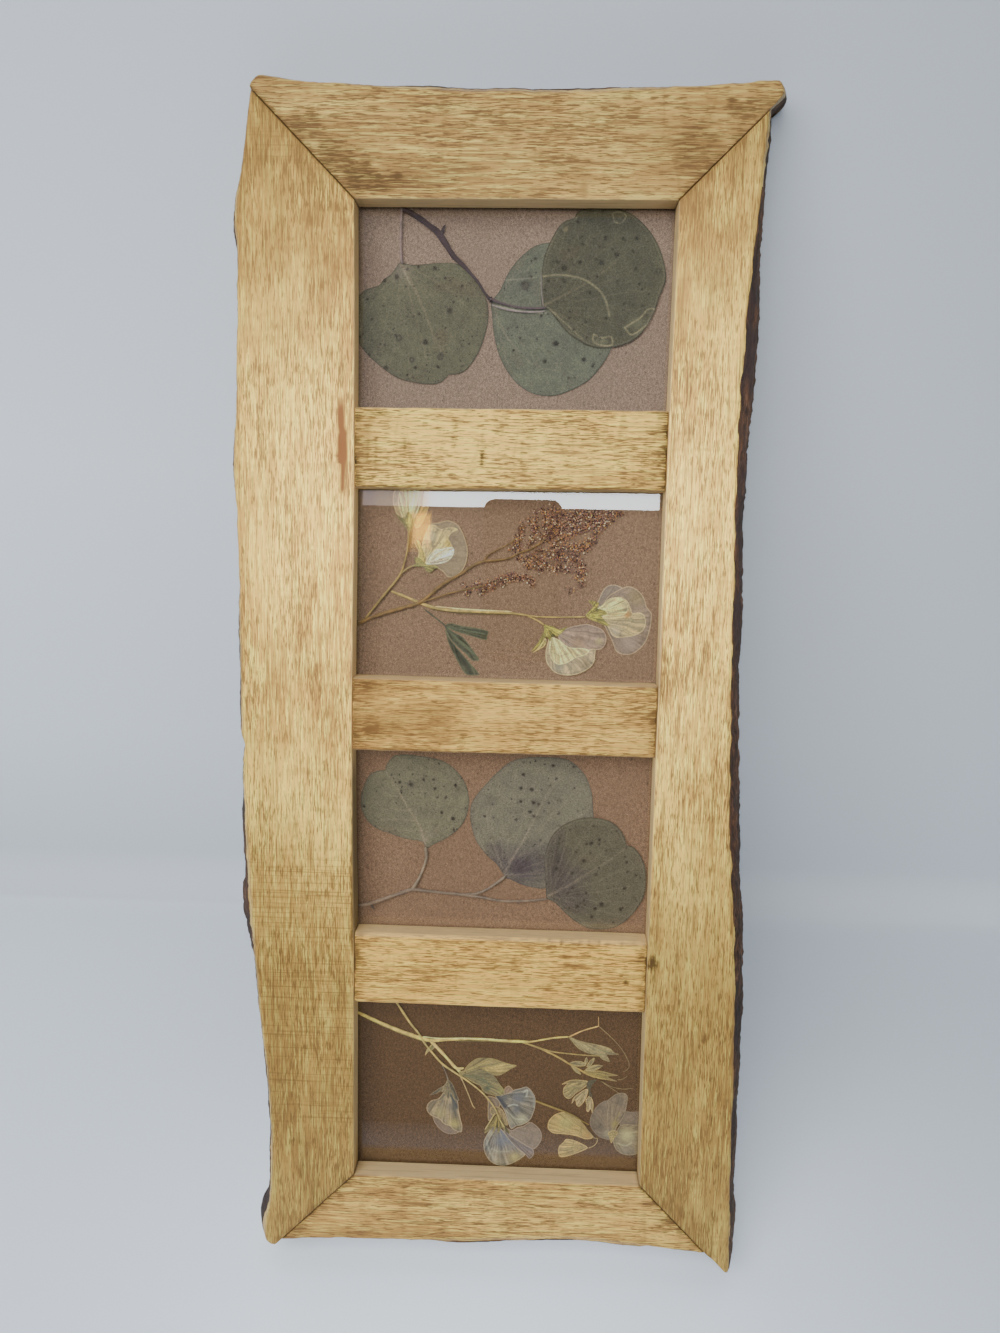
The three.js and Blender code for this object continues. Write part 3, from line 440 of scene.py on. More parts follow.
def wood_material(name, along, seed, tone=0.0, fleck=1.0):
    """along is the grain's axis: "z" for a stile, "x" for a rail."""
    m, nt, b, out = material(name)
    N = Nodes(nt)
    co = N.coords()

    def g(across, length, k=0.0):
        s = (length, across, across) if along == "x" else (across, across, length)
        return N.scale(co, s, (seed * 3.1 + k, seed * 1.7 - k, seed * 0.9 + 2 * k))

    tone_big = N.noise(g(26, 7), 1, 3, 0.55, 0.4)
    tone_mid = N.noise(g(110, 16, 5), 1, 3, 0.6, 0.6)
    tone = N.math("ADD", N.math("MULTIPLY", tone_big, 0.62), N.math("MULTIPLY", tone_mid, 0.38 + 0 * tone))
    if "tone" and seed is not None:
        tone = N.math("ADD", tone, TONES.get(name, 0.0))
    col = N.ramp(tone, [(0.30, WOOD["deep"]), (0.47, WOOD["mid"]), (0.66, WOOD["pale"])])
    # fibres: long fine streaks, lighter and darker
    fib = N.noise(g(1250, 62, 9), 1, 2, 0.6)
    col = N.mix(N.range(fib, 0.46, 0.65, 0, 0.64), col, wd(220, 200, 158), "MIX")
    fib2 = N.noise(g(880, 32, 13), 1, 3, 0.65)
    col = N.mix(N.range(fib2, 0.52, 0.67, 0, 0.72), col, wd(142, 103, 60), "MIX")
    # a silvery cross figure
    fig = N.noise(g(30, 170, 3), 1, 2, 0.55, 0.8)
    col = N.mix(N.range(fig, 0.52, 0.74, 0, 0.22), col, wd(150, 116, 68), "MIX")
    # pores: short dark dashes along the grain, thicker in some areas and where the stain mask is high, which holds
    # stain and painted shade
    # the stain attribute also carries painted shade: dark lines along the lower edges of the upper two cross rails and
    # patches on the stiles' upper ends
    st = N.attr("stain_and_shade")
    area = N.noise(g(60, 30, 21), 1, 2, 0.5)
    p1 = N.noise(g(2500, 160, 2), 1, 1.5, 0.5)
    p2 = N.noise(g(2200, 150, 31), 1, 2.0, 0.55, 0.15)
    lo = N.math("SUBTRACT", N.range(area, 0.35, 0.66, 0.612, 0.545), N.math("MULTIPLY", st, 0.15))
    k1 = N.math("MULTIPLY", N.math("SUBTRACT", p1, lo), 24.0, True)
    k2 = N.math("MULTIPLY", N.math("SUBTRACT", p2, lo), 24.0, True)
    pore = N.math("MAXIMUM", N.math("MULTIPLY", k1, 0.84 * fleck), N.math("MULTIPLY", k2, 0.82 * fleck), True)
    pcol = N.mix(st, wd(124, 84, 48), wd(48, 34, 22))
    soft = N.noise(g(200, 60, 41), 1, 3, 0.6)
    col = N.mix(N.math("MULTIPLY", N.math("ADD", st, N.math("MULTIPLY", st, N.math("SUBTRACT", soft, 0.5))), 0.60, True), col, wd(112, 82, 48))
    col = N.mix(pore, col, pcol)
    col = N.mix(N.range(st, 0.78, 1.0, 0, 0.85), col, wd(52, 37, 26))
    # the warm mask tints the wood darker and warmer; over the upper and lower parts of the stiles it is painted shade
    warm = N.attr("warm")
    col = N.mix(N.math("MULTIPLY", warm, 0.70), col, wd(152, 113, 64))
    col = N.mix(N.range(N.math("SUBTRACT", warm, 1.0), 0.0, 0.7, 0, 0.92), col, wd(128, 76, 42))
    # saw marks across the grain
    saw = N.attr("saw")
    sw = N.noise(g(18, 900, 55), 1, 3, 0.6)
    col = N.mix(N.math("MULTIPLY", saw, N.range(sw, 0.5, 0.68, 0, 0.6)), col, wd(140, 102, 58))
    # end grain and unfinished inner walls are greyer
    dull = N.attr("dull")
    col = N.mix(N.math("MULTIPLY", dull, 1.15, True), col, (0.80, 0.575, 0.285))
    col = N.mix(N.math("MULTIPLY", N.range(fib2, 0.5, 0.7, 0, 0.45), dull), col, (0.30, 0.20, 0.10))
    col = N.mix(N.math("MULTIPLY", N.math("MULTIPLY", st, dull), 1.3, True), col, (0.035, 0.025, 0.017))
    tint = N.mix(N.math("MULTIPLY", dull, 1.0, True), TINTS.get(name, (1, 1, 1)), (1, 1, 1))
    col = N.mix(1.0, col, tint, "MULTIPLY")
    # bark on the live edge
    bark = N.attr("bark")
    bn = N.noise(N.scale(co, (330, 330, 110) if along == "z" else (110, 330, 330)), 1, 5, 0.65, 1.2)
    bcol = N.ramp(bn, [(0.30, (0.012, 0.008, 0.008)), (0.46, (0.045, 0.026, 0.022)), (0.58, (0.12, 0.055, 0.032)), (0.72, (0.24, 0.125, 0.07))])
    patch = N.noise(N.scale(co, (60, 60, 26) if along == "z" else (26, 60, 60), (3, 5, seed)), 1, 2, 0.5)
    bcol = N.mix(N.range(patch, 0.45, 0.6, 0.0, 0.75), bcol, (0.028, 0.02, 0.024))
    bk = N.range(N.math("ADD", bark, N.math("MULTIPLY", N.math("SUBTRACT", bn, 0.5), 0.5)), 0.42, 0.58)
    col = N.mix(bk, col, bcol)
    nt.links.new(col, b.inputs["Base Color"])
    rough = N.math("ADD", N.range(fib, 0.3, 0.7, 0.36, 0.50), N.math("MULTIPLY", bk, 0.4))
    rough = N.math("ADD", rough, N.math("MULTIPLY", dull, 0.3), True)
    nt.links.new(rough, b.inputs["Roughness"])
    b.inputs["Specular IOR Level"].default_value = 0.6
    b.inputs["Specular Tint"].default_value = (1.0, 0.74, 0.34, 1)
    h = N.math("SUBTRACT", N.math("MULTIPLY", fib, 0.35), N.math("MULTIPLY", pore, 0.8))
    h = N.math("ADD", h, N.math("MULTIPLY", N.math("MULTIPLY", bn, bk), 6.0))
    nt.links.new(N.bump(h, 0.55, 0.00012), b.inputs["Normal"])
    return m


TONES = {}


def leaf_material(name):
    """Dry leaf tissue: the mesh's colours, a net of fine veins, dark specks and a fine mottle."""
    m, nt, b, out = material(name)
    N = Nodes(nt)
    co = N.coords()
    flat = N.scale(co, (1.0, 0.02, 1.0))
    col = N.attr("Col", "Color")

    def net(scale, width):
        wob = N.noise(N.scale(flat, (scale * 1.3,) * 3, (1, 2, 3)), 1, 2, 0.6)
        v = nt.nodes.new("ShaderNodeTexVoronoi")
        v.feature = "DISTANCE_TO_EDGE"
        v.inputs["Scale"].default_value = 1.0
        mapped = N.scale(flat, (scale,) * 3)
        add = nt.nodes.new("ShaderNodeVectorMath")
        add.operation = "ADD"
        nt.links.new(mapped, add.inputs[0])
        sc = nt.nodes.new("ShaderNodeVectorMath")
        sc.operation = "SCALE"
        sc.inputs["Scale"].default_value = 0.8
        nt.links.new(wob, sc.inputs[0])
        nt.links.new(sc.outputs[0], add.inputs[1])
        nt.links.new(add.outputs[0], v.inputs["Vector"])
        return N.range(v.outputs["Distance"], width, 0.0, 0, 1)

    net1 = net(210, 0.09)
    net2 = net(620, 0.14)
    col = N.mix(N.math("MULTIPLY", net1, 0.09), col, (0.30, 0.26, 0.18))
    col = N.mix(N.math("MULTIPLY", net2, 0.12), col, (0.24, 0.21, 0.14))
    n1 = N.noise(N.scale(co, (1500,) * 3), 1, 3, 0.65)
    col = N.mix(1.0, col, N.ramp(n1, [(0.25, (0.50,) * 3), (0.75, (1.50,) * 3)]), "MULTIPLY")
    n3 = N.noise(N.scale(co, (240,) * 3, (4, 4, 1)), 1, 3, 0.6)
    col = N.mix(N.range(n3, 0.54, 0.72, 0, 0.35), col, (0.075, 0.058, 0.034))
    s1 = N.noise(N.scale(co, (780,) * 3, (2, 4, 8)), 1, 1, 0.5)
    s2 = N.noise(N.scale(co, (1700,) * 3, (5, 1, 7)), 1, 1, 0.5)
    where = N.noise(N.scale(co, (85,) * 3, (9, 1, 3)), 1, 2, 0.5)
    lo = N.range(where, 0.35, 0.62, 0.80, 0.685)
    col = N.mix(N.math("MULTIPLY", N.math("MULTIPLY", N.math("SUBTRACT", s1, lo), 16.0, True), 0.85), col, (0.020, 0.016, 0.012))
    col = N.mix(N.range(s2, 0.70, 0.76, 0, 0.5), col, (0.030, 0.024, 0.018))
    nt.links.new(col, b.inputs["Base Color"])
    b.inputs["Roughness"].default_value = 0.62
    b.inputs["Specular IOR Level"].default_value = 0.35
    h = N.math("ADD", N.math("MULTIPLY", n3, 3.0), N.math("ADD", n1, N.math("MULTIPLY", net1, -0.6)))
    nt.links.new(N.bump(h, 0.5, 0.00012), b.inputs["Normal"])
    return m


def painted(name, rough=0.75, grain=(900, 0.10), speck=None, sheen=0.0, bump=0.0):
    """A dry plant material that takes its colour from the mesh, with a fine mottle."""
    m, nt, b, out = material(name)
    N = Nodes(nt)
    co = N.coords()
    col = N.attr("Col", "Color")
    n1 = N.noise(N.scale(co, (grain[0],) * 3), 1, 3, 0.6)
    col = N.mix(1.0, col, N.ramp(n1, [(0.25, (1 - grain[1] * 2,) * 3), (0.75, (1 + grain[1] * 2,) * 3)]), "MULTIPLY")
    if speck:
        n2 = N.noise(N.scale(co, (speck[0],) * 3, (2, 4, 8)), 1, 2, 0.5)
        col = N.mix(N.range(n2, speck[1], speck[1] + 0.06, 0, speck[2]), col, speck[3])
    nt.links.new(col, b.inputs["Base Color"])
    b.inputs["Roughness"].default_value = rough
    b.inputs["Specular IOR Level"].default_value = 0.35
    if sheen:
        b.inputs["Sheen Weight"].default_value = sheen
    if bump:
        nt.links.new(N.bump(n1, bump, 0.0001), b.inputs["Normal"])
    return m


def glass_material():
    m, nt, b, out = material("picture_glass")
    b.inputs["Base Color"].default_value = (0.97, 0.985, 0.98, 1)
    b.inputs["Transmission Weight"].default_value = 1.0
    b.inputs["IOR"].default_value = 1.5
    b.inputs["Roughness"].default_value = 0.0
    t = nt.nodes.new("ShaderNodeBsdfTransparent")
    t.inputs[0].default_value = (0.93, 0.94, 0.935, 1)
    lp = nt.nodes.new("ShaderNodeLightPath")
    mx = nt.nodes.new("ShaderNodeMixShader")
    nt.links.new(lp.outputs["Is Shadow Ray"], mx.inputs[0])
    nt.links.new(b.outputs[0], mx.inputs[1])
    nt.links.new(t.outputs[0], mx.inputs[2])
    nt.links.new(mx.outputs[0], out.inputs[0])
    return m


def board_material(name, tone):
    tone = tuple(1.065 * t for t in tone)
    m, nt, b, out = material(name)
    N = Nodes(nt)
    co = N.coords()
    f1 = N.noise(N.scale(co, (2300, 2300, 2300)), 1, 2, 0.6)
    f2 = N.noise(N.scale(co, (900, 900, 700), (1, 2, 3)), 1, 3, 0.65, 0.6)
    big = N.noise(N.scale(co, (26, 26, 26)), 1, 2, 0.5)
    col = N.ramp(N.math("ADD", N.math("MULTIPLY", f1, 0.58), N.math("MULTIPLY", f2, 0.42)), [
        (0.36, tuple(0.45 * t for t in tone)), (0.50, tone), (0.64, tuple(1.65 * t for t in tone))])
    col = N.mix(N.range(big, 0.35, 0.65, 0, 0.25), col, tuple(0.8 * t for t in tone))
    fl = N.noise(N.scale(co, (1500, 1500, 420), (7, 2, 3)), 1, 2, 0.6, 1.5)
    col = N.mix(N.range(fl, 0.62, 0.70, 0, 0.7), col, tuple(0.35 * t for t in tone))
    fl2 = N.noise(N.scale(co, (1700, 1700, 1700), (17, 12, 3)), 1, 1, 0.6)
    col = N.mix(N.range(fl2, 0.68, 0.76, 0, 0.75), col, tuple(2.1 * t for t in tone))
    nt.links.new(col, b.inputs["Base Color"])
    b.inputs["Roughness"].default_value = 0.8
    b.inputs["Specular IOR Level"].default_value = 0.3
    nt.links.new(N.bump(f2, 0.4, 0.0001), b.inputs["Normal"])
    return m


def steel_material():
    m, nt, b, out = material("zinc_plate")
    N = Nodes(nt)
    n = N.noise(N.scale(N.coords(), (300, 300, 300)), 1, 3, 0.6)
    nt.links.new(N.ramp(n, [(0.3, (0.42, 0.42, 0.41)), (0.7, (0.62, 0.62, 0.60))]), b.inputs["Base Color"])
    nt.links.new(N.range(n, 0.3, 0.7, 0.32, 0.5), b.inputs["Roughness"])
    b.inputs["Metallic"].default_value = 1.0
    return m


# ---------------------------------------------------------------- frame members
TOP_INNER = [(-69.79, 0.1), (70.09, 0.4)]
TOP_OUTER = [
    (-114.6, 44.81, -2.6, 2.6), (-115.1, 46.0, -2.8, 2.8), (-113.6, 48.6, -2.2, 3.4), (-111.5, 50.2, -1.4, 4),
    (-107, 49.9, -0.3, 4.4), (-101, 49.0, 0, 4.4), (-95, 48.2, 0, 4.4), (-85, 47.5, 0, 4.4), (-75, 46.9, 0, 4.6),
    (-62, 46.1, 0, 5.2), (-50, 45.3, 0, 6.4), (-40, 44.9, 0, 7), (-33, 44.5, 0, 7.2), (-25, 44.1, 0, 7.3), (-15, 43.6, 0, 7.4),
    (-8, 43.8, 0, 7.4), (0, 43.8, 0, 7.4), (10, 43.8, 0, 7.4), (20, 43.9, 0, 7.4), (30, 44.0, 0, 7.4), (40, 44.5, 0, 7.3),
    (50, 44.9, 0, 6.9), (60, 45.5, 0, 6.3), (67, 45.9, 0, 5.6), (75, 46.2, 0, 5), (82, 46.7, 0, 4.8), (90, 47.5, 0, 4.6),
    (97, 47.9, 0, 4.6), (105, 48.6, 0.4, 4.6), (110.6, 48.8, 2.6, 4.4), (112.1, 46.9, 4, 3.4), (112.6, 44.4, 4.5, 2),
    (111.2, 41.9, 4.4, 3.6), (109.2, 39.51, 4, 4), (107.0, 37.31, 4, 4),
]
LEFT_INNER = [(-70, -0.21), (-69.9, -42), (-70, -85), (-70, -125), (-70.4, -163), (-70.9, -202), (-70.9, -244), (-70.5, -290), (-70, -321), (-70, -412), (-70, -456.59)]
LEFT_OUTER = [
    (-114.6, 44.39, -2.6, 2.6), (-115.4, 40, -2.7, 0), (-116, 36, -2.8, 0), (-117.4, 25, -3.2, 0), (-118.9, 15, -4, 0),
    (-120.4, 5, -5, 0), (-121.3, -2, -5.5, 0), (-122, -11, -5.4, 0), (-121.6, -17, -4.4, 0), (-121.3, -22, -3.5, 0),
    (-121.6, -40, -3.2, 0), (-122, -60, -3.2, 0), (-122.6, -80, -3.3, 0), (-123.3, -98, -4.2, 0), (-124, -110, -4.8, 0),
    (-124, -121, -4.2, 0), (-123.3, -135, -3.2, 0), (-122.8, -150, -3.2, 0), (-122.4, -170, -3.6, 0), (-122.4, -185, -4.8, 0),
    (-122.2, -200, -5, 0), (-122, -214, -5, 0), (-121.9, -226, -5.4, 0), (-121.9, -237, -5, 0), (-121.2, -244, -3.9, 0),
    (-121.5, -254, -4.8, 0), (-121.3, -265, -5.4, 0), (-120.8, -280, -6.4, 0), (-120, -299, -6.4, 0), (-119.4, -311, -7, 0),
    (-119.1, -317, -8.6, 0), (-118.5, -328, -8.4, 0), (-117.8, -338, -7.5, 0), (-117.3, -345, -6.2, 0), (-116.9, -349, -5.1, 0),
    (-116, -365, -5.1, 0), (-114.8, -380, -5.2, 0), (-113, -395, -5.4, 0), (-111.6, -410, -5.3, 0), (-110.8, -425, -5, 0),
    (-110.3, -440, -4.9, 0), (-110.6, -455, -4.8, 0), (-111.2, -468, -4.1, 0), (-112.2, -477, -4.5, 0), (-113.2, -480.5, -5.4, 0),
    (-114.1, -484.5, -6.3, 0), (-114.4, -490, -6, -0.4), (-113.5, -494, -4.4, -1.4), (-111.6, -495.9, -2.8, -2.4),
    (-110, -496.1, -2, -2), (-108.4, -494.99, -1.9, -1.9),
]
RIGHT_INNER = [(69.9, -456.49), (69.6, -407), (69.4, -369), (69.4, -345), (69.6, -320), (69.7, -245), (69.9, -200), (69.7, -160), (69.8, -120), (69.8, -83), (70.2, -40), (70.4, 0.29)]
RIGHT_OUTER = [
    (103.11, -490.9, 1.8, -1.9), (105, -492.6, 1.8, -1.9), (107.2, -494.5, 1.8, -1.9), (110, -497.2, 2, -2), (112, -499.5, 2.4, -2),
    (113.6, -501, 3, -2), (114.5, -501.1, 3.8, -1.2), (115, -499, 4.5, 0), (114.8, -490, 5.8, 0), (114.5, -480, 6.2, 0),
    (114, -470, 5.5, 0), (113.6, -452, 5.3, 0), (113.1, -436, 5.8, 0), (112.8, -422, 6, 0), (112.5, -405, 6.3, 0), (112.2, -390, 6.6, 0),
    (111.9, -376, 6.9, 0), (111.3, -362, 7.3, 0), (110.6, -350, 7.6, 0), (110, -340, 7.8, 0), (109.2, -327, 7.8, 0), (108, -314, 7.5, 0),
    (106.7, -300, 7.4, 0), (105.6, -287, 7.9, 0), (104.7, -274, 8.2, 0), (104, -262, 8.1, 0), (103.4, -248, 7.9, 0), (102.9, -232, 7.6, 0),
    (102.4, -215, 7.4, 0), (102, -200, 7.4, 0), (101.7, -185, 7.6, 0), (101.5, -170, 7.4, 0), (101.2, -157, 7.2, 0), (100.8, -145, 7, 0),
    (100.4, -134, 7, 0), (100.1, -122, 7.5, 0), (99.9, -111, 8.2, 0), (99.7, -100, 8.9, 0), (99.8, -88, 9.4, 0), (100.1, -73, 9.7, 0),
    (100.5, -60, 9.6, 0), (101, -50, 9, 0), (101.7, -40, 8.3, 0), (102.6, -30, 7, 0), (103.1, -20, 6, 0), (104, -10, 5.3, 0),
    (104.8, 2, 4.6, 0), (105.3, 10, 4.5, 0), (105.8, 20, 4.5, 0), (106.5, 30, 4.5, 0), (107.2, 37.09, 4, 4),
]
BOTTOM_INNER = [(69.79, -456.8), (-69.84, -456.85)]
BOTTOM_OUTER = [
    (102.8, -491, 1.8, -1.865), (98, -490.6, 0, -2.6), (90, -490, 0, -3.4), (80, -489, 0, -4), (70, -487.9, 0, -4.4),
    (62, -487, 0, -4.6), (56, -486.4, 0, -4.7), (50, -485.8, 0, -4.8), (42, -485.7, 0, -4.8), (32, -485.9, 0, -4.8), (22, -486.3, 0, -4.8),
    (12, -487, 0, -4.8), (2, -487.8, 0, -4.7), (-6, -488.5, 0, -4.6), (-15, -489.3, 0, -4.4), (-25, -490, 0, -4.2), (-34, -490.4, 0, -4),
    (-44, -490.5, 0, -3.8), (-56, -490.7, 0, -3.6), (-69, -490.9, 0, -3.4), (-80, -491.1, 0, -3.2), (-92, -491.6, 0, -3),
    (-100, -492.4, 0, -2.4), (-106, -493.01, -1.6, -1.6),
]
MITRES = [((-70, 0), (-114.6, 44.6)), ((70, 0.3), (107, 37.2)), ((-70, -456.8), (-107.5, -494.3)), ((69.9, -456.7), (104, -491.8))]


def blob(P, x, z, rx, rz, amount, seed=0, rag=0.5):
    """A soft ragged spot in x, z."""
    q = np.hypot((P[:, 0] - x) / rx, (P[:, 1] - z) / rz)
    q = q + rag * fbm(P[:, 0] / max(rx * 0.5, 1.5) + seed, P[:, 1] / max(rz * 0.5, 1.5), seed=seed + 3)
    return amount * (1 - smoothstep(0.35, 1.15, q))


def stains_and_shade(P, who):
    """stain, warm and saw masks for front points P (x, z). The stain and warm masks also hold painted shade: the stiles
    are darkened towards their top and bottom ends.
    """
    s = np.zeros(len(P))
    w = np.zeros(len(P))
    saw = np.zeros(len(P))
    deep = np.zeros(len(P))
    n = fbm(P[:, 0] / 5.0, P[:, 1] / 5.0, seed=31)
    for a, b in MITRES:
        d, t = dist(P, [a, b])
        s = np.maximum(s, np.exp(-((d / 0.85) ** 2)) * (0.78 + 0.25 * n))
        s = np.maximum(s, np.clip(np.exp(-d / 3.4) * (0.42 + 0.75 * n), 0, 1))
    if who == "top_rail":
        s = np.maximum(s, blob(P, -66, 10, 17, 8, 0.72, 4, 0.9))
        s = np.maximum(s, blob(P, -79, 18, 11, 11, 0.62, 9, 0.9))
        s = np.maximum(s, blob(P, -92, 30, 9, 9, 0.40, 10, 0.9))
        s = np.maximum(s, blob(P, 80, 20, 13, 10, 0.50, 14, 0.8))
        w = np.maximum(w, 0.22 + 0.12 * fbm(P[:, 0] / 18, P[:, 1] / 6, seed=23))
        s = np.maximum(s, blob(P, 97, 38, 8, 5, 0.5, 19, 0.6))
        s = np.maximum(s, blob(P, 91, 40, 3, 3, 0.75, 21, 0.4))
        w = np.maximum(w, blob(P, 27, 10, 12, 8, 0.55, 2, 0.7))
        w = np.maximum(w, blob(P, 29, 5, 4, 6, 0.8, 6, 0.5))
        w = np.maximum(w, blob(P, 68, 26, 42, 24, 0.55, 8, 0.8))
        w = np.maximum(w, blob(P, -70, 18, 34, 18, 0.35, 18, 0.8))
        w = np.maximum(w, 0.30 * smoothstep(34, 46, P[:, 1]) * (1 + fbm(P[:, 0] / 14, P[:, 1] / 5, seed=3)))
    if who == "left_stile":
        # resin streak beside the upper cross rail
        x0 = -74.2 + 0.8 * noise(P[:, 1] / 12, seed=5)
        zs = [-128, -120.7, -113.6, -110, -106.4, -99.3, -92.1, -85, -80]
        cx = np.interp(P[:, 1], zs, [-75.4, -75.2, -75.1, -75.9, -75.5, -75.1, -76.0, -75.9, -75.9])
        hw = np.interp(P[:, 1], zs, [-0.5, 1.0, 1.25, 2.4, 2.0, 1.6, 1.05, 0.6, -0.5])
        deep = smoothstep(hw + 0.5, hw - 0.4, np.abs(P[:, 0] - cx)) * (0.95 + 0.15 * n)
        w = np.maximum(w, 1.0 * np.exp(-(((P[:, 0] - x0) / 0.9) ** 2)) * smoothstep(-131, -120, P[:, 1]) * (1 - smoothstep(-92, -80, P[:, 1])))
        w = np.maximum(w, 0.45 * np.exp(-(((P[:, 0] - x0) / 2.4) ** 2)) * smoothstep(-135, -120, P[:, 1]) * (1 - smoothstep(-95, -70, P[:, 1])))
        for z, h, a in ((37, 2.2, 0.5), (26, 5, 0.35), (15, 2, 0.3), (-314, 5, 0.42), (-330, 2, 0.5), (-352, 3, 0.5), (-367, 2.0, 0.65), (-380, 6, 0.5), (-398, 4, 0.5), (-416, 4, 0.5), (-431, 2.5, 0.55)):
            band = np.exp(-(((P[:, 1] - z) / h) ** 2)) * smoothstep(-122, -108, P[:, 0] + 4 * noise(z * 1.7 + P[:, 1] * 0.02, seed=8)) * (1 - smoothstep(-84, -72, P[:, 0] + 5 * noise(P[:, 1] * 0.3, seed=12)))
            w = np.maximum(w, band * a * (0.7 + 0.6 * fbm(P[:, 0] / 9, P[:, 1] / 2.0, seed=13)))
        saw = np.maximum(saw, smoothstep(-440, -425, P[:, 1]) * (1 - smoothstep(-305, -285, P[:, 1])))
        saw = np.maximum(saw, smoothstep(8, 14, P[:, 1]) * 0.8)
        s = np.maximum(s, blob(P, -99, -440, 3.5, 2, 0.55, 7, 0.5))
        s = np.maximum(s, 0.95 * np.exp(-(P[:, 0] + 70.4) ** 2 / 0.9) * smoothstep(-345, -330, P[:, 1]) * (1 - smoothstep(-262, -236, P[:, 1])))
        w = np.maximum(w, 0.25 * smoothstep(0.1, 0.6, fbm(P[:, 0] / 9, P[:, 1] / 40, seed=77)))
        # darker and warmer over the lower part of the stile: painted shade for the light's fall-off towards the bottom
        w = np.maximum(w, 0.58 * (1 - smoothstep(-405, -255, P[:, 1])) * (1 + 0.6 * fbm(P[:, 0] / 6, P[:, 1] / 30, seed=78)))
        c, t = dist(P, [(-71.5, -2), (-76, -8), (-80.5, -18), (-83, -28), (-84, -38)])
        s = np.maximum(s, np.exp(-((c / 0.35) ** 2)) * 0.6)
        # darker and warmer over the upper part of the stile: painted shade, which leaves the middle as the lit part
        w = np.maximum(w, 0.72 * smoothstep(-110, 0, P[:, 1]) * (1 + 0.8 * fbm(P[:, 0] / 8, P[:, 1] / 14, seed=79)))
        w = np.maximum(w, 0.5 * (1 - smoothstep(0, 1.6, P[:, 0] + 122.5 + 1.5 * noise(P[:, 1] / 20, seed=3))))
    if who in ("left_stile", "right_stile"):
        # dark patches over the upper ends of both stiles: painted shade
        s = np.maximum(s, 0.30 * smoothstep(-70, 20, P[:, 1]) * smoothstep(-0.1, 0.5, fbm(P[:, 0] / 7, P[:, 1] / 16, seed=99)))
    if who == "right_stile":
        s = np.maximum(s, blob(P, 72, -343.5, 3.2, 4.5, 1.0, 11, 0.45))
        s = np.maximum(s, blob(P, 73, -352, 2.4, 8, 0.4, 12, 0.8))
        s = np.maximum(s, blob(P, 71.5, -208, 3, 14, 0.35, 13, 0.9))
        s = np.maximum(s, blob(P, 84, -470, 12, 8, 0.35, 14, 0.9))
        s = np.maximum(s, blob(P, 104, -480, 7, 12, 0.35, 15, 0.9))
        for x, z in ((102, -353), (102.5, -400), (102.5, -421), (105.5, -445), (98, -380)):
            s = np.maximum(s, blob(P, x, z, 1.6, 3.2, 0.5, int(x + z) % 9, 0.6))
        w = np.maximum(w, 0.28 * smoothstep(0.0, 0.6, fbm(P[:, 0] / 8, P[:, 1] / 45, seed=67)))
        # darker and warmer over the upper part and the lower part of the stile: painted shade, which leaves the middle
        # as the lit part
        w = np.maximum(w, 0.74 * smoothstep(-110, 0, P[:, 1]) * (1 + 0.8 * fbm(P[:, 0] / 8, P[:, 1] / 14, seed=69)))
        w = np.maximum(w, 0.66 * (1 - smoothstep(-400, -245, P[:, 1])) * (1 + 0.6 * fbm(P[:, 0] / 6, P[:, 1] / 30, seed=68)))
    if who == "top_rail":
        w = np.maximum(w, 0.50 * smoothstep(25, 95, P[:, 0]) * (1 + 0.7 * fbm(P[:, 0] / 14, P[:, 1] / 6, seed=89)))
    if who == "bottom_rail":
        s = np.maximum(s, blob(P, 86, -476, 12, 8, 0.35, 5, 0.9))
        w = np.maximum(w, 0.35 * (1 - smoothstep(-489, -480, P[:, 1])) * (1 + fbm(P[:, 0] / 12, P[:, 1] / 4, seed=5)))
    return np.clip(s, 0, 1), np.clip(w, 0, 1) * (1 - np.clip(deep, 0, 1)) + 2 * np.clip(deep, 0, 1), np.clip(saw, 0, 1)


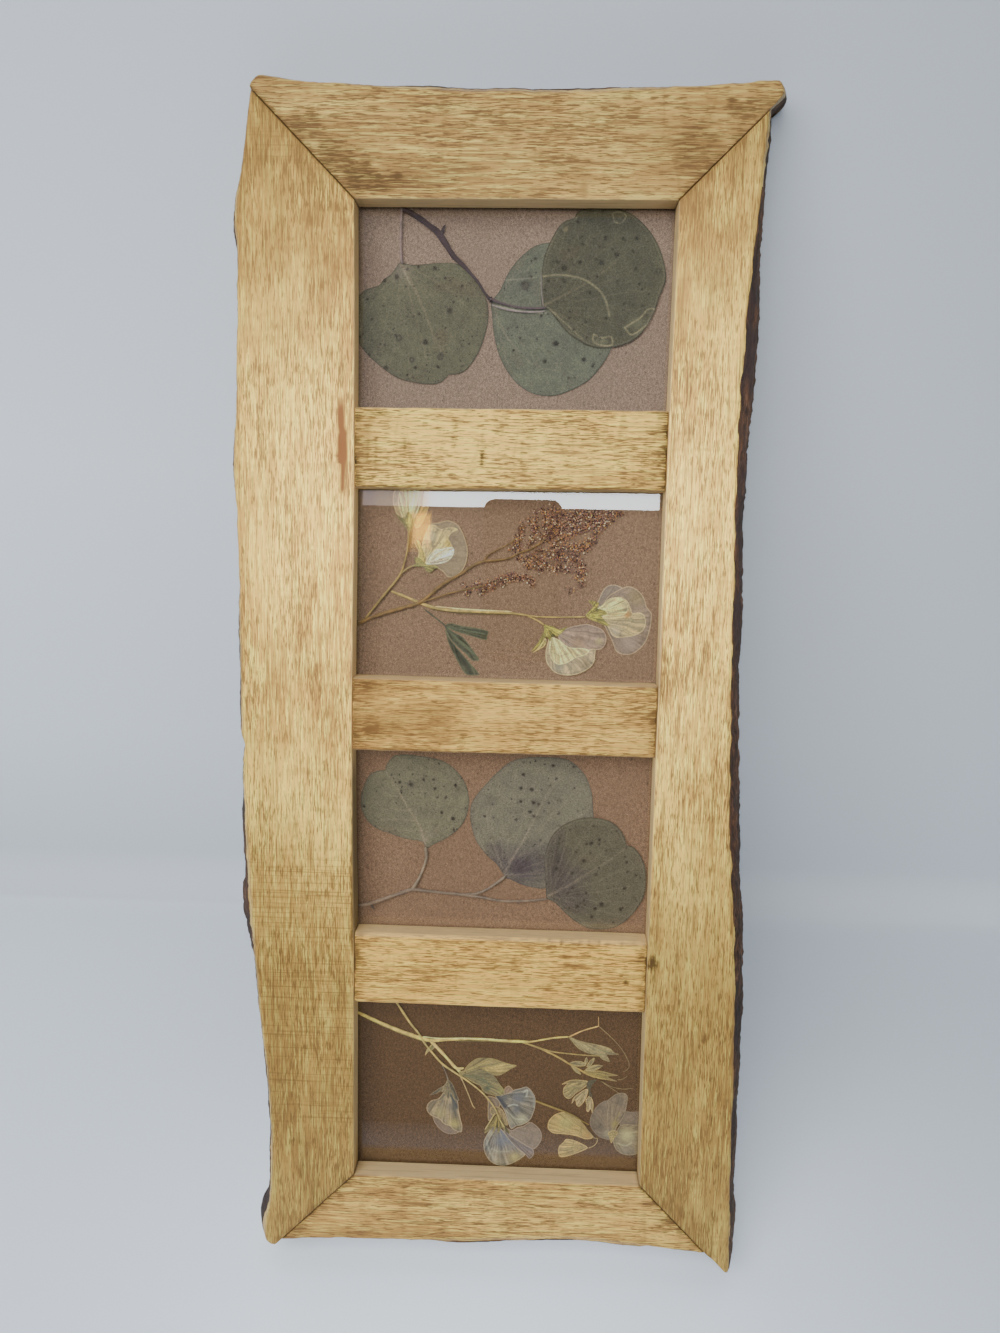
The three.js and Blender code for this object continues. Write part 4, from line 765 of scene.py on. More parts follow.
def member(name, inner, outer, mat, rebate, bark_style):
    """A live-edge frame member. rebate is ("x" or "z", value): where the glass rebate's wall stands."""
    step = 1.25
    O = catmull(np.array(outer, float), step)
    I0 = catmull(np.array(inner, float), 3.0)
    # finer stations beside both mitres
    seg = np.hypot(*np.diff(O[:, :2], axis=0).T)
    s = np.concatenate([[0], np.cumsum(seg)])
    total = s[-1]
    extra = np.array([0.25, 0.6])
    sn = np.unique(np.round(np.concatenate([s, extra, total - extra]), 4))
    O = np.stack([np.interp(sn, s, O[:, k]) for k in range(4)], 1)
    s = sn
    si = np.concatenate([[0], np.cumsum(np.hypot(*np.diff(I0, axis=0).T))])
    I = np.stack([np.interp(s / total * si[-1], si, I0[:, k]) for k in range(2)], 1)
    n = len(s)
    fade = smoothstep(0, 3.0, s) * smoothstep(0, 3.0, total - s)
    T = np.gradient(O[:, :2], axis=0)
    T /= np.maximum(np.hypot(*T.T), 1e-9)[:, None]
    nrm = np.stack([T[:, 1], -T[:, 0]], 1)
    out_dir = O[:, :2] - I
    flip = np.sign((nrm * out_dir).sum(1))
    nrm = nrm * flip[:, None]
    wob = (0.22 * noise(s / 6.0, seed=5) + 0.12 * noise(s / 2.1, seed=6)) * fade
    Of = O[:, :2] + nrm * wob[:, None]
    W = np.hypot(*(Of - I).T)
    e = (Of - I) / W[:, None]

    cols = []  # each: (n, 3) x, d, z plus masks
    def col(x, d, z, bark=0.0, dull=0.0, front=False):
        z = np.broadcast_to(z, n).astype(float)
        x = np.broadcast_to(x, n).astype(float)
        cols.append((x, np.broadcast_to(d, n).astype(float), z, np.broadcast_to(bark, n).astype(float), np.broadcast_to(dull, n).astype(float), front))

    end = np.minimum(s, total - s)
    sink = 0.28 * np.exp(-end / 0.35)
    # inner wall, from the lip's back edge forward
    for d in (LIP, 9.0, 6.5, 4.0, 2.0, 1.0):
        j = 0.10 * noise(s / 9.0, d / 3.0, seed=21) * (1 if d < LIP else 0)
        col(I[:, 0] + e[:, 0] * j, d, I[:, 1] + e[:, 1] * j, 0, 0.75)
    for u, d, dl in ((0.06, 0.55, 0.5), (0.28, 0.18, 0.2), (0.75, 0.03, 0)):
        col(I[:, 0] + e[:, 0] * u, d + sink, I[:, 1] + e[:, 1] * u, 0, dl, True)
    m = 34
    for k in range(1, m):
        t = k / m
        u = 0.75 + (W - 0.75 - 0.9) * t
        x, z = I[:, 0] + e[:, 0] * u, I[:, 1] + e[:, 1] * u
        und = 0.07 * noise(x / 17.0, z / 17.0, seed=41) + 0.03 * noise(x / 5, z / 5, seed=42)
        col(x, np.maximum(und, -0.08) + 0.08 + sink, z, 0, 0, True)
    for back, d in ((0.9, 0.06), (0.4, 0.2), (0.12, 0.42)):
        col(Of[:, 0] - e[:, 0] * back, d + sink * 0.6, Of[:, 1] - e[:, 1] * back, 0.0, 0, True)
    # live edge
    DEP = [0, 1.5, 5, 10, 16, THICK]
    rim_from = np.zeros(n)
    if bark_style == "bottom":
        rim_from = smoothstep(-32, -22, O[:, 0]) * (1 - smoothstep(70, 78, O[:, 0]))
    rings = [0.9, 1.8, 2.8, 4, 5.4, 7, 8.6, 10.3, 12, 13.8, 15.6, 17.3, 18.8, 20.0, 20.7]
    for d in rings:
        f = np.interp(d, DEP, [0, 0.14, 0.42, 0.75, 1, 0.97])
        fr = np.interp(d, DEP, [0, 0.52, 0.68, 0.85, 1, 0.97])
        f = f * (1 - rim_from) + fr * rim_from
        amp = min(1, d / 3.0) * (1 if d < 19.5 else 0.4)
        rough = 0.55 * fbm(s / 2.6, d / 3.2, seed=51) + 0.45 * noise(s / 11.0, d / 6.0, seed=52) + 0.22 * noise(s / 1.3, d / 1.4, seed=53)
        strong = {"right": 1.0, "left": 0.55, "top": 0.35, "bottom": 0.5}[bark_style]
        if bark_style == "left":
            strong = strong + 0.7 * (smoothstep(-352, -340, O[:, 1]) * (1 - smoothstep(-318, -306, O[:, 1])))
        disp = rough * amp * strong * fade
        x = Of[:, 0] + O[:, 2] * f + nrm[:, 0] * disp
        z = Of[:, 1] + O[:, 3] * f + nrm[:, 1] * disp
        if bark_style == "right":
            bark = smoothstep(16, 4, O[:, 1]) * 1.0 * smoothstep(-505, -495, O[:, 1]) + 0.35
            bark = bark * smoothstep(0.3, 1.6, d + 0.8 * noise(s / 9.0, seed=61))
            bark = np.where(O[:, 1] > 6, 0.75 * smoothstep(1.5, 5.0, d), bark)
        elif bark_style == "left":
            bark = np.full(n, 0.72) * smoothstep(1.0, 4.0, d + 1.6 * noise(s / 14.0, seed=62))
            bark = np.where(O[:, 1] < -492, 0.2, bark)
        elif bark_style == "top":
            bark = np.full(n, 0.85) * smoothstep(2.4, 6.0, d + 1.5 * noise(s / 12.0, seed=63))
            bark = np.where((O[:, 0] < -108) | (O[:, 0] > 108), bark * 0.75, bark)
        else:
            bark = np.full(n, 0.8) * smoothstep(1.6, 4.5, d + 1.2 * noise(s / 10.0, seed=64) + 2.5 * rim_from)
        col(x, d, z, bark, 0.0)
    # back
    f = 0.97
    Ob = Of + O[:, 2:4] * f
    eb = Ob - I
    Wb = np.hypot(*eb.T)
    eb = eb / Wb[:, None]
    col(Ob[:, 0] - eb[:, 0] * 0.5, THICK, Ob[:, 1] - eb[:, 1] * 0.5, 0.2, 0.35)
    axis, val = rebate
    if axis == "x":
        ur = (val - I[:, 0]) / np.where(np.abs(eb[:, 0]) < 1e-6, 1e-6, eb[:, 0])
    else:
        ur = (val - I[:, 1]) / np.where(np.abs(eb[:, 1]) < 1e-6, 1e-6, eb[:, 1])
    for t in (0.25, 0.5, 0.75):
        u = ur + (Wb - 0.5 - ur) * (1 - t)
        col(I[:, 0] + eb[:, 0] * u, THICK, I[:, 1] + eb[:, 1] * u, 0, 0.35)
    col(I[:, 0] + eb[:, 0] * ur, THICK, I[:, 1] + eb[:, 1] * ur, 0, 0.5)
    col(I[:, 0] + eb[:, 0] * ur, 16.0, I[:, 1] + eb[:, 1] * ur, 0, 0.7)
    col(I[:, 0] + eb[:, 0] * ur, LIP, I[:, 1] + eb[:, 1] * ur, 0, 0.7)
    k = len(cols)
    V = np.stack([np.stack([c[0], c[1], c[2]], 1) for c in cols], 1)  # n, k, 3
    bark = np.stack([c[3] for c in cols], 1)
    dull = np.stack([c[4] for c in cols], 1)
    st, wm, sw = stains_and_shade(V[:, :, [0, 2]].reshape(-1, 2), name)
    on_front = np.array([1.0 if c[5] else 0.0 for c in cols])
    mask = np.broadcast_to(on_front, (n, k)).ravel()
    st = st * (0.7 + 0.3 * mask)
    wm = wm * (0.3 + 0.7 * mask)
    F = []
    for i in range(n - 1):
        a, b = i * k, (i + 1) * k
        for j in range(k):
            q = (j + 1) % k
            F.append((a + j, a + q, b + q, b + j))
    F.append(tuple(range(k)))
    F.append(tuple((n - 1) * k + j for j in reversed(range(k))))
    dull = dull.ravel().copy()
    return make(name + "_wood", pts(V.reshape(-1, 3)), F, mat, name,
                {"stain_and_shade": st, "warm": wm, "saw": sw * mask, "bark": bark.ravel(), "dull": dull}, True, 38)


def cross_rail(name, xl, xr, tl, tr, bl, br, top_end, bottom_end, mat, chamfer, seed):
    """A bar between the stiles; its back is narrower and runs into the stiles' rebates."""
    n = 118
    X = np.linspace(xl, xr, n)
    X = np.unique(np.concatenate([X, [xl + 0.25, xl + 0.6, xr - 0.25, xr - 0.6]]))
    n = len(X)
    t = (X - xl) / (xr - xl)
    zt = tl + (tr - tl) * t + 0.10 * noise(X / 7.0, seed=seed) * smoothstep(0, 2, X - xl) * smoothstep(0, 2, xr - X)
    zb = bl + (br - bl) * t + 0.10 * noise(X / 7.0, seed=seed + 1) * smoothstep(0, 2, X - xl) * smoothstep(0, 2, xr - X)
    sink = 0.3 * np.exp(-np.minimum(X - xl, xr - X) / 0.4)
    cols = []

    def col(d, z, dull=0.0, front=False):
        cols.append((X, np.broadcast_to(d, n).astype(float), np.broadcast_to(z, n).astype(float), np.full(n, dull), front))

    for d in (LIP, 8.5, 5.5, 3.0, 1.2 + chamfer * 0.4):
        col(d, zb, 0.7)
    for u, d, dl in ((0.07, 0.6, 0.5), (0.3, 0.2, 0.2), (0.8, 0.04, 0)):
        col(d + sink, zb + u, dl, True)
    m = 26
    for k in range(1, m):
        z = zb + 0.8 + (zt - zb - 1.6 - chamfer) * k / m
        und = 0.06 * noise(X / 15, z / 9, seed=seed + 3)
        col(und + 0.07 + sink, z, 0, True)
    if chamfer:
        col(0.08 + sink, zt - chamfer - 0.3, 0, True)
        col(0.5 + sink, zt - chamfer * 0.62, 0.3, True)
        col(1.2 + sink, zt - chamfer * 0.2, 0.35, True)
        col(1.8 + sink, zt, 0.5, True)
    else:
        for u, d, dl in ((0.8, 0.04, 0), (0.3, 0.2, 0.2), (0.07, 0.6, 0.5)):
            col(d + sink, zt - u, dl, True)
    for d in (3.0, 5.5, 8.5, LIP):
        col(d, zt, 0.7)
    col(LIP, top_end, 0.7)
    col(16, top_end, 0.7)
    col(THICK, top_end, 0.5)
    for k in (0.3, 0.6):
        col(THICK, top_end + (bottom_end - top_end) * k, 0.35)
    col(THICK, bottom_end, 0.5)
    col(16, bottom_end, 0.7)
    col(LIP, bottom_end, 0.7)
    k = len(cols)
    V = np.stack([np.stack([c[0], c[1], c[2]], 1) for c in cols], 1)
    P = V[:, :, [0, 2]].reshape(-1, 2)
    dull = np.stack([c[3] for c in cols], 1).ravel()
    mask = np.broadcast_to(np.array([1.0 if c[4] else 0.0 for c in cols]), (n, k)).ravel()
    st = np.zeros(len(P))
    wm = np.zeros(len(P))
    # ends where glue and stain gathered
    nz = fbm(P[:, 0] / 3.0, P[:, 1] / 2.2, seed=seed + 9)
    st = np.maximum(st, np.clip(np.exp(-(P[:, 0] - xl) / 4.0) * (0.66 + 0.8 * nz), 0, 1))
    st = np.maximum(st, np.clip(np.exp(-(xr - P[:, 0]) / 4.0) * (0.62 + 0.8 * nz), 0, 1))
    def mark(x, z0, z1, w_, a):
        xx = x + 0.4 * noise(P[:, 1] / 1.7, seed=int(abs(x)) + 7)
        g = np.exp(-(((P[:, 0] - xx) / w_) ** 2)) * smoothstep(z0 - 1.0, z0 + 0.6, P[:, 1]) * (1 - smoothstep(z1 - 0.6, z1 + 1.0, P[:, 1]))
        return a * g * (0.75 + 0.5 * noise(P[:, 0] / 0.9, P[:, 1] / 0.7, seed=41))

    if name == "cross_rail_upper":
        for x, z0, z1, w_, a in ((-47, -106, -101, 0.7, 0.6), (-12, -108, -98, 0.6, 0.6), (-12.4, -112.5, -107, 1.0, 0.95), (-25, -105, -92, 1.0, 0.4), (38, -103, -97, 0.7, 0.5),
                                 (63, -105, -95, 0.9, 0.5), (66, -114, -103, 1.0, 0.55), (-64, -112, -96, 1.0, 0.5), (-60, -116, -100, 0.8, 0.4), (60, -112, -100, 1.2, 0.45)):
            st = np.maximum(st, mark(x, z0, z1, w_, a))
        # a dark line along the rail's lower edge: painted shade
        st = np.maximum(st, 0.8 * np.exp(-((P[:, 1] + 123.0) / 0.7) ** 2))
        st = np.maximum(st, blob(P, -62, -90, 9, 3.2, 0.55, 3, 0.9))
        wm = np.maximum(wm, blob(P, -66, -104, 7, 14, 0.4, 4, 0.8))
    if name == "cross_rail_middle":
        rr = np.hypot((P[:, 0] + 36) / 1.5, P[:, 1] + 262) + 1.2 * fbm(P[:, 0] / 14, P[:, 1] / 14, seed=19)
        arc = np.clip(np.sin(rr * 1.35), 0, 1) ** 4 * smoothstep(-62, -50, P[:, 0]) * (1 - smoothstep(-22, -8, P[:, 0]))
        wm = np.maximum(wm, 0.95 * arc)
        wm = np.maximum(wm, 0.28)
        q = blob(P, -62, -232, 6, 7, 0.55, 17, 0.8)
        st = np.maximum(st, q)
        # a dark line along the rail's lower edge: painted shade
        st = np.maximum(st, 0.7 * np.exp(-((P[:, 1] + 243.6) / 0.7) ** 2))
        wm = np.maximum(wm, blob(P, -48, -228, 30, 14, 0.75, 5, 0.8))
        wm = np.maximum(wm, blob(P, -10, -236, 30, 9, 0.5, 6, 0.8))
        st = np.maximum(st, blob(P, -66, -213, 8, 3, 0.55, 7, 0.8))
        st = np.maximum(st, blob(P, -55, -231, 8, 2.0, 0.30, 8, 0.8))
    if name == "cross_rail_lower":
        st = np.maximum(st, blob(P, 60, -353, 1.5, 1.3, 0.95, 33, 0.3))
        for x in (18, 23.5, 29, 34, 37.5, 42, 46.5, 51, 57):
            st = np.maximum(st, mark(x, -335.2, -333.2, 0.8, 0.6))
        st = np.maximum(st, 0.35 * np.exp(-((P[:, 1] + 335.4) / 0.6) ** 2) * smoothstep(-10, 20, P[:, 0]))
        wm = np.maximum(wm, 0.22)
        wm = np.maximum(wm, blob(P, 0, -356, 60, 10, 0.35, 9, 0.8))
        st = np.maximum(st, blob(P, 66, -340, 3, 5, 0.5, 10, 0.7))
    F = []
    for i in range(n - 1):
        a, b = i * k, (i + 1) * k
        for j in range(k):
            q = (j + 1) % k
            F.append((a + j, a + q, b + q, b + j))
    F.append(tuple(range(k)))
    F.append(tuple((n - 1) * k + j for j in reversed(range(k))))
    V = V.reshape(-1, 3)
    # the tongues behind the stiles' lips
    base = len(V)
    extra = []
    for x0, x1 in ((-76, xl + 1.0), (xr - 1.0, 76)):
        q = base + len(extra)
        for x in (x0, x1):
            for d in (LIP + 0.3, THICK - 0.05):
                for z in (bottom_end, top_end):
                    extra.append((x, d, z))
        F += [(q, q + 1, q + 3, q + 2), (q + 4, q + 6, q + 7, q + 5), (q, q + 2, q + 6, q + 4), (q + 1, q + 5, q + 7, q + 3), (q, q + 4, q + 5, q + 1), (q + 2, q + 3, q + 7, q + 6)]
    V = np.concatenate([V, np.array(extra)])
    z8 = np.zeros(len(extra))
    one = np.full(len(extra), 0.5)
    return make(name + "_wood", pts(V), F, mat, name,
                {"stain_and_shade": np.concatenate([st * mask, z8]), "warm": np.concatenate([wm * mask, z8]), "saw": np.zeros(len(V)),
                 "bark": np.zeros(len(V)), "dull": np.concatenate([dull, one])}, True, 38)


TONES.update({"wood_top": -0.015, "wood_left": 0.03, "wood_right": 0.035, "wood_bottom": 0.01, "wood_cross_1": 0.115, "wood_cross_2": 0.075, "wood_cross_3": 0.135})
m_top = wood_material("wood_top", "x", 1.0)
m_left = wood_material("wood_left", "z", 2.0)
m_right = wood_material("wood_right", "z", 3.0)
m_bottom = wood_material("wood_bottom", "x", 4.0)
member("top_rail", TOP_INNER, TOP_OUTER, m_top, ("z", 7.8), "top")
member("left_stile", LEFT_INNER, LEFT_OUTER, m_left, ("x", -76.3), "left")
member("right_stile", RIGHT_INNER, RIGHT_OUTER, m_right, ("x", 76.3), "right")
member("bottom_rail", BOTTOM_INNER, BOTTOM_OUTER, m_bottom, ("z", -464.4), "bottom")
cross_rail("cross_rail_upper", -69.7, 69.4, -88.2, -87.9, -123.7, -123.0, -95.7, -115.8, wood_material("wood_cross_1", "x", 5.0, fleck=1.05), 0, 71)
cross_rail("cross_rail_middle", -70.6, 69.3, -209.9, -210.9, -243.9, -243.9, -218.0, -236.3, wood_material("wood_cross_2", "x", 6.0, fleck=1.0), 0, 81)
cross_rail("cross_rail_lower", -69.6, 69.1, -332.6, -333.0, -367.2, -367.7, -340.4, -359.9, wood_material("wood_cross_3", "x", 7.0, fleck=1.0), 1.6, 91)

# ---------------------------------------------------------------- glass, boards, metal: the CAD solids with their finish
glass, steel = glass_material(), steel_material()
boards = {k: board_material("hardboard_%d" % k, t) for k, t in ((1, (0.283, 0.187, 0.130)), (2, (0.282, 0.169, 0.100)), (3, (0.272, 0.155, 0.087)), (4, (0.130, 0.070, 0.032)))}
for name, ob in nodes.items():
    mat, sl = None, None
    if name.startswith("glass_"):
        mat, sl = glass, "glass"
    elif name.startswith("backing_board"):
        mat, sl = boards[int(name[-1])], "board"
    elif name.startswith(("retaining_point", "sawtooth", "hanger_nail")):
        mat, sl = steel, "steel"
    if mat:
        ob.data.materials.clear()
        ob.data.materials.append(mat)

# ---------------------------------------------------------------- eucalyptus leaves
def eu_leaf(name, outline, base, d, seed, rgb, veins, pale, spots, rings, tinge=(), edge_pale=0.0, gain=(1, 1, 1)):
    """A pressed round leaf. veins: list of (polyline, width, strength); pale: like veins, whitish lines;
    spots, rings: (x, z, r, strength); tinge: (x, z, rx, rz, rgb, amount)."""
    h = 0.42
    vs, fs, back = sheet_mesh(outline, h, seed, 0.6)
    O = catmull(outline, 1.0, closed=True)
    de = dist(vs, O, closed=True)[0]
    rel = 0.10 * fbm(vs[:, 0] / 9, vs[:, 1] / 9, seed=seed + 1) + 0.035 * fbm(vs[:, 0] / 2.2, vs[:, 1] / 2.2, seed=seed + 2)
    C = np.broadcast_to(np.asarray(rgb, float), (len(vs), 3)).copy()
    mott = fbm(vs[:, 0] / 6, vs[:, 1] / 6, seed=seed + 4)
    C *= (1 + 0.16 * mott)[:, None]
    C = C * (1 + 0.10 * fbm(vs[:, 0] / 1.4, vs[:, 1] / 1.4, seed=seed + 6, octaves=2))[:, None]
    brown = smoothstep(0.15, 0.7, fbm(vs[:, 0] / 11, vs[:, 1] / 11, seed=seed + 8))
    C = C * (1 - 0.25 * brown)[:, None] + np.array([0.16, 0.115, 0.07]) * (0.25 * brown)[:, None]
    for x, z, rx, rz, c, a in tinge:
        q = np.clip(1 - np.hypot((vs[:, 0] - x) / rx, (vs[:, 1] - z) / rz) + 0.25 * fbm(vs[:, 0] / 4, vs[:, 1] / 4, seed=seed + 9), 0, 1) * a
        C = C * (1 - q)[:, None] + np.asarray(c) * q[:, None]
    # side veins fan out from the base, curving to the margin
    b = np.asarray(base, float)
    ang = np.arctan2(vs[:, 1] - b[1], vs[:, 0] - b[0])
    rad = np.hypot(vs[:, 0] - b[0], vs[:, 1] - b[1])
    fan = np.abs(np.sin(ang * 17 + 0.8 * noise(rad / 12, ang * 2, seed=seed + 11)))
    fan = np.exp(-((fan * rad / 17 / 0.30) ** 2)) * smoothstep(5, 12, rad) * (1 - smoothstep(0.75, 1.0, rad / rad.max()))
    C = C * (1 - 0.16 * fan)[:, None] + np.array([0.34, 0.31, 0.25]) * (0.16 * fan)[:, None]
    # an intramarginal vein
    im = np.exp(-(((de - 2.6) / 0.35) ** 2)) * (0.5 + 0.5 * noise(ang * 3, seed=seed + 12))
    C = C * (1 - 0.14 * im)[:, None] + np.array([0.30, 0.29, 0.23]) * (0.14 * im)[:, None]
    for line, w, a in veins:
        q, t = dist(vs, catmull(np.asarray(line, float), 1.0))
        g = np.exp(-((q / (0.36 + 0.42 * w * (1 - t))) ** 2)) * min(a * 0.85, 0.62) * (1 - 0.45 * t) * (0.8 + 0.3 * noise(vs[:, 0] * 0.9, vs[:, 1] * 0.9, seed=seed + 15))
        C = C * (1 - g)[:, None] + np.array([0.36, 0.31, 0.25]) * g[:, None]
        rel = rel - 0.10 * g
    for line, w, a in pale:
        q, t = dist(vs, catmull(np.asarray(line, float), 1.0))
        g = np.exp(-((q / (0.85 * w)) ** 2)) * min(a * 1.6, 1.0) * (0.86 + 0.30 * noise(vs[:, 0] * 0.8, vs[:, 1] * 0.8, seed=seed + 16))
        C = C * (1 - g)[:, None] + np.array([0.37, 0.36, 0.295]) * g[:, None]
    for x, z, r, a in spots:
        q = np.hypot(vs[:, 0] - x, vs[:, 1] - z) + 0.25 * noise(vs[:, 0] * 1.7, vs[:, 1] * 1.7, seed=seed + 13)
        g = (1 - smoothstep(r * 0.7, r * 1.5, q)) * min(a * 1.3, 1.0)
        C = C * (1 - g)[:, None] + np.array([0.032, 0.027, 0.022]) * g[:, None]
        halo = (np.exp(-(((q - r * 1.7) / (0.6 * r)) ** 2))) * 0.12 * a
        C = C * (1 - halo)[:, None] + np.array([0.07, 0.07, 0.06]) * halo[:, None]
        rel = rel - 0.05 * g
    for x, z, r, a in rings:
        q = np.hypot(vs[:, 0] - x, vs[:, 1] - z)
        g = np.exp(-(((q - r) / 0.40) ** 2)) * min(a * 1.5, 0.9)
        C = C * (1 - g)[:, None] + np.array([0.05, 0.05, 0.045]) * g[:, None]
    # margins: a thin dark line, faintly pale inside it
    g = np.exp(-((de / 0.38) ** 2)) * 0.62
    C = C * (1 - g)[:, None] + np.array([0.055, 0.052, 0.04]) * g[:, None]
    if edge_pale:
        g = np.exp(-(((de - 0.9) / 0.35) ** 2)) * edge_pale
        C = C * (1 - g)[:, None] + np.array([0.40, 0.39, 0.33]) * g[:, None]
    V, F, idx = sheet_solid(vs, fs, back, d - 0.09 + rel, d + 0.12 + rel)
    return make(name + "_leaf", pts(V), F, m_leaf, name, {"Col": np.clip(np.concatenate([C, C[idx] * 0.8]), 0.004, 1)}, True, 60, tuple(1.13 * k for k in gain))


m_leaf = leaf_material("leaf_tissue")
m_twig = painted("twig_bark", 0.72, (1200, 0.12), bump=0.3)
m_green = painted("dry_green", 0.68, (1100, 0.12), bump=0.2)
m_petal = painted("dry_petal", 0.55, (1300, 0.10), bump=0.25)
m_plume = painted("dry_florets", 0.85, (2500, 0.20))

rng = np.random.default_rng(7)


def scatter(outline, count, seed, rmin=0.25, rmax=0.55, a=(0.35, 0.85)):
    """Small extra spots inside an outline."""
    r = np.random.default_rng(seed)
    O = np.asarray(outline, float)
    P = r.uniform(O.min(0), O.max(0), (count * 3, 2))
    P = P[inside(P, O)][:count]
    return [(x, z, r.uniform(rmin, rmax), r.uniform(*a)) for x, z in P]


LEAF_1A = [(-51, -22.2), (-50, -22.9), (-47, -23.5), (-43, -23.5), (-38, -23), (-33, -22.7), (-28, -22.7), (-25, -23.3), (-22, -25.3), (-19, -28), (-16, -32), (-13.5, -36), (-12, -40), (-11.5, -45), (-12, -50), (-13.5, -56), (-16, -62), (-20, -68), (-23, -70.5), (-26, -71.3), (-29, -71.5), (-31, -73.5), (-33, -75), (-36, -75.8), (-41, -75.7), (-46, -75), (-50, -74.2), (-54, -72.5), (-58, -70), (-62, -67), (-66, -63.5), (-69, -60), (-71.5, -56), (-73, -50), (-73, -44), (-71, -38.5), (-68, -35), (-64, -33.5), (-61, -32.5), (-59, -30), (-56, -28), (-54, -25.5), (-52.5, -23.4)]
LEAF_1B = [(-10.4, -39.6), (-9, -37.5), (-7, -35), (-5, -31), (-3, -27), (0, -22.5), (4, -18.5), (8, -15.5), (12, -14), (16, -13.5), (22, -14), (28, -16), (34, -20), (40, -27), (44, -35), (46, -43), (46.5, -50), (45.5, -55), (44.5, -58.5), (43, -62), (40.5, -66), (37.5, -70), (34, -73.5), (29, -76.5), (24, -78.7), (20, -80), (16, -80.3), (11, -79.8), (6, -77.8), (1, -74), (-3, -69), (-6, -63.5), (-8, -57.5), (-9.3, -51), (-9.9, -45)]
LEAF_1C = [(12.5, -41), (12.2, -37), (12, -31), (12.2, -26), (13, -20), (15, -14.5), (17, -10.5), (19.5, -6.5), (22, -4.5), (26, -3), (27.5, -0.5), (32, 1), (38, 1.8), (45, 1), (50, -0.5), (54, -3), (58, -6.5), (61, -10), (64, -15), (66, -20), (67.5, -26), (67.5, -30), (66, -34), (64.5, -38), (63.5, -42), (61.5, -46.5), (59, -50.5), (56, -54), (52, -56.5), (48, -58), (44.5, -58.7), (39, -59), (34, -58), (29, -55.5), (24, -52), (20, -47.5), (16.5, -43.5), (14.5, -42)]
LEAF_3A = [(-37.5, -294.6), (-39, -291.5), (-42, -290.8), (-46, -290.3), (-51, -289), (-56, -287.3), (-60, -286), (-64, -283.5), (-67, -280), (-69, -275), (-69, -269), (-67, -262.5), (-64.5, -258.5), (-61, -256.8), (-57.5, -256.2), (-57, -254), (-55, -251), (-52.5, -249), (-47, -248.5), (-41, -249), (-34, -250), (-29, -251.5), (-24.5, -254.5), (-20.5, -259), (-18, -264), (-17, -269), (-17.2, -274), (-18.5, -279), (-21, -283.5), (-25, -287.3), (-29, -290), (-33, -292), (-35.5, -293.6)]
LEAF_3B = [(0.8, -307.3), (-1.5, -303.5), (-4, -300.5), (-8, -297), (-12, -292), (-14.5, -287), (-16, -280), (-16.2, -274), (-15, -270), (-12, -265.5), (-9, -262), (-5, -257.5), (-1, -253.5), (3, -250.5), (8, -248.8), (13, -248.2), (20, -248), (26, -248.2), (31, -249.5), (35, -252.5), (38.5, -256.5), (40.5, -261), (42, -266), (42.5, -271), (43, -277), (42.5, -284), (40, -292), (36, -299), (31, -305), (26, -309.5), (22, -312.2), (19, -313), (13, -312.3), (8, -310.8), (4, -309), (2, -308.4)]
LEAF_3C = [(21.5, -317.5), (21, -313), (20.5, -307), (20, -301), (20.5, -294), (23, -287), (27, -282), (32, -279), (37, -277.3), (42, -276.8), (47, -277.3), (52, -279), (56, -282.5), (58, -286), (59.5, -290), (62, -290.5), (65, -293.5), (67.5, -298), (69, -304), (69, -311), (68, -316), (66, -320), (63, -324.5), (59, -328.5), (54, -331.5), (48, -332.5), (42, -332), (36, -329), (31, -325), (27.5, -321.5), (25, -319.3)]

GREEN = (0.170, 0.172, 0.118)
eu_leaf("eucalyptus_leaf_1a", LEAF_1A, (-51, -22), 15.0, 101, (0.158, 0.165, 0.108),
        [([(-51, -23), (-43, -38), (-38, -50), (-36, -57)], 0.7, 0.6), ([(-51, -23), (-47, -38), (-44, -50)], 0.5, 0.25), ([(-50, -24), (-38, -36), (-30, -44)], 0.5, 0.22), ([(-51, -24), (-52, -40), (-50, -54)], 0.5, 0.2), ([(-49, -24), (-34, -31), (-24, -38)], 0.4, 0.2)],
        [([(-51, -22), (-50, -26), (-47, -32)], 0.5, 0.4)],
        [(-36, -25, 0.8, 0.8), (-53, -29, 0.9, 0.6), (-43, -45, 0.6, 0.7), (-40, -57.3, 1.0, 0.95), (-34, -68, 0.6, 0.8), (-44.5, -68.5, 0.6, 0.8), (-58, -69, 1.0, 0.6), (-59, -30.5, 0.9, 0.7), (-29, -43.5, 0.8, 0.9), (-65.5, -63, 0.5, 0.6), (-45.5, -46, 0.5, 0.5), (-21, -38, 0.4, 0.6), (-26, -37, 0.4, 0.6)] + scatter(LEAF_1A, 46, 5),
        [(-29, -43.5, 1.0, 0.5), (-52, -55.5, 1.1, 0.6), (-46, -65, 0.9, 0.6), (-33, -63.5, 1.2, 0.6)],
        [(-51, -26, 7, 8, (0.25, 0.24, 0.21), 0.7)], gain=(1.25, 1.01, 0.90))
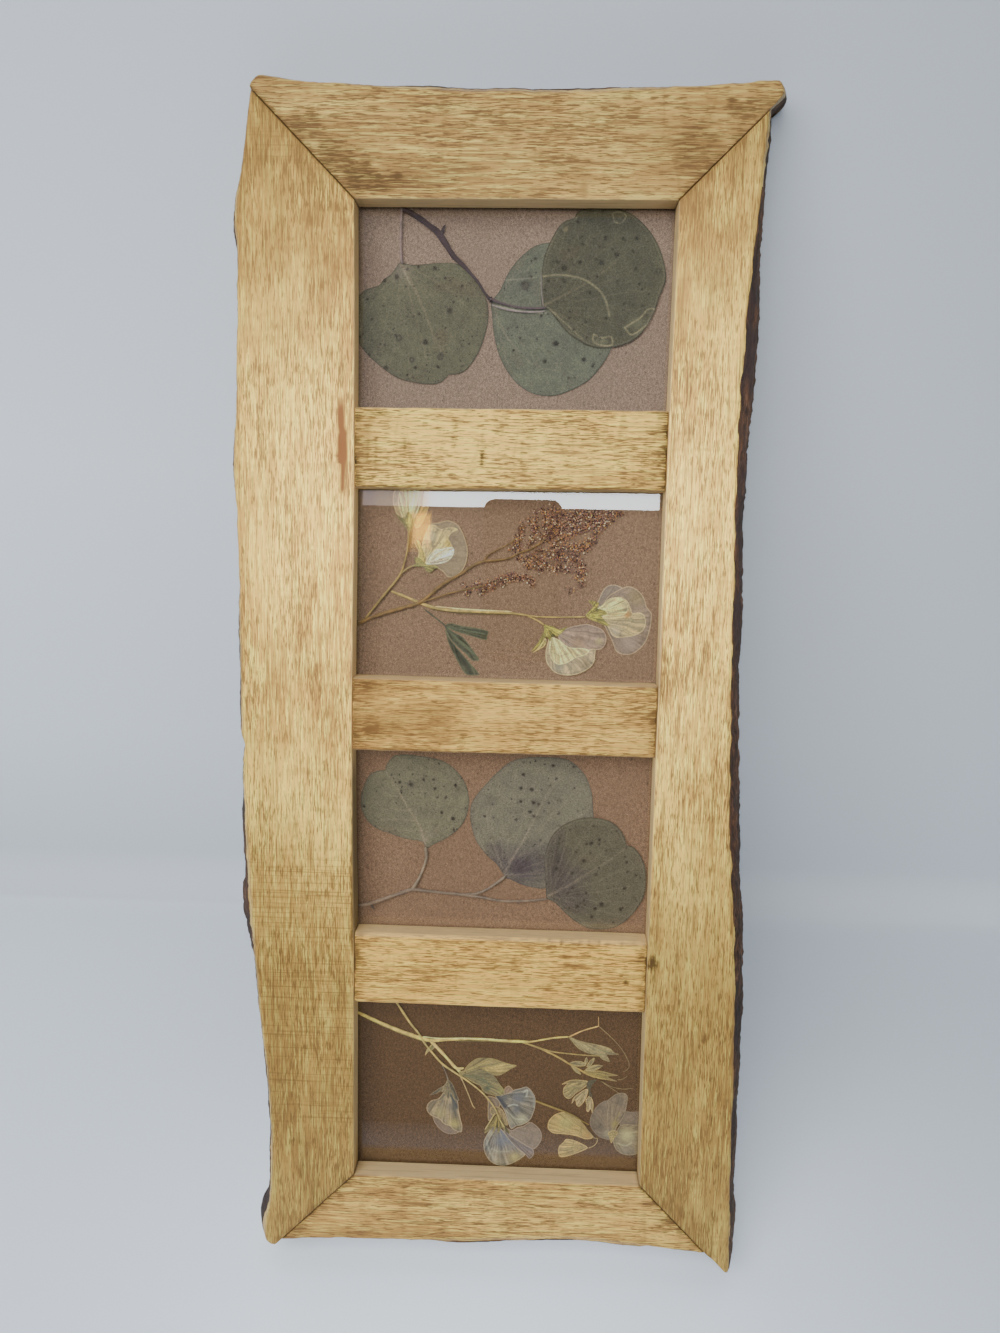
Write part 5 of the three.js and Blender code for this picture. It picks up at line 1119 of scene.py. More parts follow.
eu_leaf("eucalyptus_leaf_1b", LEAF_1B, (-10, -40), 15.0, 111, (0.185, 0.190, 0.138),
        [([(-9, -41), (-6, -50), (0, -58), (10, -67), (20, -69)], 0.45, 0.35), ([(-9, -40), (-4, -33), (4, -24)], 0.4, 0.2), ([(-9, -42), (0, -60), (6, -70)], 0.4, 0.15)],
        [([(-8, -41), (0, -42.6), (8, -43.6), (15, -44)], 0.45, 0.75), ([(-15, -30), (0, -29.5), (10, -28.5)], 0.4, 0.35), ([(11.5, -28), (12, -34), (13, -40)], 0.35, 0.3)],
        [(19, -57.3, 1.1, 0.95), (14.5, -65, 0.8, 0.7), (32, -64, 0.8, 0.8), (9, -20.5, 0.7, 0.6), (3, -55, 0.6, 0.7), (36.5, -66, 0.5, 0.6), (5, -32, 1.8, 0.45), (4, -31, 0.7, 0.6)] + scatter(LEAF_1B, 34, 6),
        [], [(2, -32, 12, 8, (0.13, 0.13, 0.11), 0.5)], gain=(1.14, 1.055, 1.0))
eu_leaf("eucalyptus_leaf_1c", LEAF_1C, (13, -41.5), 14.4, 121, (0.118, 0.124, 0.086),
        [([(13, -41), (18, -38.4), (25, -35), (32, -31), (38, -27), (45, -22)], 0.42, 0.5), ([(15, -42), (25, -47), (34, -54)], 0.35, 0.3), ([(38, -27), (48, -24), (58, -24)], 0.3, 0.15), ([(25, -35), (30, -24), (32, -12)], 0.3, 0.15)],
        [([(12.5, -41.5), (18, -44), (24, -49), (31, -55)], 0.35, 0.5), ([(10, -28.5), (20, -27.5), (30, -29), (37, -33), (41, -38), (43, -45)], 0.5, 0.55),
         ([(20, -6), (23, -3.5), (27, -3)], 0.35, 0.6), ([(43, -1), (46, -0.5), (49, -2), (47, -5), (44, -4.5), (43, -1)], 0.35, 0.55),
         ([(36, -53), (40, -54.5), (44, -54), (44.5, -57.5), (39, -57.6), (36, -56), (36, -53)], 0.4, 0.7), ([(50, -50), (53, -48), (57, -45.5), (60, -42), (63, -42), (62, -46), (58, -50), (53, -53), (50, -50)], 0.4, 0.7)],
        [(40.3, -11.5, 0.8, 0.85), (54, -11.5, 0.7, 0.8), (48, -11.7, 0.6, 0.7), (49, -12.3, 0.5, 0.6), (45.5, -18.5, 1.0, 0.95), (38.7, -22, 1.0, 0.95), (52.5, -17, 0.6, 0.7), (22, -24.5, 1.2, 0.7), (29, -22, 0.8, 0.7), (19, -22, 0.8, 0.6), (30, -14, 0.7, 0.7), (24, -17, 0.6, 0.6), (54, -24.5, 0.7, 0.7), (56, -31, 0.6, 0.6), (22, -30, 0.9, 0.6), (15, -30, 0.8, 0.5), (13.5, -34, 0.7, 0.5), (46, -30, 0.6, 0.6), (25, -46, 0.6, 0.6), (32.5, -47.5, 0.6, 0.6), (49.5, -39.5, 0.6, 0.6), (57.5, -40.5, 0.6, 0.6), (33, -54.5, 0.5, 0.6), (27, -51, 0.5, 0.6)] + scatter(LEAF_1C, 40, 8),
        [(64, -25.5, 1.0, 0.5)],
        [(40, -56, 4, 2.2, (0.24, 0.25, 0.19), 0.8), (56, -47.5, 6, 3.4, (0.22, 0.23, 0.18), 0.8), (46, -2.5, 3, 2.2, (0.2, 0.2, 0.16), 0.7), (22.5, -8, 1.6, 1.6, (0.30, 0.26, 0.18), 1.0)], 0.22, gain=(1.07, 0.875, 0.67))
eu_leaf("eucalyptus_leaf_3a", LEAF_3A, (-37.5, -294.5), 15.0, 131, (0.178, 0.176, 0.118),
        [([(-37.8, -293), (-40, -285), (-44, -278), (-49, -270), (-54, -262), (-57, -257)], 0.6, 0.7), ([(-42, -281), (-50, -280.4), (-60, -281)], 0.4, 0.45), ([(-46, -276), (-53, -275.5), (-60, -276)], 0.4, 0.4), ([(-49, -270), (-54, -268.8), (-59, -267.5)], 0.35, 0.35), ([(-39, -289), (-33, -276), (-30, -262)], 0.4, 0.3), ([(-38, -291), (-30, -282), (-22, -274)], 0.4, 0.25), ([(-39.5, -286), (-48, -286), (-57, -285)], 0.35, 0.3), ([(-43, -279), (-40, -266), (-40, -254)], 0.35, 0.25)],
        [], [(-45, -263, 0.9, 0.8), (-50.3, -262.3, 0.7, 0.8), (-39, -260.5, 0.7, 0.8), (-34, -260.3, 0.6, 0.7), (-33.5, -264.7, 0.7, 0.8), (-23.5, -263, 0.8, 0.8), (-28, -269, 0.6, 0.7), (-30, -276.5, 0.6, 0.7), (-24.5, -279.3, 0.8, 0.8), (-24, -285, 0.6, 0.7), (-18.5, -274, 0.5, 0.6)] + scatter(LEAF_3A, 18, 9),
        [(-45, -263, 1.5, 0.25)], [(-38, -290, 5, 6, (0.27, 0.26, 0.21), 0.6)], gain=(1.46, 1.22, 1.08))
eu_leaf("eucalyptus_leaf_3b", LEAF_3B, (0.8, -307), 15.0, 141, (0.185, 0.178, 0.130),
        [([(0.8, -306), (4, -299), (9, -290), (14, -280), (18, -271), (24, -259)], 0.55, 0.6), ([(-0.5, -303), (-4, -294), (-7, -285), (-8.5, -275)], 0.5, 0.5), ([(1.5, -306.5), (12, -306), (20, -305)], 0.45, 0.4), ([(3, -301), (2, -286), (4, -270)], 0.35, 0.22), ([(4, -299), (16, -292), (26, -282)], 0.35, 0.22), ([(9, -290), (20, -280), (30, -270)], 0.3, 0.16)],
        [], [(23, -252, 0.7, 0.8), (9, -256.8, 0.8, 0.85), (8, -263.5, 0.7, 0.8), (13, -264, 0.9, 0.9), (8, -270, 0.7, 0.8), (14, -270.3, 0.8, 0.8), (16.5, -271, 0.6, 0.7), (12.5, -275, 0.8, 0.8), (14.3, -277, 0.7, 0.7), (-9.3, -277.8, 0.6, 0.7), (-5, -278.3, 0.5, 0.6), (-5.5, -271.5, 0.5, 0.6), (6, -279, 0.6, 0.6), (26.3, -275.3, 0.6, 0.7), (19.3, -274.3, 0.5, 0.6), (21.5, -270.3, 0.5, 0.6)] + scatter(LEAF_3B, 22, 10),
        [], [(9, -303, 19, 14, (0.088, 0.076, 0.074), 1.35), (-3, -296, 6, 9, (0.09, 0.078, 0.076), 0.9), (24, -300, 10, 13, (0.085, 0.072, 0.066), 0.9)], gain=(1.52, 1.3, 1.2))
eu_leaf("eucalyptus_leaf_3c", LEAF_3C, (21.8, -317.3), 14.4, 151, (0.130, 0.124, 0.082),
        [([(22, -316.5), (28, -313), (35, -308.5), (43, -303), (51, -297.5), (60, -290.5)], 0.5, 0.55), ([(23, -316), (30, -318), (40, -324)], 0.35, 0.2), ([(24, -315.5), (27, -303), (30, -290)], 0.35, 0.25), ([(35, -308.5), (46, -310), (58, -308)], 0.3, 0.16), ([(28, -313), (34, -300), (40, -286)], 0.3, 0.2)],
        [], [(27, -287.5, 0.6, 0.7), (42, -289.5, 0.9, 0.85), (46, -287.5, 0.7, 0.8), (46, -290, 0.6, 0.7), (39, -298.2, 0.8, 0.85), (26, -302.5, 0.8, 0.7), (33.5, -304.8, 0.7, 0.7), (45, -305, 0.6, 0.6), (59.5, -298.2, 0.7, 0.7), (60, -303, 0.6, 0.6), (59, -311.5, 0.8, 0.8), (48, -319.8, 1.0, 0.9), (45, -322, 0.8, 0.8), (57.5, -322, 0.7, 0.8), (36.5, -321.3, 0.8, 0.8), (43.5, -326.3, 0.7, 0.8), (34, -312, 0.6, 0.6), (31.5, -314.5, 0.6, 0.6), (36.5, -315, 0.5, 0.6), (39.5, -318, 0.6, 0.6), (65, -317.5, 0.5, 0.6), (21.5, -310.3, 0.5, 0.6)] + scatter(LEAF_3C, 40, 12),
        [], [(29, -310, 16, 15, (0.088, 0.076, 0.074), 1.1), (26, -298, 9, 18, (0.07, 0.062, 0.058), 1.0), (36, -320, 9, 7, (0.09, 0.075, 0.072), 0.8)], 0.12, gain=(1.42, 1.18, 1.0))

# ---------------------------------------------------------------- eucalyptus stems
S1 = Builder()
for k, (line, c) in enumerate([
    ([(-51.8, 4, 2.0), (-50, 0, 2.1), (-47, -1.5, 2.3), (-42, -4.5, 2.3), (-38, -7.3, 2.2), (-35, -9.5, 2.7), (-33, -12, 2.8), (-31, -15, 2.6), (-29, -18, 2.3), (-27, -20.5, 2.2), (-24, -23, 2.0), (-20, -27, 1.4), (-16, -31.5, 1.1), (-13, -36, 1.1), (-11, -38.2, 1.6)], (0.125, 0.088, 0.088)),
    ([(-51, 2, 1.3), (-51.2, -5, 1.15), (-51.3, -12, 1.15), (-51.2, -18, 1.2), (-51.0, -21.5, 1.5), (-50.6, -23.4, 1.9)], (0.27, 0.25, 0.20)),
    ([(-33.4, -10.6, 1.6), (-32.4, -8.8, 1.3), (-31.9, -7.2, 0.9), (-31.2, -6.6, 0.5)], (0.115, 0.08, 0.08)),
    ([(-11, -38.0, 1.6), (-9, -38.9, 1.4), (-7, -39.6, 1.15), (-2, -41, 1.05), (5, -42, 1.0), (12, -42, 0.95), (14.5, -41.6, 0.8)], (0.17, 0.145, 0.125)),
    ([(-10, -40.9, 0.7), (-4, -42.6, 0.8), (3, -43.6, 0.8), (10, -43.7, 0.7), (14, -43.2, 0.5)], (0.28, 0.28, 0.235)),
    ([(13.2, -41.4, 0.6), (12.4, -36, 0.5), (12.2, -31, 0.45), (11.8, -27, 0.4)], (0.26, 0.26, 0.21)),
]):
    v, f, c2 = tube(line, 14.0, 0.6, 8, 0.8, c, 0.1, 200 + k)
    S1.add(v, f, c2)
# the node where three petioles meet: a small ragged knot
for k in range(14):
    r = np.random.default_rng(300 + k)
    x, z = -10.4 + r.normal(0, 0.8), -38.6 + r.normal(0, 0.65)
    L = [(x, z, 0.5), (x + r.uniform(-0.9, 0.9), z + r.uniform(-0.9, 0.9), 0.7), (x + r.uniform(-1.5, 1.5), z + r.uniform(-1.2, 1.2), 0.4)]
    v, f, c2 = tube(L, 13.9 + r.uniform(-0.15, 0.15), 0.8, 6, 0.4, (0.06, 0.045, 0.045), 0.1, 300 + k)
    S1.add(v, f, c2)
S1.obj("eucalyptus_stem_1_twig", m_twig, "eucalyptus_stem_1")

S3 = Builder()
for k, (line, c) in enumerate([
    ([(-74.5, -324.2, 1.7), (-70, -324, 1.7), (-65, -323, 1.6), (-57, -320, 1.6), (-50, -317.3, 1.5), (-44, -315.2, 1.6), (-38, -315.5, 1.3), (-28, -316.3, 1.2), (-18, -317, 1.35), (-10, -318, 1.2), (0, -319.5, 1.1), (8, -319.3, 1.0), (15, -318.8, 1.0), (21.6, -317.8, 1.0)], (0.34, 0.262, 0.205)),
    ([(-43.8, -315, 1.6), (-42.4, -312.5, 1.3), (-40.5, -309, 1.1), (-38.5, -304, 1.1), (-37.2, -299, 1.15), (-37.4, -295.2, 1.5), (-37.6, -293.5, 1.2)], (0.36, 0.29, 0.225)),
    ([(-18, -317, 1.3), (-12, -316, 1.15), (-7, -313.5, 1.1), (-3, -310.5, 1.1), (0.2, -308.0, 1.2), (1.2, -306.6, 0.9)], (0.34, 0.27, 0.215)),
    ([(-64.4, -323, 0.9), (-63.2, -324.4, 0.8), (-62.2, -325.6, 0.5)], (0.20, 0.15, 0.12)),
    ([(7, -319.6, 0.5), (8.4, -321, 0.4)], (0.20, 0.15, 0.12)),
]):
    v, f, c2 = tube([(x, z, w * 1.18) for x, z, w in line], 14.0, 0.62, 8, 0.8, c, 0.1, 210 + k)
    S3.add(v, f, c2)
S3.obj("eucalyptus_stem_3_twig", m_twig, "eucalyptus_stem_3")

# ---------------------------------------------------------------- petals
BOARD = np.array([0.235, 0.150, 0.098])
DRY_2 = np.array([1.06, 0.94, 0.90])  # how far the flowers of the second window have yellowed
DRY_4 = np.array([0.86, 0.70, 0.60])  # and those of the lowest one
DRY_GREEN = np.array([1.04, 0.82, 0.75])


def petal(B, outline, d, rgb, see=0.0, base=None, streak=0.10, rim=0.25, rim_rgb=(0.62, 0.57, 0.42), h=0.9, seed=0, tips=(), thick=0.05, lines=(), dome=0.0):
    """Adds a petal to builder B. see is how much of the brown board's colour is painted into the petal, for the board
    showing through it. tips: (x, z, r, rgb, amount) soft tints.
    lines: (polyline, width, rgb, amount). base is the point that the veins run from."""
    h = 0.36
    vs, fs, back = sheet_mesh(outline, h, seed, 0.45)
    O = catmull(outline, 0.6, closed=True)
    de = dist(vs, O, closed=True)[0]
    DRY = DRY_2 if vs[:, 1].mean() > -250 else (DRY_GREEN if rgb[1] > 0.96 * rgb[0] and rgb[2] < 0.8 * rgb[1] else DRY_4)
    C = np.broadcast_to(np.asarray(rgb, float) * DRY, (len(vs), 3)).copy()
    C *= (1 + 0.07 * fbm(vs[:, 0] / 3, vs[:, 1] / 3, seed=seed + 3))[:, None]
    rel = 0.03 * fbm(vs[:, 0] / 4, vs[:, 1] / 4, seed=seed + 4)
    if base is not None:
        ang = np.arctan2(vs[:, 1] - base[1], vs[:, 0] - base[0])
        rad = np.hypot(vs[:, 0] - base[0], vs[:, 1] - base[1])
        bend = 0.5 * noise(rad / 4, seed=seed + 5)
        v = noise(ang * 13 + bend, rad / 30, seed=seed + 6)
        v2 = noise(ang * 30 + 2 * bend, rad / 12, seed=seed + 7)
        fine = 1 - np.abs(noise(ang * 22 + 1.4 * bend, rad / 18, seed=seed + 9)) * 5
        fine = np.clip(fine, 0, 1) * smoothstep(1.0, 3.5, rad)
        C *= (1 + 1.6 * streak * v + 2.0 * streak * v2)[:, None]
        C = C * (1 - min(2.9 * streak, 0.55) * fine[:, None] * np.array([0.85, 0.95, 1.15]))
        # creases of the crumpled petal: the sheet dips a little along them, and their colour is darkened by up to a
        # quarter, which is painted shade
        crease_and_shade = np.clip(1 - np.abs(fbm(vs[:, 0] / 5.0, vs[:, 1] / 5.0, seed=seed + 10, octaves=2)) * 9, 0, 1)
        C = C * (1 - 0.24 * crease_and_shade)[:, None]
        rel = rel + 0.03 * v + 0.02 * crease_and_shade
    # the board's colour is mixed into the petal where the board would show through: painted see-through
    see_v = see + 0.06 * fbm(vs[:, 0] / 5, vs[:, 1] / 5, seed=seed + 8) if see else np.zeros(len(vs))
    C = C * (1 - see_v)[:, None] + BOARD * np.asarray(see_v)[:, None]
    for x, z, r, c, a in tips:
        g = np.clip(1 - np.hypot(vs[:, 0] - x, vs[:, 1] - z) / r, 0, 1)
        g = g * g * (3 - 2 * g) * a
        C = C * (1 - g)[:, None] + np.asarray(c) * (0.4 + 0.6 * DRY) * g[:, None]
    for line, w, c, a in lines:
        q, t = dist(vs, catmull(np.asarray(line, float), 0.8))
        g = np.exp(-((q / w) ** 2)) * a
        C = C * (1 - g)[:, None] + np.asarray(c) * g[:, None]
    g = np.exp(-(((de - 0.75) / 0.4) ** 2)) * 0.12
    C = C * (1 - g)[:, None]
    g = np.exp(-((de / 0.34) ** 2)) * min(rim * 1.8, 0.85)
    C = C * (1 - g)[:, None] + np.asarray(rim_rgb) * DRY * g[:, None]
    if dome:
        rel = rel - dome * smoothstep(0, 4, de)
    V, F, idx = sheet_solid(vs, fs, back, d - thick / 2 + rel, d + thick / 2 + rel)
    B.add(V, F, np.clip(np.concatenate([C, C[idx] * 0.85]), 0.003, 1))


CREAM = (0.60, 0.555, 0.40)
YELL = (0.52, 0.46, 0.24)
GREENY = (0.36, 0.34, 0.17)
MILK = (0.66, 0.64, 0.54)

# bloom 2a, high on the left, its tip under the rail's lip
B = Builder()
petal(B, [(-49.5, -139.2), (-52, -136), (-54, -131), (-54.5, -127), (-53, -122.5), (-49, -120), (-47, -124), (-47.5, -131), (-48, -136)], 15.1, (0.50, 0.45, 0.30), 0.35, (-47, -141), seed=1)
petal(B, [(-43.5, -141), (-40.5, -138.6), (-38.6, -134), (-37.4, -130), (-37, -125), (-39, -121), (-43, -119), (-46, -122), (-46, -130), (-45, -136)], 15.1, (0.58, 0.47, 0.26), 0.22, (-46, -141), seed=2, tips=[(-40, -137, 6, (0.62, 0.44, 0.18), 0.5)])
petal(B, [(-47.2, -140), (-50, -136), (-51.8, -131), (-52, -127), (-50.5, -123), (-47, -120), (-43.6, -119.4), (-41.6, -123), (-41.6, -128.6), (-43, -134), (-45, -138)], 15.0, CREAM, 0.0, (-47, -142), 0.2, seed=3, tips=[(-47, -136, 6, GREENY, 0.5)], lines=[([(-47, -140), (-49.6, -131), (-49.6, -124)], 0.3, (0.36, 0.33, 0.2), 0.4), ([(-46.6, -139), (-46, -130), (-45, -122)], 0.3, (0.36, 0.33, 0.2), 0.35)])
petal(B, [(-46.6, -142.6), (-49, -140), (-51.5, -137), (-53, -134.6), (-50.6, -136.2), (-48.6, -136), (-47.4, -133.6), (-46, -134.6), (-45, -136.8), (-43.4, -135.6), (-44.6, -139.2)], 14.9, GREENY, 0.0, (-46.6, -142), 0.25, 0.4, (0.22, 0.22, 0.1), h=0.6, seed=4)
B.obj("pea_bloom_2a_petals", m_petal, "pea_bloom_2a", gain=(1.38, 1.34, 1.36))

# bloom 2b: a clear standard behind a folded keel
B = Builder()
petal(B, [(-37, -139), (-33, -138.3), (-29, -137.3), (-25, -138.5), (-22.5, -141.3), (-20.4, -146), (-19.3, -151), (-19.8, -156), (-21.6, -160), (-25, -163), (-28.6, -163.2), (-30.6, -161), (-33, -159.4), (-36, -157), (-38, -150), (-38.5, -143)], 14.5, (0.52, 0.49, 0.36), 0.62, (-40, -157), 0.06, 0.32, (0.60, 0.53, 0.36), seed=11)
petal(B, [(-39.4, -157), (-40.4, -152), (-40.3, -147), (-38.6, -142.4), (-36.6, -139.4), (-34.6, -139.5), (-32, -141.2), (-29, -140.6), (-26, -140.4), (-24, -141.4), (-26.6, -142.7), (-28.4, -145.3), (-27.4, -147.4), (-26.4, -149.6), (-27.6, -151), (-31, -151.6), (-35, -155)], 14.45, (0.57, 0.52, 0.35), 0.10, (-40, -158), 0.14, 0.2, seed=12,
      tips=[(-28, -147.5, 3.6, (0.50, 0.40, 0.16), 0.7), (-37, -145, 5, (0.48, 0.46, 0.38), 0.5)], lines=[([(-28.6, -145), (-27.6, -147), (-28.4, -149)], 0.3, (0.34, 0.26, 0.1), 0.7)])
petal(B, [(-38.8, -157.3), (-38, -154.6), (-36, -152.4), (-34, -150.6), (-31, -150.3), (-28.5, -149.6), (-26, -149.8), (-25.7, -152), (-26.8, -154.4), (-29, -156.2), (-32, -157.2), (-35.6, -157.6)], 14.36, MILK, 0.0, (-39, -157.5), 0.2, 0.35, (0.72, 0.70, 0.58), h=0.6, seed=13, lines=[([(-38, -156.6), (-33, -154.2), (-28, -151.4)], 0.28, (0.42, 0.40, 0.28), 0.5), ([(-36, -153.6), (-31.6, -151.8), (-28, -150.6)], 0.25, (0.44, 0.42, 0.3), 0.4)])
petal(B, [(-44.2, -146.6), (-42.2, -146.8), (-40.6, -149.6), (-39, -153), (-38.6, -157), (-41, -157.4), (-42.4, -154.6), (-42.2, -151.6), (-43.6, -149)], 14.3, YELL, 0.1, (-40, -158), 0.2, 0.3, h=0.6, seed=14)
petal(B, [(-45, -158.4), (-43.4, -157.2), (-44, -154.8), (-42, -154.6), (-40.4, -156), (-39, -157.4), (-35.6, -158), (-32.6, -158.8), (-35, -160), (-36.4, -161.5), (-38.6, -160.6), (-39.6, -158.8), (-42, -158.8)], 14.24, GREENY, 0.0, (-44, -158), 0.2, 0.3, (0.26, 0.26, 0.12), h=0.6, seed=15)
B.obj("pea_bloom_2b_petals", m_petal, "pea_bloom_2b", gain=(1.32, 1.33, 1.37))

# bloom 2c
B = Builder()
petal(B, [(41.6, -174.5), (42.6, -171.5), (44, -168.3), (46, -166.1), (49, -165.4), (52, -166.2), (54, -168), (52, -172), (47, -175.5), (43, -176)], 15.15, (0.46, 0.45, 0.40), 0.42, (40, -180), 0.08, 0.4, (0.60, 0.56, 0.44), seed=21)
petal(B, [(44.6, -174), (47, -170.5), (50, -168.5), (53, -166.8), (56, -166), (59, -167), (62, -169.5), (63.8, -172.6), (64.4, -175), (65.6, -176.6), (66.9, -178.2), (67, -180.5), (66.8, -184), (66, -188), (64.6, -192), (61.4, -195.8), (58, -197.8), (54, -197.9), (51, -196.4), (49.4, -192.5), (47, -188), (45, -184), (43, -179)], 15.05, (0.50, 0.46, 0.39), 0.45, (40, -180.5), 0.12, 0.4, (0.60, 0.55, 0.42), seed=22,
      tips=[(60, -171, 7, (0.42, 0.36, 0.22), 0.6), (57, -193, 7, (0.46, 0.42, 0.38), 0.5)])
petal(B, [(44.6, -174.4), (47, -172), (50, -171.2), (53, -171.3), (55.6, -173), (57, -176), (58.2, -178.4), (61, -178), (63.2, -179), (64.4, -182), (63.8, -185.6), (62, -187.6), (59, -189), (55, -189.8), (51, -190), (49, -189), (47.4, -186), (45.6, -183.6), (42, -181)], 14.95, (0.58, 0.54, 0.39), 0.08, (40, -181), 0.13, 0.35, (0.66, 0.62, 0.47), seed=23,
      tips=[(55.6, -179, 2.4, (0.50, 0.26, 0.10), 0.7), (50, -187, 5, (0.50, 0.47, 0.40), 0.6)], lines=[([(56.6, -176.4), (57.6, -178.6), (55, -181)], 0.35, (0.40, 0.26, 0.12), 0.5), ([(46, -183), (52, -182), (58, -181.6)], 0.3, (0.42, 0.38, 0.25), 0.4)])
petal(B, [(43.4, -175.4), (46.4, -173.2), (49, -171.7), (52.4, -171.6), (55, -173.4), (56, -176.6), (54.6, -179), (50, -179.8), (45, -180), (41, -180.5), (39.6, -178.4)], 14.88, (0.66, 0.63, 0.45), 0.0, (39, -180), 0.16, 0.3, (0.70, 0.67, 0.5), h=0.6, seed=24, lines=[([(42, -179), (47, -177.6), (53, -177)], 0.3, (0.42, 0.38, 0.2), 0.45)])
petal(B, [(36.3, -179.8), (38, -178), (39.6, -175.6), (37.4, -173.2), (40.2, -173.2), (42.4, -174.2), (41.6, -176.4), (45, -177.4), (46.2, -179), (44, -180.3), (45.6, -182.4), (47.6, -184.6), (45, -184.3), (42, -183), (39, -182), (37, -180.9)], 14.85, (0.46, 0.43, 0.20), 0.0, (36.5, -180), 0.25, 0.35, (0.30, 0.29, 0.13), h=0.6, seed=25)
B.obj("pea_bloom_2c_petals", m_petal, "pea_bloom_2c", gain=(1.06, 1.07, 1.12))

# bloom 2d
B = Builder()
petal(B, [(23.6, -188), (26, -187), (28, -186), (32, -184.8), (37, -184), (41, -185), (44.4, -186.6), (46.2, -189.6), (46, -193), (44.4, -195.4), (42, -196), (38, -196.6), (31, -196.6), (26, -194.4), (24, -191)], 14.55, (0.52, 0.47, 0.41), 0.30, (20, -187), 0.10, 0.35, (0.60, 0.55, 0.44), seed=31,
      tips=[(33, -193, 6, (0.44, 0.34, 0.24), 0.5), (43, -192, 3, (0.50, 0.47, 0.30), 0.6)])
petal(B, [(20, -190.5), (18.7, -194), (18.1, -198), (18.5, -202), (20.5, -205), (23, -207.3), (27, -208.3), (31, -208.2), (35, -207), (38.6, -204.8), (40.8, -202), (41.3, -198), (41, -195.6), (36, -196.3), (28, -195), (22.4, -191)], 14.5, (0.58, 0.56, 0.44), 0.22, (20, -188), 0.12, 0.4, (0.66, 0.63, 0.48), seed=32,
      tips=[(24.6, -204.5, 4, (0.36, 0.36, 0.30), 0.7)])
petal(B, [(20.6, -190.6), (19.8, -194), (19.9, -198), (21, -201), (23.6, -203.2), (26.4, -203.1), (29.4, -201.8), (32.6, -199.8), (36, -198.8), (38.6, -196.6), (36, -195.4), (29, -195), (24, -191.6)], 14.42, (0.62, 0.60, 0.44), 0.04, (20.5, -188), 0.16, 0.4, (0.70, 0.67, 0.52), h=0.7, seed=33,
      lines=[([(21, -191), (22.4, -197), (24.6, -202)], 0.3, (0.42, 0.40, 0.24), 0.5), ([(23, -191.6), (28, -198), (31, -200.4)], 0.3, (0.44, 0.42, 0.26), 0.4)])
petal(B, [(16.8, -184.6), (19, -185), (21.4, -185.3), (23.8, -186.8), (27.8, -185.3), (26, -187.8), (23.6, -189.7), (21, -190.3), (20, -192.4), (18.6, -190.4), (17.2, -191.2), (15.6, -193.9), (11.4, -197.5), (14.4, -193.2), (16.2, -189.6), (17.1, -187)], 14.36, (0.42, 0.40, 0.19), 0.0, (17.5, -185), 0.3, 0.35, (0.26, 0.26, 0.11), h=0.6, seed=34)
petal(B, [(18.4, -192.4), (17.2, -195), (14.6, -196.6), (12, -198), (14.6, -195.4), (16.4, -192.8), (17.6, -191)], 14.4, (0.50, 0.46, 0.27), 0.0, (18, -191), 0.2, 0.3, h=0.5, seed=35)
B.obj("pea_bloom_2d_petals", m_petal, "pea_bloom_2d", gain=(1.06, 1.06, 1.1))

# pea stems of window 2
B = Builder()
for k, (line, c) in enumerate([
    ([(-67, -183.5, 1.0), (-60, -174.5, 1.15), (-52, -164.5, 1.15), (-50, -161, 1.0), (-48, -154, 0.95), (-47, -148, 0.95), (-46.6, -142.4, 1.1)], (0.34, 0.30, 0.15)),
    ([(-51, -162.6, 0.9), (-47, -159.5, 0.9), (-44.5, -158.3, 1.0)], (0.36, 0.33, 0.18)),
]):
    v, f, c2 = tube(line, 14.0, 0.6, 8, 0.8, c, 0.12, 220 + k)
    B.add(v, f, c2)
B.obj("pea_stem_2a_stalk", m_green, "pea_stem_2a")
B = Builder()
for k, (line, c) in enumerate([
    ([(-55, -170.5, 1.1), (-48, -173, 1.2), (-42, -175.5, 1.4), (-36, -177.5, 1.6), (-30, -178.7, 1.6), (-20, -179, 1.5), (-10, -179.3, 1.35), (0, -179.5, 1.2), (8, -180.3, 0.8), (14, -181, 0.7), (25, -181, 0.6), (36, -180.6, 0.7)], (0.40, 0.37, 0.19)),
    ([(9, -180.6, 0.7), (14, -182.9, 0.7), (17, -184.8, 0.8)], (0.40, 0.37, 0.19)),
    # a pale thread along the stalk's upper edge and a dark thread along its lower edge: painted highlight and painted
    # shade
    ([(-34, -177.2, 0.5), (-20, -178.2, 0.5), (2, -178.8, 0.4)], (0.52, 0.50, 0.33)),
    ([(-36, -178.3, 0.5), (-22, -180.1, 0.5), (0, -180.3, 0.4)], (0.20, 0.18, 0.08)),
]):
    v, f, c2 = tube(line, 14.5 if k < 2 else 14.28, 0.45, 8, 0.8, c, 0.12, 230 + k)
    B.add(v, f, c2)
B.obj("pea_stem_2b_stalk", m_green, "pea_stem_2b")
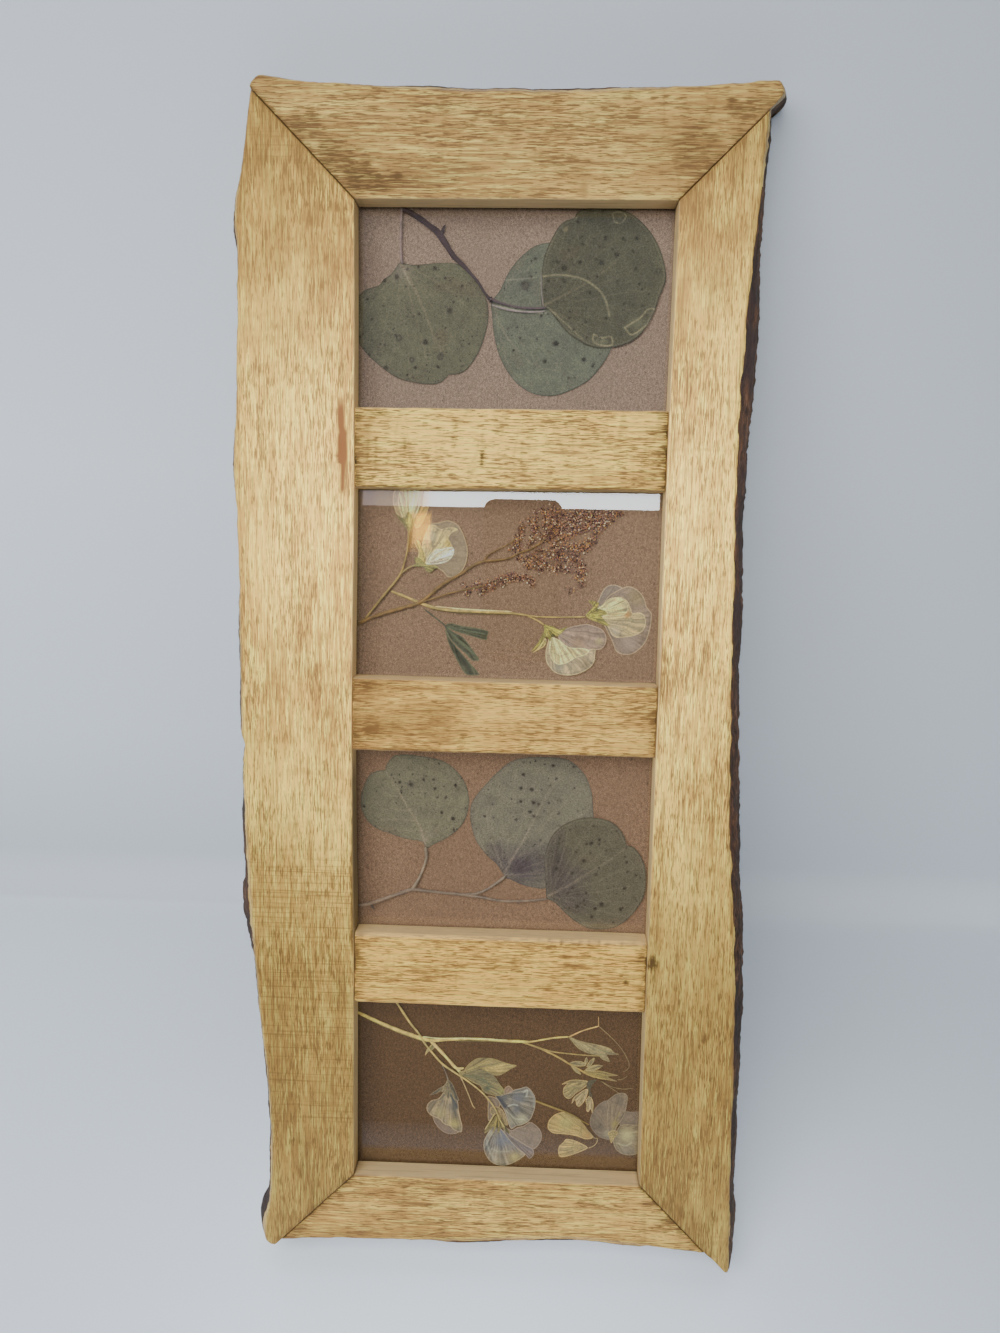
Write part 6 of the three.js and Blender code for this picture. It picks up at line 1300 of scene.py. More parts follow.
# compound leaf of window 2
B = Builder()
v, f, c2 = tube([(-39.3, -178.6, 0.7), (-33, -183.4, 0.7), (-29.4, -186.3, 0.8), (-28.4, -188.4, 0.8)], 14.9, 0.6, 6, 0.8, (0.16, 0.17, 0.10), 0.1, 241)
B.add(v, f, c2)
for k, (o, b) in enumerate([
    ([(-29.6, -186.3), (-27, -185), (-22, -186), (-15, -187), (-9, -188.5), (-9.5, -190.5), (-10, -192.5), (-15, -191.5), (-21, -189.8), (-26, -188.2)], (-29.5, -186.6)),
    ([(-29.4, -186.6), (-26, -188.8), (-21, -191.5), (-18, -195), (-15, -199), (-13, -202), (-16, -202.5), (-20, -199), (-24, -195.5), (-27.5, -191.5)], (-29.3, -187)),
    ([(-29.4, -187.4), (-27.5, -191.7), (-25, -195), (-22, -198.5), (-18, -203), (-14, -207.5), (-13, -209.2), (-19, -209.2), (-22, -205.5), (-25, -200), (-27.8, -194.5)], (-29.2, -188)),
]):
    mid = np.mean(np.asarray(o)[[3, 4, 5, 6]], axis=0)
    petal(B, o, 15.0 + 0.05 * k, (0.165, 0.175, 0.110), 0.0, b, 0.22, 0.5, (0.27, 0.29, 0.19), h=0.6, seed=50 + k, lines=[([b, tuple(mid)], 0.3, (0.25, 0.27, 0.17), 0.7)])
B.obj("pea_leaf_2_leaflets", m_green, "pea_leaf_2")

# ---------------------------------------------------------------- the plume: a brown stem with crowded florets
B = Builder()
PLUME_STEM = [(-74, -188, 1.9), (-68.5, -185, 1.9), (-60, -181.5, 1.8), (-50, -178.3, 1.7), (-42, -175.8, 1.7), (-38, -173, 1.6), (-33, -168.5, 1.6), (-28, -165, 1.5), (-22, -161.5, 1.4), (-17, -158, 1.3), (-12, -155.8, 1.2), (-5, -155, 1.0), (0, -154, 0.9), (5, -151.5, 0.8), (10, -149.5, 0.75), (14, -147, 0.7), (17, -144, 0.6)]
SIDE = [(-40, -175, 0.9), (-35, -173.5, 0.8), (-28, -171, 0.75), (-22, -169.5, 0.7), (-16, -168, 0.7), (-11, -167, 0.6)]
for k, line in enumerate([
    PLUME_STEM, SIDE,
    [(-11.5, -155.6, 0.9), (-10.3, -153.4, 0.8), (-6, -150.5, 0.7), (-1, -148, 0.6), (3, -145, 0.6)],
]):
    v, f, c2 = tube(line, 14.0, 0.6, 8, 0.8, (0.36, 0.235, 0.125), 0.12, 250 + k)
    B.add(v, f, c2)
r0 = np.random.default_rng(255)
for k in range(7):  # small bumps and a bract on the stem
    t = r0.uniform(0.15, 0.62)
    L = catmull(np.array(PLUME_STEM, float), 1.0)
    p = L[int(t * len(L))]
    v, f, c2 = tube([(p[0], p[1], 0.8), (p[0] + 1.3, p[1] + r0.uniform(-0.9, 0.9), 0.4)], 13.95, 0.7, 6, 0.4, (0.26, 0.13, 0.05), 0, 260 + k)
    B.add(v, f, c2)
B.obj("plume_stem_twig", m_twig, "plume_stem")

# branchlets: start, end, how many florets, spread
HEAD = [(-1.5, -149.5), (1, -146), (2.5, -142), (4.5, -139), (5, -136.5), (9, -133.5), (12, -130.5), (15, -128), (19, -127), (22, -128.5), (25, -130.6), (34, -130), (41, -130.2), (47, -130.6), (52, -130.6), (55, -131.6), (50, -135.5), (46.5, -138.5), (43.5, -141.5), (41.8, -146.5), (38.5, -151), (34.5, -154), (36, -157), (38, -160), (36.8, -165), (36.5, -168.8), (33.5, -168.8), (30.5, -165), (29.5, -161.5), (24, -161.8), (19, -162.5), (14, -161.9), (10.5, -161), (6.6, -158.6), (7, -156), (3.6, -155.6), (1, -152.8)]
SPRAY = [(-23.4, -166.3), (-20.6, -164.9), (-17.4, -166.6), (-14.4, -163.2), (-10.6, -163.5), (-7.2, -164.4), (-5, -162), (0, -160.8), (4.4, -159.8), (8.4, -161.6), (12, -162.6), (14.3, -166.6), (10, -167.8), (7.6, -164.6), (2, -164.9), (-1.8, -167.4), (-5, -167), (-8.6, -169.8), (-11, -173.6), (-14.4, -172.8), (-16.6, -170.3), (-18.6, -173.8), (-20.2, -172), (-20.2, -168.7)]
BRANCHES = [
    ((14, -147), (20, -128.5)), ((9, -149), (12, -131.5)), ((5, -151.5), (6, -137.5)), ((2, -150), (3.5, -143)), ((17, -144), (26, -131.5)), ((16, -145), (33, -131)),
    ((17, -145), (41, -131)), ((18, -146), (52, -131.5)), ((20, -147), (46, -137)), ((20, -148), (41, -144)), ((19, -149), (38, -149)), ((16, -150), (33, -152.5)),
    ((12, -150), (27, -154)), ((20, -151), (34, -156)), ((28, -154), (36.5, -160)), ((33, -157), (34.5, -167.5)), ((10, -152), (24, -159.5)), ((8, -153), (16, -160.5)),
    ((5, -153), (10, -159.5)), ((24, -146), (31, -137)), ((26, -143), (40, -136)), ((30, -150), (38, -146)), ((3, -153.5), (8, -155.5)), ((0, -150.5), (-0.5, -149.5)),
    ((36, -137), (50, -131.2)), ((42, -137), (53.5, -132)), ((42, -140), (48, -134)), ((38, -146), (42.5, -139)), ((40, -134), (46, -131)), ((28, -133), (37, -131)),
    ((16, -140), (15, -130)), ((12, -143), (8, -135)), ((22, -140), (23, -131)), ((35, -140), (45, -133.5)), ((22, -156), (29, -160)), ((34, -158), (31.5, -164)),
]
SPRAYS = [
    ((-22, -167.5), (-19.5, -166)), ((-19, -168.5), (-19.3, -172.5)), ((-16, -168), (-17, -165.5)), ((-14, -167.6), (-14, -164.3)), ((-13, -167.5), (-13, -172)), ((-11, -167), (-11.3, -171.5)),
    ((-10, -166.8), (-7.5, -165)), ((-10, -166.8), (-6, -168.5)), ((-7, -166), (-3, -162.5)), ((-5, -165.4), (2, -162)), ((-2, -165), (6, -162)), ((3, -163), (9, -162.5)), ((8, -163), (12.5, -165.5)), ((-4, -166), (-1, -166.8)), ((-2, -163), (3, -161)), ((9, -165), (12, -167)),
]


def floret_cluster(B, branches, area, per_mm, seed, stray=0.05):
    r = np.random.default_rng(seed)
    # a unit blob: a squashed octahedron-like bud with 8 + 4 points
    u = [(0, 0, 1), (0, 0, -1)]
    for k in range(5):
        a = 2 * math.pi * k / 5
        u.append((math.cos(a), math.sin(a), 0.45))
        u.append((math.cos(a + 0.63), math.sin(a + 0.63), -0.45))
    u = np.array(u)
    top, bot = 0, 1
    up = [2 + 2 * k for k in range(5)]
    lo = [3 + 2 * k for k in range(5)]
    tri = []
    for k in range(5):
        k2 = (k + 1) % 5
        tri += [(top, up[k], up[k2]), (up[k], lo[k], up[k2]), (up[k2], lo[k], lo[k2]), (bot, lo[k2], lo[k])]
    palette = [((0.43, 0.26, 0.185), 0.29), ((0.265, 0.15, 0.135), 0.25), ((0.088, 0.049, 0.053), 0.17), ((0.55, 0.33, 0.175), 0.11), ((0.63, 0.48, 0.38), 0.12), ((0.36, 0.26, 0.24), 0.06)]
    cols = np.array([p[0] for p in palette])
    prob = np.array([p[1] for p in palette])
    A = np.asarray(area, float)
    for (x0, z0), (x1, z1) in branches:
        L = math.hypot(x1 - x0, z1 - z0)
        # branchlet thread
        bend = r.uniform(-0.12, 0.12) * L
        mx, mz = (x0 + x1) / 2 - (z1 - z0) / max(L, 1) * bend, (z0 + z1) / 2 + (x1 - x0) / max(L, 1) * bend
        line = catmull(np.array([(x0, z0, 0.55), (mx, mz, 0.42), (x1, z1, 0.3)]), 1.2)
        if L > 3:
            v, f, c2 = tube(line, 14.55, 0.7, 5, 1.2, (0.20, 0.10, 0.055), 0.1, seed)
            B.add(v, f, c2)
        count = int(L * per_mm)
        for _ in range(count):
            t = r.beta(1.25, 0.95)
            k = min(len(line) - 1, int(t * (len(line) - 1)))
            side = r.normal(0, 0.45 + 0.55 * (1 - t) ** 0.7 + 0.45 * t)
            tx, tz = (x1 - x0) / max(L, 1e-6), (z1 - z0) / max(L, 1e-6)
            x = line[k, 0] - tz * side + tx * r.normal(0, 0.7)
            z = line[k, 1] + tx * side + tz * r.normal(0, 0.7)
            if not inside(np.array([[x, z]]), A)[0] and r.random() > stray:
                continue
            rad = r.uniform(0.17, 0.36)
            q = u * rad * r.uniform(0.75, 1.25, 3)
            a, b = r.uniform(0, 2 * math.pi), r.uniform(0, math.pi)
            ca, sa, cb, sb = math.cos(a), math.sin(a), math.cos(b), math.sin(b)
            R = np.array([[ca, -sa, 0], [sa, ca, 0], [0, 0, 1]]) @ np.array([[cb, 0, sb], [0, 1, 0], [-sb, 0, cb]])
            q = (q * (1 + 0.16 * r.normal(size=(len(q), 1)))) @ R.T
            d = 14.85 - abs(r.normal(0, 0.42))
            d = max(d, 13.9)
            V = np.stack([x + q[:, 0], d + q[:, 1] * 0.6, z + q[:, 2]], 1)
            c = cols[r.choice(len(cols), p=prob)] * r.uniform(0.72, 1.3)
            cc = c * (1 + 0.22 * r.normal(size=(len(q), 1)))
            B.add(V, tri, np.clip(cc, 0.01, 0.9))


B = Builder()
floret_cluster(B, BRANCHES, HEAD, 10.5, 400)
for _ in range(1):
    floret_cluster(B, [((28, -168.5), (30.5, -168.5))], [(26, -166), (33, -166), (33, -171), (26, -171)], 7, 402, 0.0)
B.obj("plume_head_florets", m_plume, "plume_head", smooth=False)
B = Builder()
floret_cluster(B, SPRAYS, SPRAY, 12.0, 401)
B.obj("plume_spray_florets", m_plume, "plume_spray", smooth=False)

# ---------------------------------------------------------------- window 4
STRAW = (0.48, 0.42, 0.22)
B = Builder()
for k, (line, c, dz) in enumerate([
    ([(-75, -377.4, 1.6), (-70, -379.5, 1.6), (-60, -384, 1.8), (-50, -388, 1.9), (-40, -391.3, 2.0), (-34, -392.6, 2.0), (-28, -392, 1.7), (-18, -391.3, 1.4), (-8, -391, 1.3), (2, -391.5, 1.25), (10, -391.5, 1.4), (15, -391.5, 1.0), (20, -390.5, 0.85), (27, -389, 0.85), (34, -388.2, 1.0)], (0.50, 0.44, 0.22), 0),
    ([(-34.4, -392.6, 1.5), (-29, -398.2, 1.6), (-25, -402.6, 1.5), (-21, -406.8, 1.5), (-17.5, -406.6, 1.4)], (0.52, 0.46, 0.25), 0),
    ([(-33, -393.8, 1.0), (-27.5, -400, 1.1), (-22.5, -405.4, 1.1), (-19.0, -409.0, 1.4)], (0.50, 0.46, 0.27), 0.1),
    ([(11, -391.8, 1.0), (18, -394, 1.0), (24, -396.5, 1.0), (30, -399.5, 1.0), (35, -402.5, 0.9), (39, -404.6, 0.8), (44, -407.5, 0.9), (48, -409, 0.8)], (0.40, 0.33, 0.15), 0),
    ([(19, -394.2, 0.7), (26, -396.2, 0.7), (34, -397, 0.65), (42, -397.5, 0.6), (50, -397.7, 0.5)], (0.38, 0.32, 0.15), 0),
    # a pale thread along the upper edge of the stalk and dark threads along its lower edge: painted highlight and
    # painted shade
    ([(-38, -390.6, 0.5), (-30, -391.2, 0.5), (-16, -390.6, 0.45), (4, -390.9, 0.4)], (0.62, 0.57, 0.36), -0.3),
    ([(-66, -382.3, 0.4), (-50, -389, 0.5), (-36, -393.6, 0.4)], (0.27, 0.23, 0.10), -0.25),
    ([(-22, -392.4, 0.45), (-6, -391.9, 0.45), (9, -392.3, 0.4)], (0.24, 0.22, 0.09), -0.2),
]):
    v, f, c2 = tube(line, 14.5 + dz, 0.5, 8, 0.8, c, 0.12, 270 + k)
    B.add(v, f, c2)
petal(B, [(-32.4, -393.4), (-34.4, -395.4), (-36, -397.4), (-36.8, -400.6), (-35.2, -398.6), (-33.2, -397.4), (-31.6, -395.4)], 14.3, (0.34, 0.36, 0.20), 0, (-32, -393), 0.2, 0.3, h=0.5, seed=280)
petal(B, [(-20, -408.4), (-17.6, -407.8), (-15.8, -407.2), (-17.4, -409.0), (-18.2, -410.6), (-19.4, -410)], 14.2, (0.44, 0.42, 0.26), 0, (-20, -409), 0.1, 0.2, h=0.5, seed=281)
B.obj("pea_stem_4a_stalk", m_green, "pea_stem_4a", gain=(1.18, 1.22, 1.28))

B = Builder()
for k, (line, c) in enumerate([
    ([(-54.4, -368.5, 1.1), (-52.5, -371, 1.1), (-48, -378, 1.1), (-44, -384, 1.1), (-40, -389, 1.0), (-37, -394, 1.0), (-33, -399, 1.0), (-28, -404.5, 1.0), (-22, -408.7, 1.0), (-19, -410.6, 1.0), (-14, -414, 0.9), (-8, -419, 0.8), (-4, -423.5, 0.8), (-1, -428, 0.8), (1, -433, 0.7), (3.4, -437, 0.7)], (0.42, 0.37, 0.19)),
    ([(-28.4, -404.6, 0.5), (-26.4, -409, 0.45), (-25.1, -412.9, 0.8)], (0.24, 0.22, 0.15)),
    ([(-19.2, -410.6, 0.7), (-17.5, -414, 0.6), (-15, -420, 0.5), (-12.6, -426, 0.45), (-11.4, -427.6, 0.35)], (0.40, 0.35, 0.20)),
    ([(-1.6, -429.6, 0.6), (-3.6, -433.6, 0.7), (-6.4, -438.6, 0.5)], (0.40, 0.36, 0.20)),
]):
    v, f, c2 = tube(line, 13.95, 0.55, 8, 0.8, c, 0.12, 290 + k)
    B.add(v, f, c2)
B.obj("pea_stem_4b_stalk", m_green, "pea_stem_4b", gain=(1.18, 1.22, 1.28))

B = Builder()
petal(B, [(-17.2, -408.4), (-15.4, -405), (-13, -402.8), (-11, -401.5), (-7, -401), (-3, -401.3), (1, -402.5), (5, -403.8), (8.7, -404.6), (5, -407), (1, -409.8), (-3, -410.2), (-9, -409.8), (-13.6, -409.2)], 15.05, (0.40, 0.39, 0.225), 0, (-18, -409), 0.14, 0.25, (0.30, 0.30, 0.16), seed=301, lines=[([(-17, -408.6), (-8, -404.8), (6, -404.6)], 0.3, (0.30, 0.30, 0.17), 0.3)])
B.obj("pea_leaf_4a_blade", m_green, "pea_leaf_4a", gain=(1.27, 1.28, 1.3))
B = Builder()
petal(B, [(-18, -410), (-14, -407.8), (-9.5, -406.4), (-6, -407.8), (-2, -410.6), (0.4, -414), (3, -418), (2, -420), (-1, -420.6), (-4, -420), (-7.6, -418.6), (-9.2, -415.6), (-12, -414.4), (-15, -412.6)], 14.45, (0.33, 0.33, 0.20), 0, (-19, -410), 0.18, 0.25, (0.40, 0.41, 0.27), seed=302,
      tips=[(-5.5, -416.8, 2.6, (0.10, 0.13, 0.07), 0.85), (-8, -413.5, 3.4, (0.19, 0.20, 0.115), 0.6), (1.4, -418, 3, (0.38, 0.38, 0.17), 0.7)], lines=[([(-18, -410), (-8, -412.2), (-3, -416)], 0.35, (0.15, 0.19, 0.11), 0.6), ([(-8, -406.6), (-4, -408.6), (-1, -411.4)], 0.35, (0.19, 0.22, 0.12), 0.5)])
B.obj("pea_leaf_4b_blade", m_green, "pea_leaf_4b", gain=(1.12, 1.15, 1.2))

BLUEG = (0.33, 0.355, 0.345)
B = Builder()  # the bud on the left
petal(B, [(-29, -434.6), (-32.6, -433), (-32, -436), (-29.6, -439.4), (-26, -442), (-22, -442.3), (-19.4, -440.9), (-21, -437), (-25, -435)], 15.15, (0.42, 0.38, 0.35), 0.35, (-24, -420), 0.05, 0.45, (0.55, 0.51, 0.44), seed=311)
petal(B, [(-25.4, -416.5), (-27.5, -420), (-30, -423.4), (-33.6, -424.8), (-35.6, -427.2), (-35.6, -430.3), (-33.4, -432.8), (-29.4, -434.4), (-27, -437), (-24, -438), (-22, -440), (-18.4, -441), (-17.8, -438), (-18.6, -434.6), (-19.6, -430), (-20, -426), (-21, -420.4), (-23, -416.4)], 15.0, (0.40, 0.40, 0.32), 0.08, (-25, -414), 0.22, 0.45, (0.56, 0.54, 0.44), seed=312,
      tips=[(-22.4, -427.5, 5.5, (0.185, 0.185, 0.17), 0.75), (-29, -431, 5, (0.46, 0.43, 0.27), 0.6), (-22, -437, 5, (0.52, 0.48, 0.28), 0.8), (-25, -419, 5, (0.26, 0.28, 0.24), 0.7)],
      lines=[([(-24, -421.5), (-22, -424.5), (-20.6, -428)], 0.6, (0.09, 0.10, 0.10), 0.8), ([(-29.6, -424), (-27, -421.6), (-25.6, -418.6)], 0.35, (0.18, 0.18, 0.12), 0.6), ([(-28, -424.6), (-28.6, -430), (-27, -436)], 0.35, (0.26, 0.26, 0.2), 0.35)])
petal(B, [(-25.4, -413.2), (-27, -416), (-30.4, -418.4), (-34.4, -421.8), (-31, -420.9), (-28.6, -419.6), (-26.4, -421.5), (-24.8, -423.6), (-24, -420), (-22.2, -423.2), (-19.6, -424.3), (-21, -420.5), (-22.6, -416)], 14.92, (0.31, 0.31, 0.23), 0, (-25, -413), 0.25, 0.3, (0.42, 0.40, 0.30), h=0.55, seed=313)
B.obj("pea_bud_4a_petals", m_petal, "pea_bud_4a", gain=(0.88, 0.92, 0.9))

B = Builder()  # blue bloom, upper
petal(B, [(-5.9, -421.6), (-5.2, -424.5), (-5.2, -429), (-4.7, -434.6), (-2.6, -432.6), (0, -428.6), (1, -424), (-2.6, -421.6)], 15.15, (0.40, 0.37, 0.33), 0.42, (-4, -420), 0.1, 0.4, seed=321)
petal(B, [(-3.8, -427.2), (-1.6, -426.6), (1.4, -427.6), (3.6, -431), (5, -436.2), (4, -436.6), (1, -433.5), (-0.4, -430.6), (-2.6, -431.6), (-3.9, -430)], 15.05, (0.46, 0.42, 0.30), 0.12, (0, -424), 0.16, 0.35, seed=322)
petal(B, [(2.6, -418.4), (3.2, -416.6), (5, -415.3), (7, -417.1), (8, -419.6), (6, -421.4), (3.4, -421)], 15.0, (0.44, 0.37, 0.32), 0.12, (3, -421), 0.12, 0.35, h=0.6, seed=323)
petal(B, [(-1.6, -420.4), (2, -420.2), (6, -418.6), (8, -417.2), (11, -416.4), (14, -415.5), (16.8, -418), (18.5, -421.5), (18.4, -426), (17.6, -429.4), (15.8, -433.4), (12, -436), (9.6, -436.5), (6.8, -438.2), (5.6, -436.4), (4.4, -432.6), (3, -428.6), (0.6, -424.6)], 14.95, (0.35, 0.365, 0.34), 0.06, (0, -420), 0.22, 0.5, (0.55, 0.54, 0.48), seed=324,
      tips=[(10, -421.5, 5.5, (0.24, 0.25, 0.275), 0.85), (9, -428, 3.4, (0.21, 0.213, 0.233), 0.8), (12, -433, 5, (0.47, 0.465, 0.36), 0.75), (6, -433.6, 4, (0.42, 0.42, 0.33), 0.6), (3, -422, 3, (0.15, 0.15, 0.16), 0.7)],
      lines=[([(-1, -420.8), (1, -423), (3.4, -426.4)], 1.1, (0.062, 0.060, 0.070), 0.9), ([(5, -426.2), (7.4, -425.2), (9.6, -425.6)], 0.35, (0.55, 0.55, 0.50), 0.6), ([(12.6, -418.4), (14.4, -417.2), (14, -420.6)], 0.4, (0.56, 0.55, 0.50), 0.6), ([(15.6, -417.6), (17.6, -421), (17.8, -426)], 0.4, (0.52, 0.51, 0.46), 0.4), ([(4, -428.6), (8.6, -432.6), (13, -433)], 0.35, (0.55, 0.54, 0.44), 0.4)])
B.obj("pea_bloom_4a_petals", m_petal, "pea_bloom_4a", gain=(1.08, 1.12, 1.12))

B = Builder()  # blue bloom, lower
petal(B, [(4.4, -437.6), (7, -438.7), (10, -437), (13, -436), (16, -434), (19, -435.5), (21.7, -439), (22, -443), (20.4, -446.4), (18.2, -448.4), (15, -447), (10, -444), (6.4, -441.6)], 14.55, (0.40, 0.37, 0.335), 0.34, (2, -436), 0.06, 0.45, (0.52, 0.48, 0.42), seed=331)
petal(B, [(3, -438.6), (6.4, -441.6), (11, -444.6), (15, -447), (18, -448.6), (18.2, -451.4), (16.4, -453.6), (14.6, -452), (11, -449), (5, -444)], 14.5, (0.34, 0.325, 0.345), 0.15, (1, -438), 0.15, 0.4, (0.48, 0.46, 0.45), seed=332)
petal(B, [(-1.8, -436.4), (-3.6, -438.6), (-5.4, -441.6), (-6.9, -445.6), (-6.6, -450), (-4.6, -454.4), (-1.6, -457), (2.6, -458), (6.4, -457), (10, -455), (12.4, -453.2), (14, -451.4), (10, -448), (6, -443.6), (3.4, -440), (1, -437.6)], 14.45, (0.36, 0.36, 0.335), 0.04, (0, -436), 0.22, 0.5, (0.55, 0.53, 0.45), seed=333,
      tips=[(2, -444.6, 5.6, (0.237, 0.247, 0.275), 0.9), (9, -453.4, 5.4, (0.48, 0.43, 0.26), 0.85), (1, -456.4, 5, (0.44, 0.42, 0.33), 0.6), (-4, -440.6, 3, (0.52, 0.51, 0.43), 0.7), (0, -451, 4, (0.40, 0.39, 0.33), 0.5)],
      lines=[([(1, -438), (4, -442.6), (9, -447)], 0.8, (0.21, 0.22, 0.255), 0.75), ([(-5.6, -443.6), (-4.4, -449), (-1.6, -454.6)], 0.5, (0.50, 0.49, 0.42), 0.4), ([(-3, -449), (1, -450.4), (6, -450)], 0.4, (0.50, 0.48, 0.38), 0.35)])
petal(B, [(-0.6, -431), (1.6, -433.2), (4, -436.6), (6.2, -440), (4.4, -440), (2, -437.4), (0.4, -440.4), (-0.6, -437.6), (-2.4, -440.8), (-2, -437), (-4.4, -439.6), (-6.8, -440.8), (-5.2, -437.6), (-3, -434.4)], 14.38, (0.40, 0.36, 0.19), 0, (0, -430), 0.3, 0.3, (0.30, 0.27, 0.13), h=0.55, seed=334)
B.obj("pea_bloom_4b_petals", m_petal, "pea_bloom_4b", gain=(1.12, 1.18, 1.18))

B = Builder()
petal(B, [(34.2, -388.6), (40, -390.4), (46, -391.6), (52, -392.8), (55, -394), (57, -396), (59.2, -396.6), (56.2, -397.1), (53.2, -397.2), (54.2, -399.2), (54.9, -400.8), (51, -399.6), (49, -397.8), (45, -397), (41, -395.5), (38, -393.5), (36, -391)], 15.0, (0.42, 0.43, 0.28), 0, (34, -388), 0.13, 0.25, (0.30, 0.31, 0.18), h=0.7, seed=341, lines=[([(34.6, -389), (42, -393), (54, -395.6)], 0.3, (0.32, 0.33, 0.2), 0.35), ([(49.6, -397.2), (53.2, -397.2)], 0.3, (0.2, 0.2, 0.12), 0.6)])
B.obj("pea_leaf_4c_blade", m_green, "pea_leaf_4c", gain=(1.12, 1.12, 1.2))
B = Builder()
for k, line in enumerate([
    [(34.2, -388, 0.8), (41, -384.5, 0.7), (48.6, -381.9, 0.75)], [(48.6, -382, 0.6), (48.5, -379.6, 0.45), (48.4, -377, 0.4)],
    [(48.8, -382, 0.5), (55, -387.5, 0.34), (60, -393, 0.32), (63.3, -398.5, 0.32), (64.3, -402, 0.32), (63, -404.4, 0.3), (61.2, -405.2, 0.25)],
    [(58.5, -409.6, 0.3), (61.4, -409, 0.3), (63.6, -407.4, 0.25)], [(50.6, -410.6, 0.4), (56, -413.3, 0.34), (62, -414.3, 0.3), (66.6, -413.6, 0.25)],
    [(52, -411.6, 0.35), (57, -414.8, 0.3), (60.6, -417.2, 0.25)],
]):
    v, f, c2 = tube(line, 14.0, 0.7, 6, 0.7, (0.50, 0.42, 0.24) if k < 2 else (0.36, 0.28, 0.16), 0.1, 350 + k)
    B.add(v, f, c2)
B.obj("pea_tendril_4_threads", m_green, "pea_tendril_4")

B = Builder()  # first bud cluster
PB = (0.50, 0.475, 0.32)
for k, (o, b, c) in enumerate([
    ([(34.8, -402.4), (37, -401.2), (40, -401), (42.6, -402), (43, -403.2), (40, -403.8), (37, -403.5)], (43, -403), PB),
    ([(35.6, -403), (37.4, -404.2), (39.6, -406), (40.8, -408), (38.4, -407), (36.6, -405.2)], (35, -402.6), PB),
    ([(43.2, -398.8), (43.9, -400.4), (43.4, -402.4), (42.6, -402.6), (42.3, -400.8)], (43, -404), PB),
    ([(43.4, -403.8), (44, -402), (45.4, -400), (47.2, -399), (47, -400.6), (46, -402.4), (44.6, -404)], (43, -405), PB),
    ([(42.8, -405.4), (45, -403.6), (47.6, -402.6), (51.4, -402.9), (50.2, -404), (48, -405.4), (45.4, -406)], (42, -406), PB),
    ([(42, -405.8), (46, -405.9), (50, -405.6), (54.6, -406.6), (59, -407.8), (54.6, -408.3), (54, -408.8), (58.6, -410.8), (54, -410.3), (49, -409.6), (45, -408.3)], (42, -406), (0.46, 0.41, 0.22)),
]):
    petal(B, o, 15.0 - 0.03 * k, c, 0.0, b, 0.16, 0.3, (0.60, 0.56, 0.40), h=0.5, seed=360 + k)
B.obj("pea_buds_4b_petals", m_petal, "pea_buds_4b", gain=(1.1, 1.17, 1.2))
B = Builder()  # second bud cluster
for k, (o, b, c) in enumerate([
    ([(31.4, -413.6), (33.6, -412), (36.6, -411), (41, -410.9), (44.6, -411.6), (44, -413.4), (41.8, -415.6), (38.6, -418), (36.4, -420.4), (34.8, -421.1), (33, -420), (32.1, -417.6), (32.6, -415), (34.2, -413)], (45, -411), (0.47, 0.455, 0.32)),
    ([(44.4, -415.6), (44.1, -419), (42.6, -422.4), (40.6, -424.9), (39.2, -424.6), (38.2, -421.6), (36.6, -423.6), (37.4, -420.4), (40.4, -417.6), (42.6, -416)], (45, -414), (0.47, 0.46, 0.36)),
    ([(45.4, -419), (47, -421.6), (47.4, -424.6), (46.9, -428.2), (46, -426), (45, -427.6), (44, -427), (44, -424), (43.4, -421.6), (44.4, -420)], (45.5, -417), (0.46, 0.45, 0.35)),
]):
    petal(B, o, 15.0 - 0.03 * k, c, 0.05, b, 0.2, 0.35, (0.60, 0.57, 0.43), h=0.5, seed=370 + k, lines=[([(34, -414.4), (35.4, -417), (38, -414.6)], 0.35, (0.28, 0.25, 0.14), 0.6)] if k == 0 else ())
petal(B, [(44.4, -411.4), (46.4, -410.6), (48.4, -410.6), (46.6, -413), (45.6, -416), (46.6, -419.4), (45.4, -419.6), (44.6, -416), (43.6, -413.6)], 14.9, (0.17, 0.17, 0.12), 0.1, (46, -411), 0.15, 0.2, (0.2, 0.2, 0.14), h=0.5, seed=378)
B.obj("pea_buds_4c_petals", m_petal, "pea_buds_4c", gain=(0.98, 1.06, 0.92))

B = Builder()
petal(B, [(47.4, -440.2), (45.2, -437.2), (42, -433.2), (38.5, -430), (34, -428.4), (30, -428.9), (27, -431), (25.2, -434), (25.2, -437.4), (27.6, -439.6), (33, -440), (39, -440.7), (44, -442.2), (47.3, -441.6)], 15.0, (0.57, 0.53, 0.34), 0.0, (48, -441), 0.12, 0.45, (0.70, 0.66, 0.48), h=0.6, seed=381,
      tips=[(45, -440.6, 4.6, (0.50, 0.34, 0.16), 0.7), (34, -434, 6, (0.50, 0.50, 0.30), 0.6)], lines=[([(39.6, -430.6), (42, -434.6), (44.4, -437.4)], 0.3, (0.50, 0.34, 0.18), 0.5)])
B.obj("pea_petal_4a_petal", m_petal, "pea_petal_4a")
B = Builder()
petal(B, [(45.2, -446.8), (42, -444.6), (38, -443), (34.4, -442.6), (33, -444.4), (31, -446.6), (30.6, -450), (31.6, -452.3), (35, -451.9), (39, -450.3), (43, -448.5)], 15.0, (0.57, 0.54, 0.36), 0.0, (46, -446), 0.14, 0.45, (0.68, 0.65, 0.48), h=0.6, seed=382, lines=[([(34.6, -446), (36.4, -448), (38.6, -446.4)], 0.35, (0.40, 0.36, 0.2), 0.35)])
B.obj("pea_petal_4b_petal", m_petal, "pea_petal_4b")

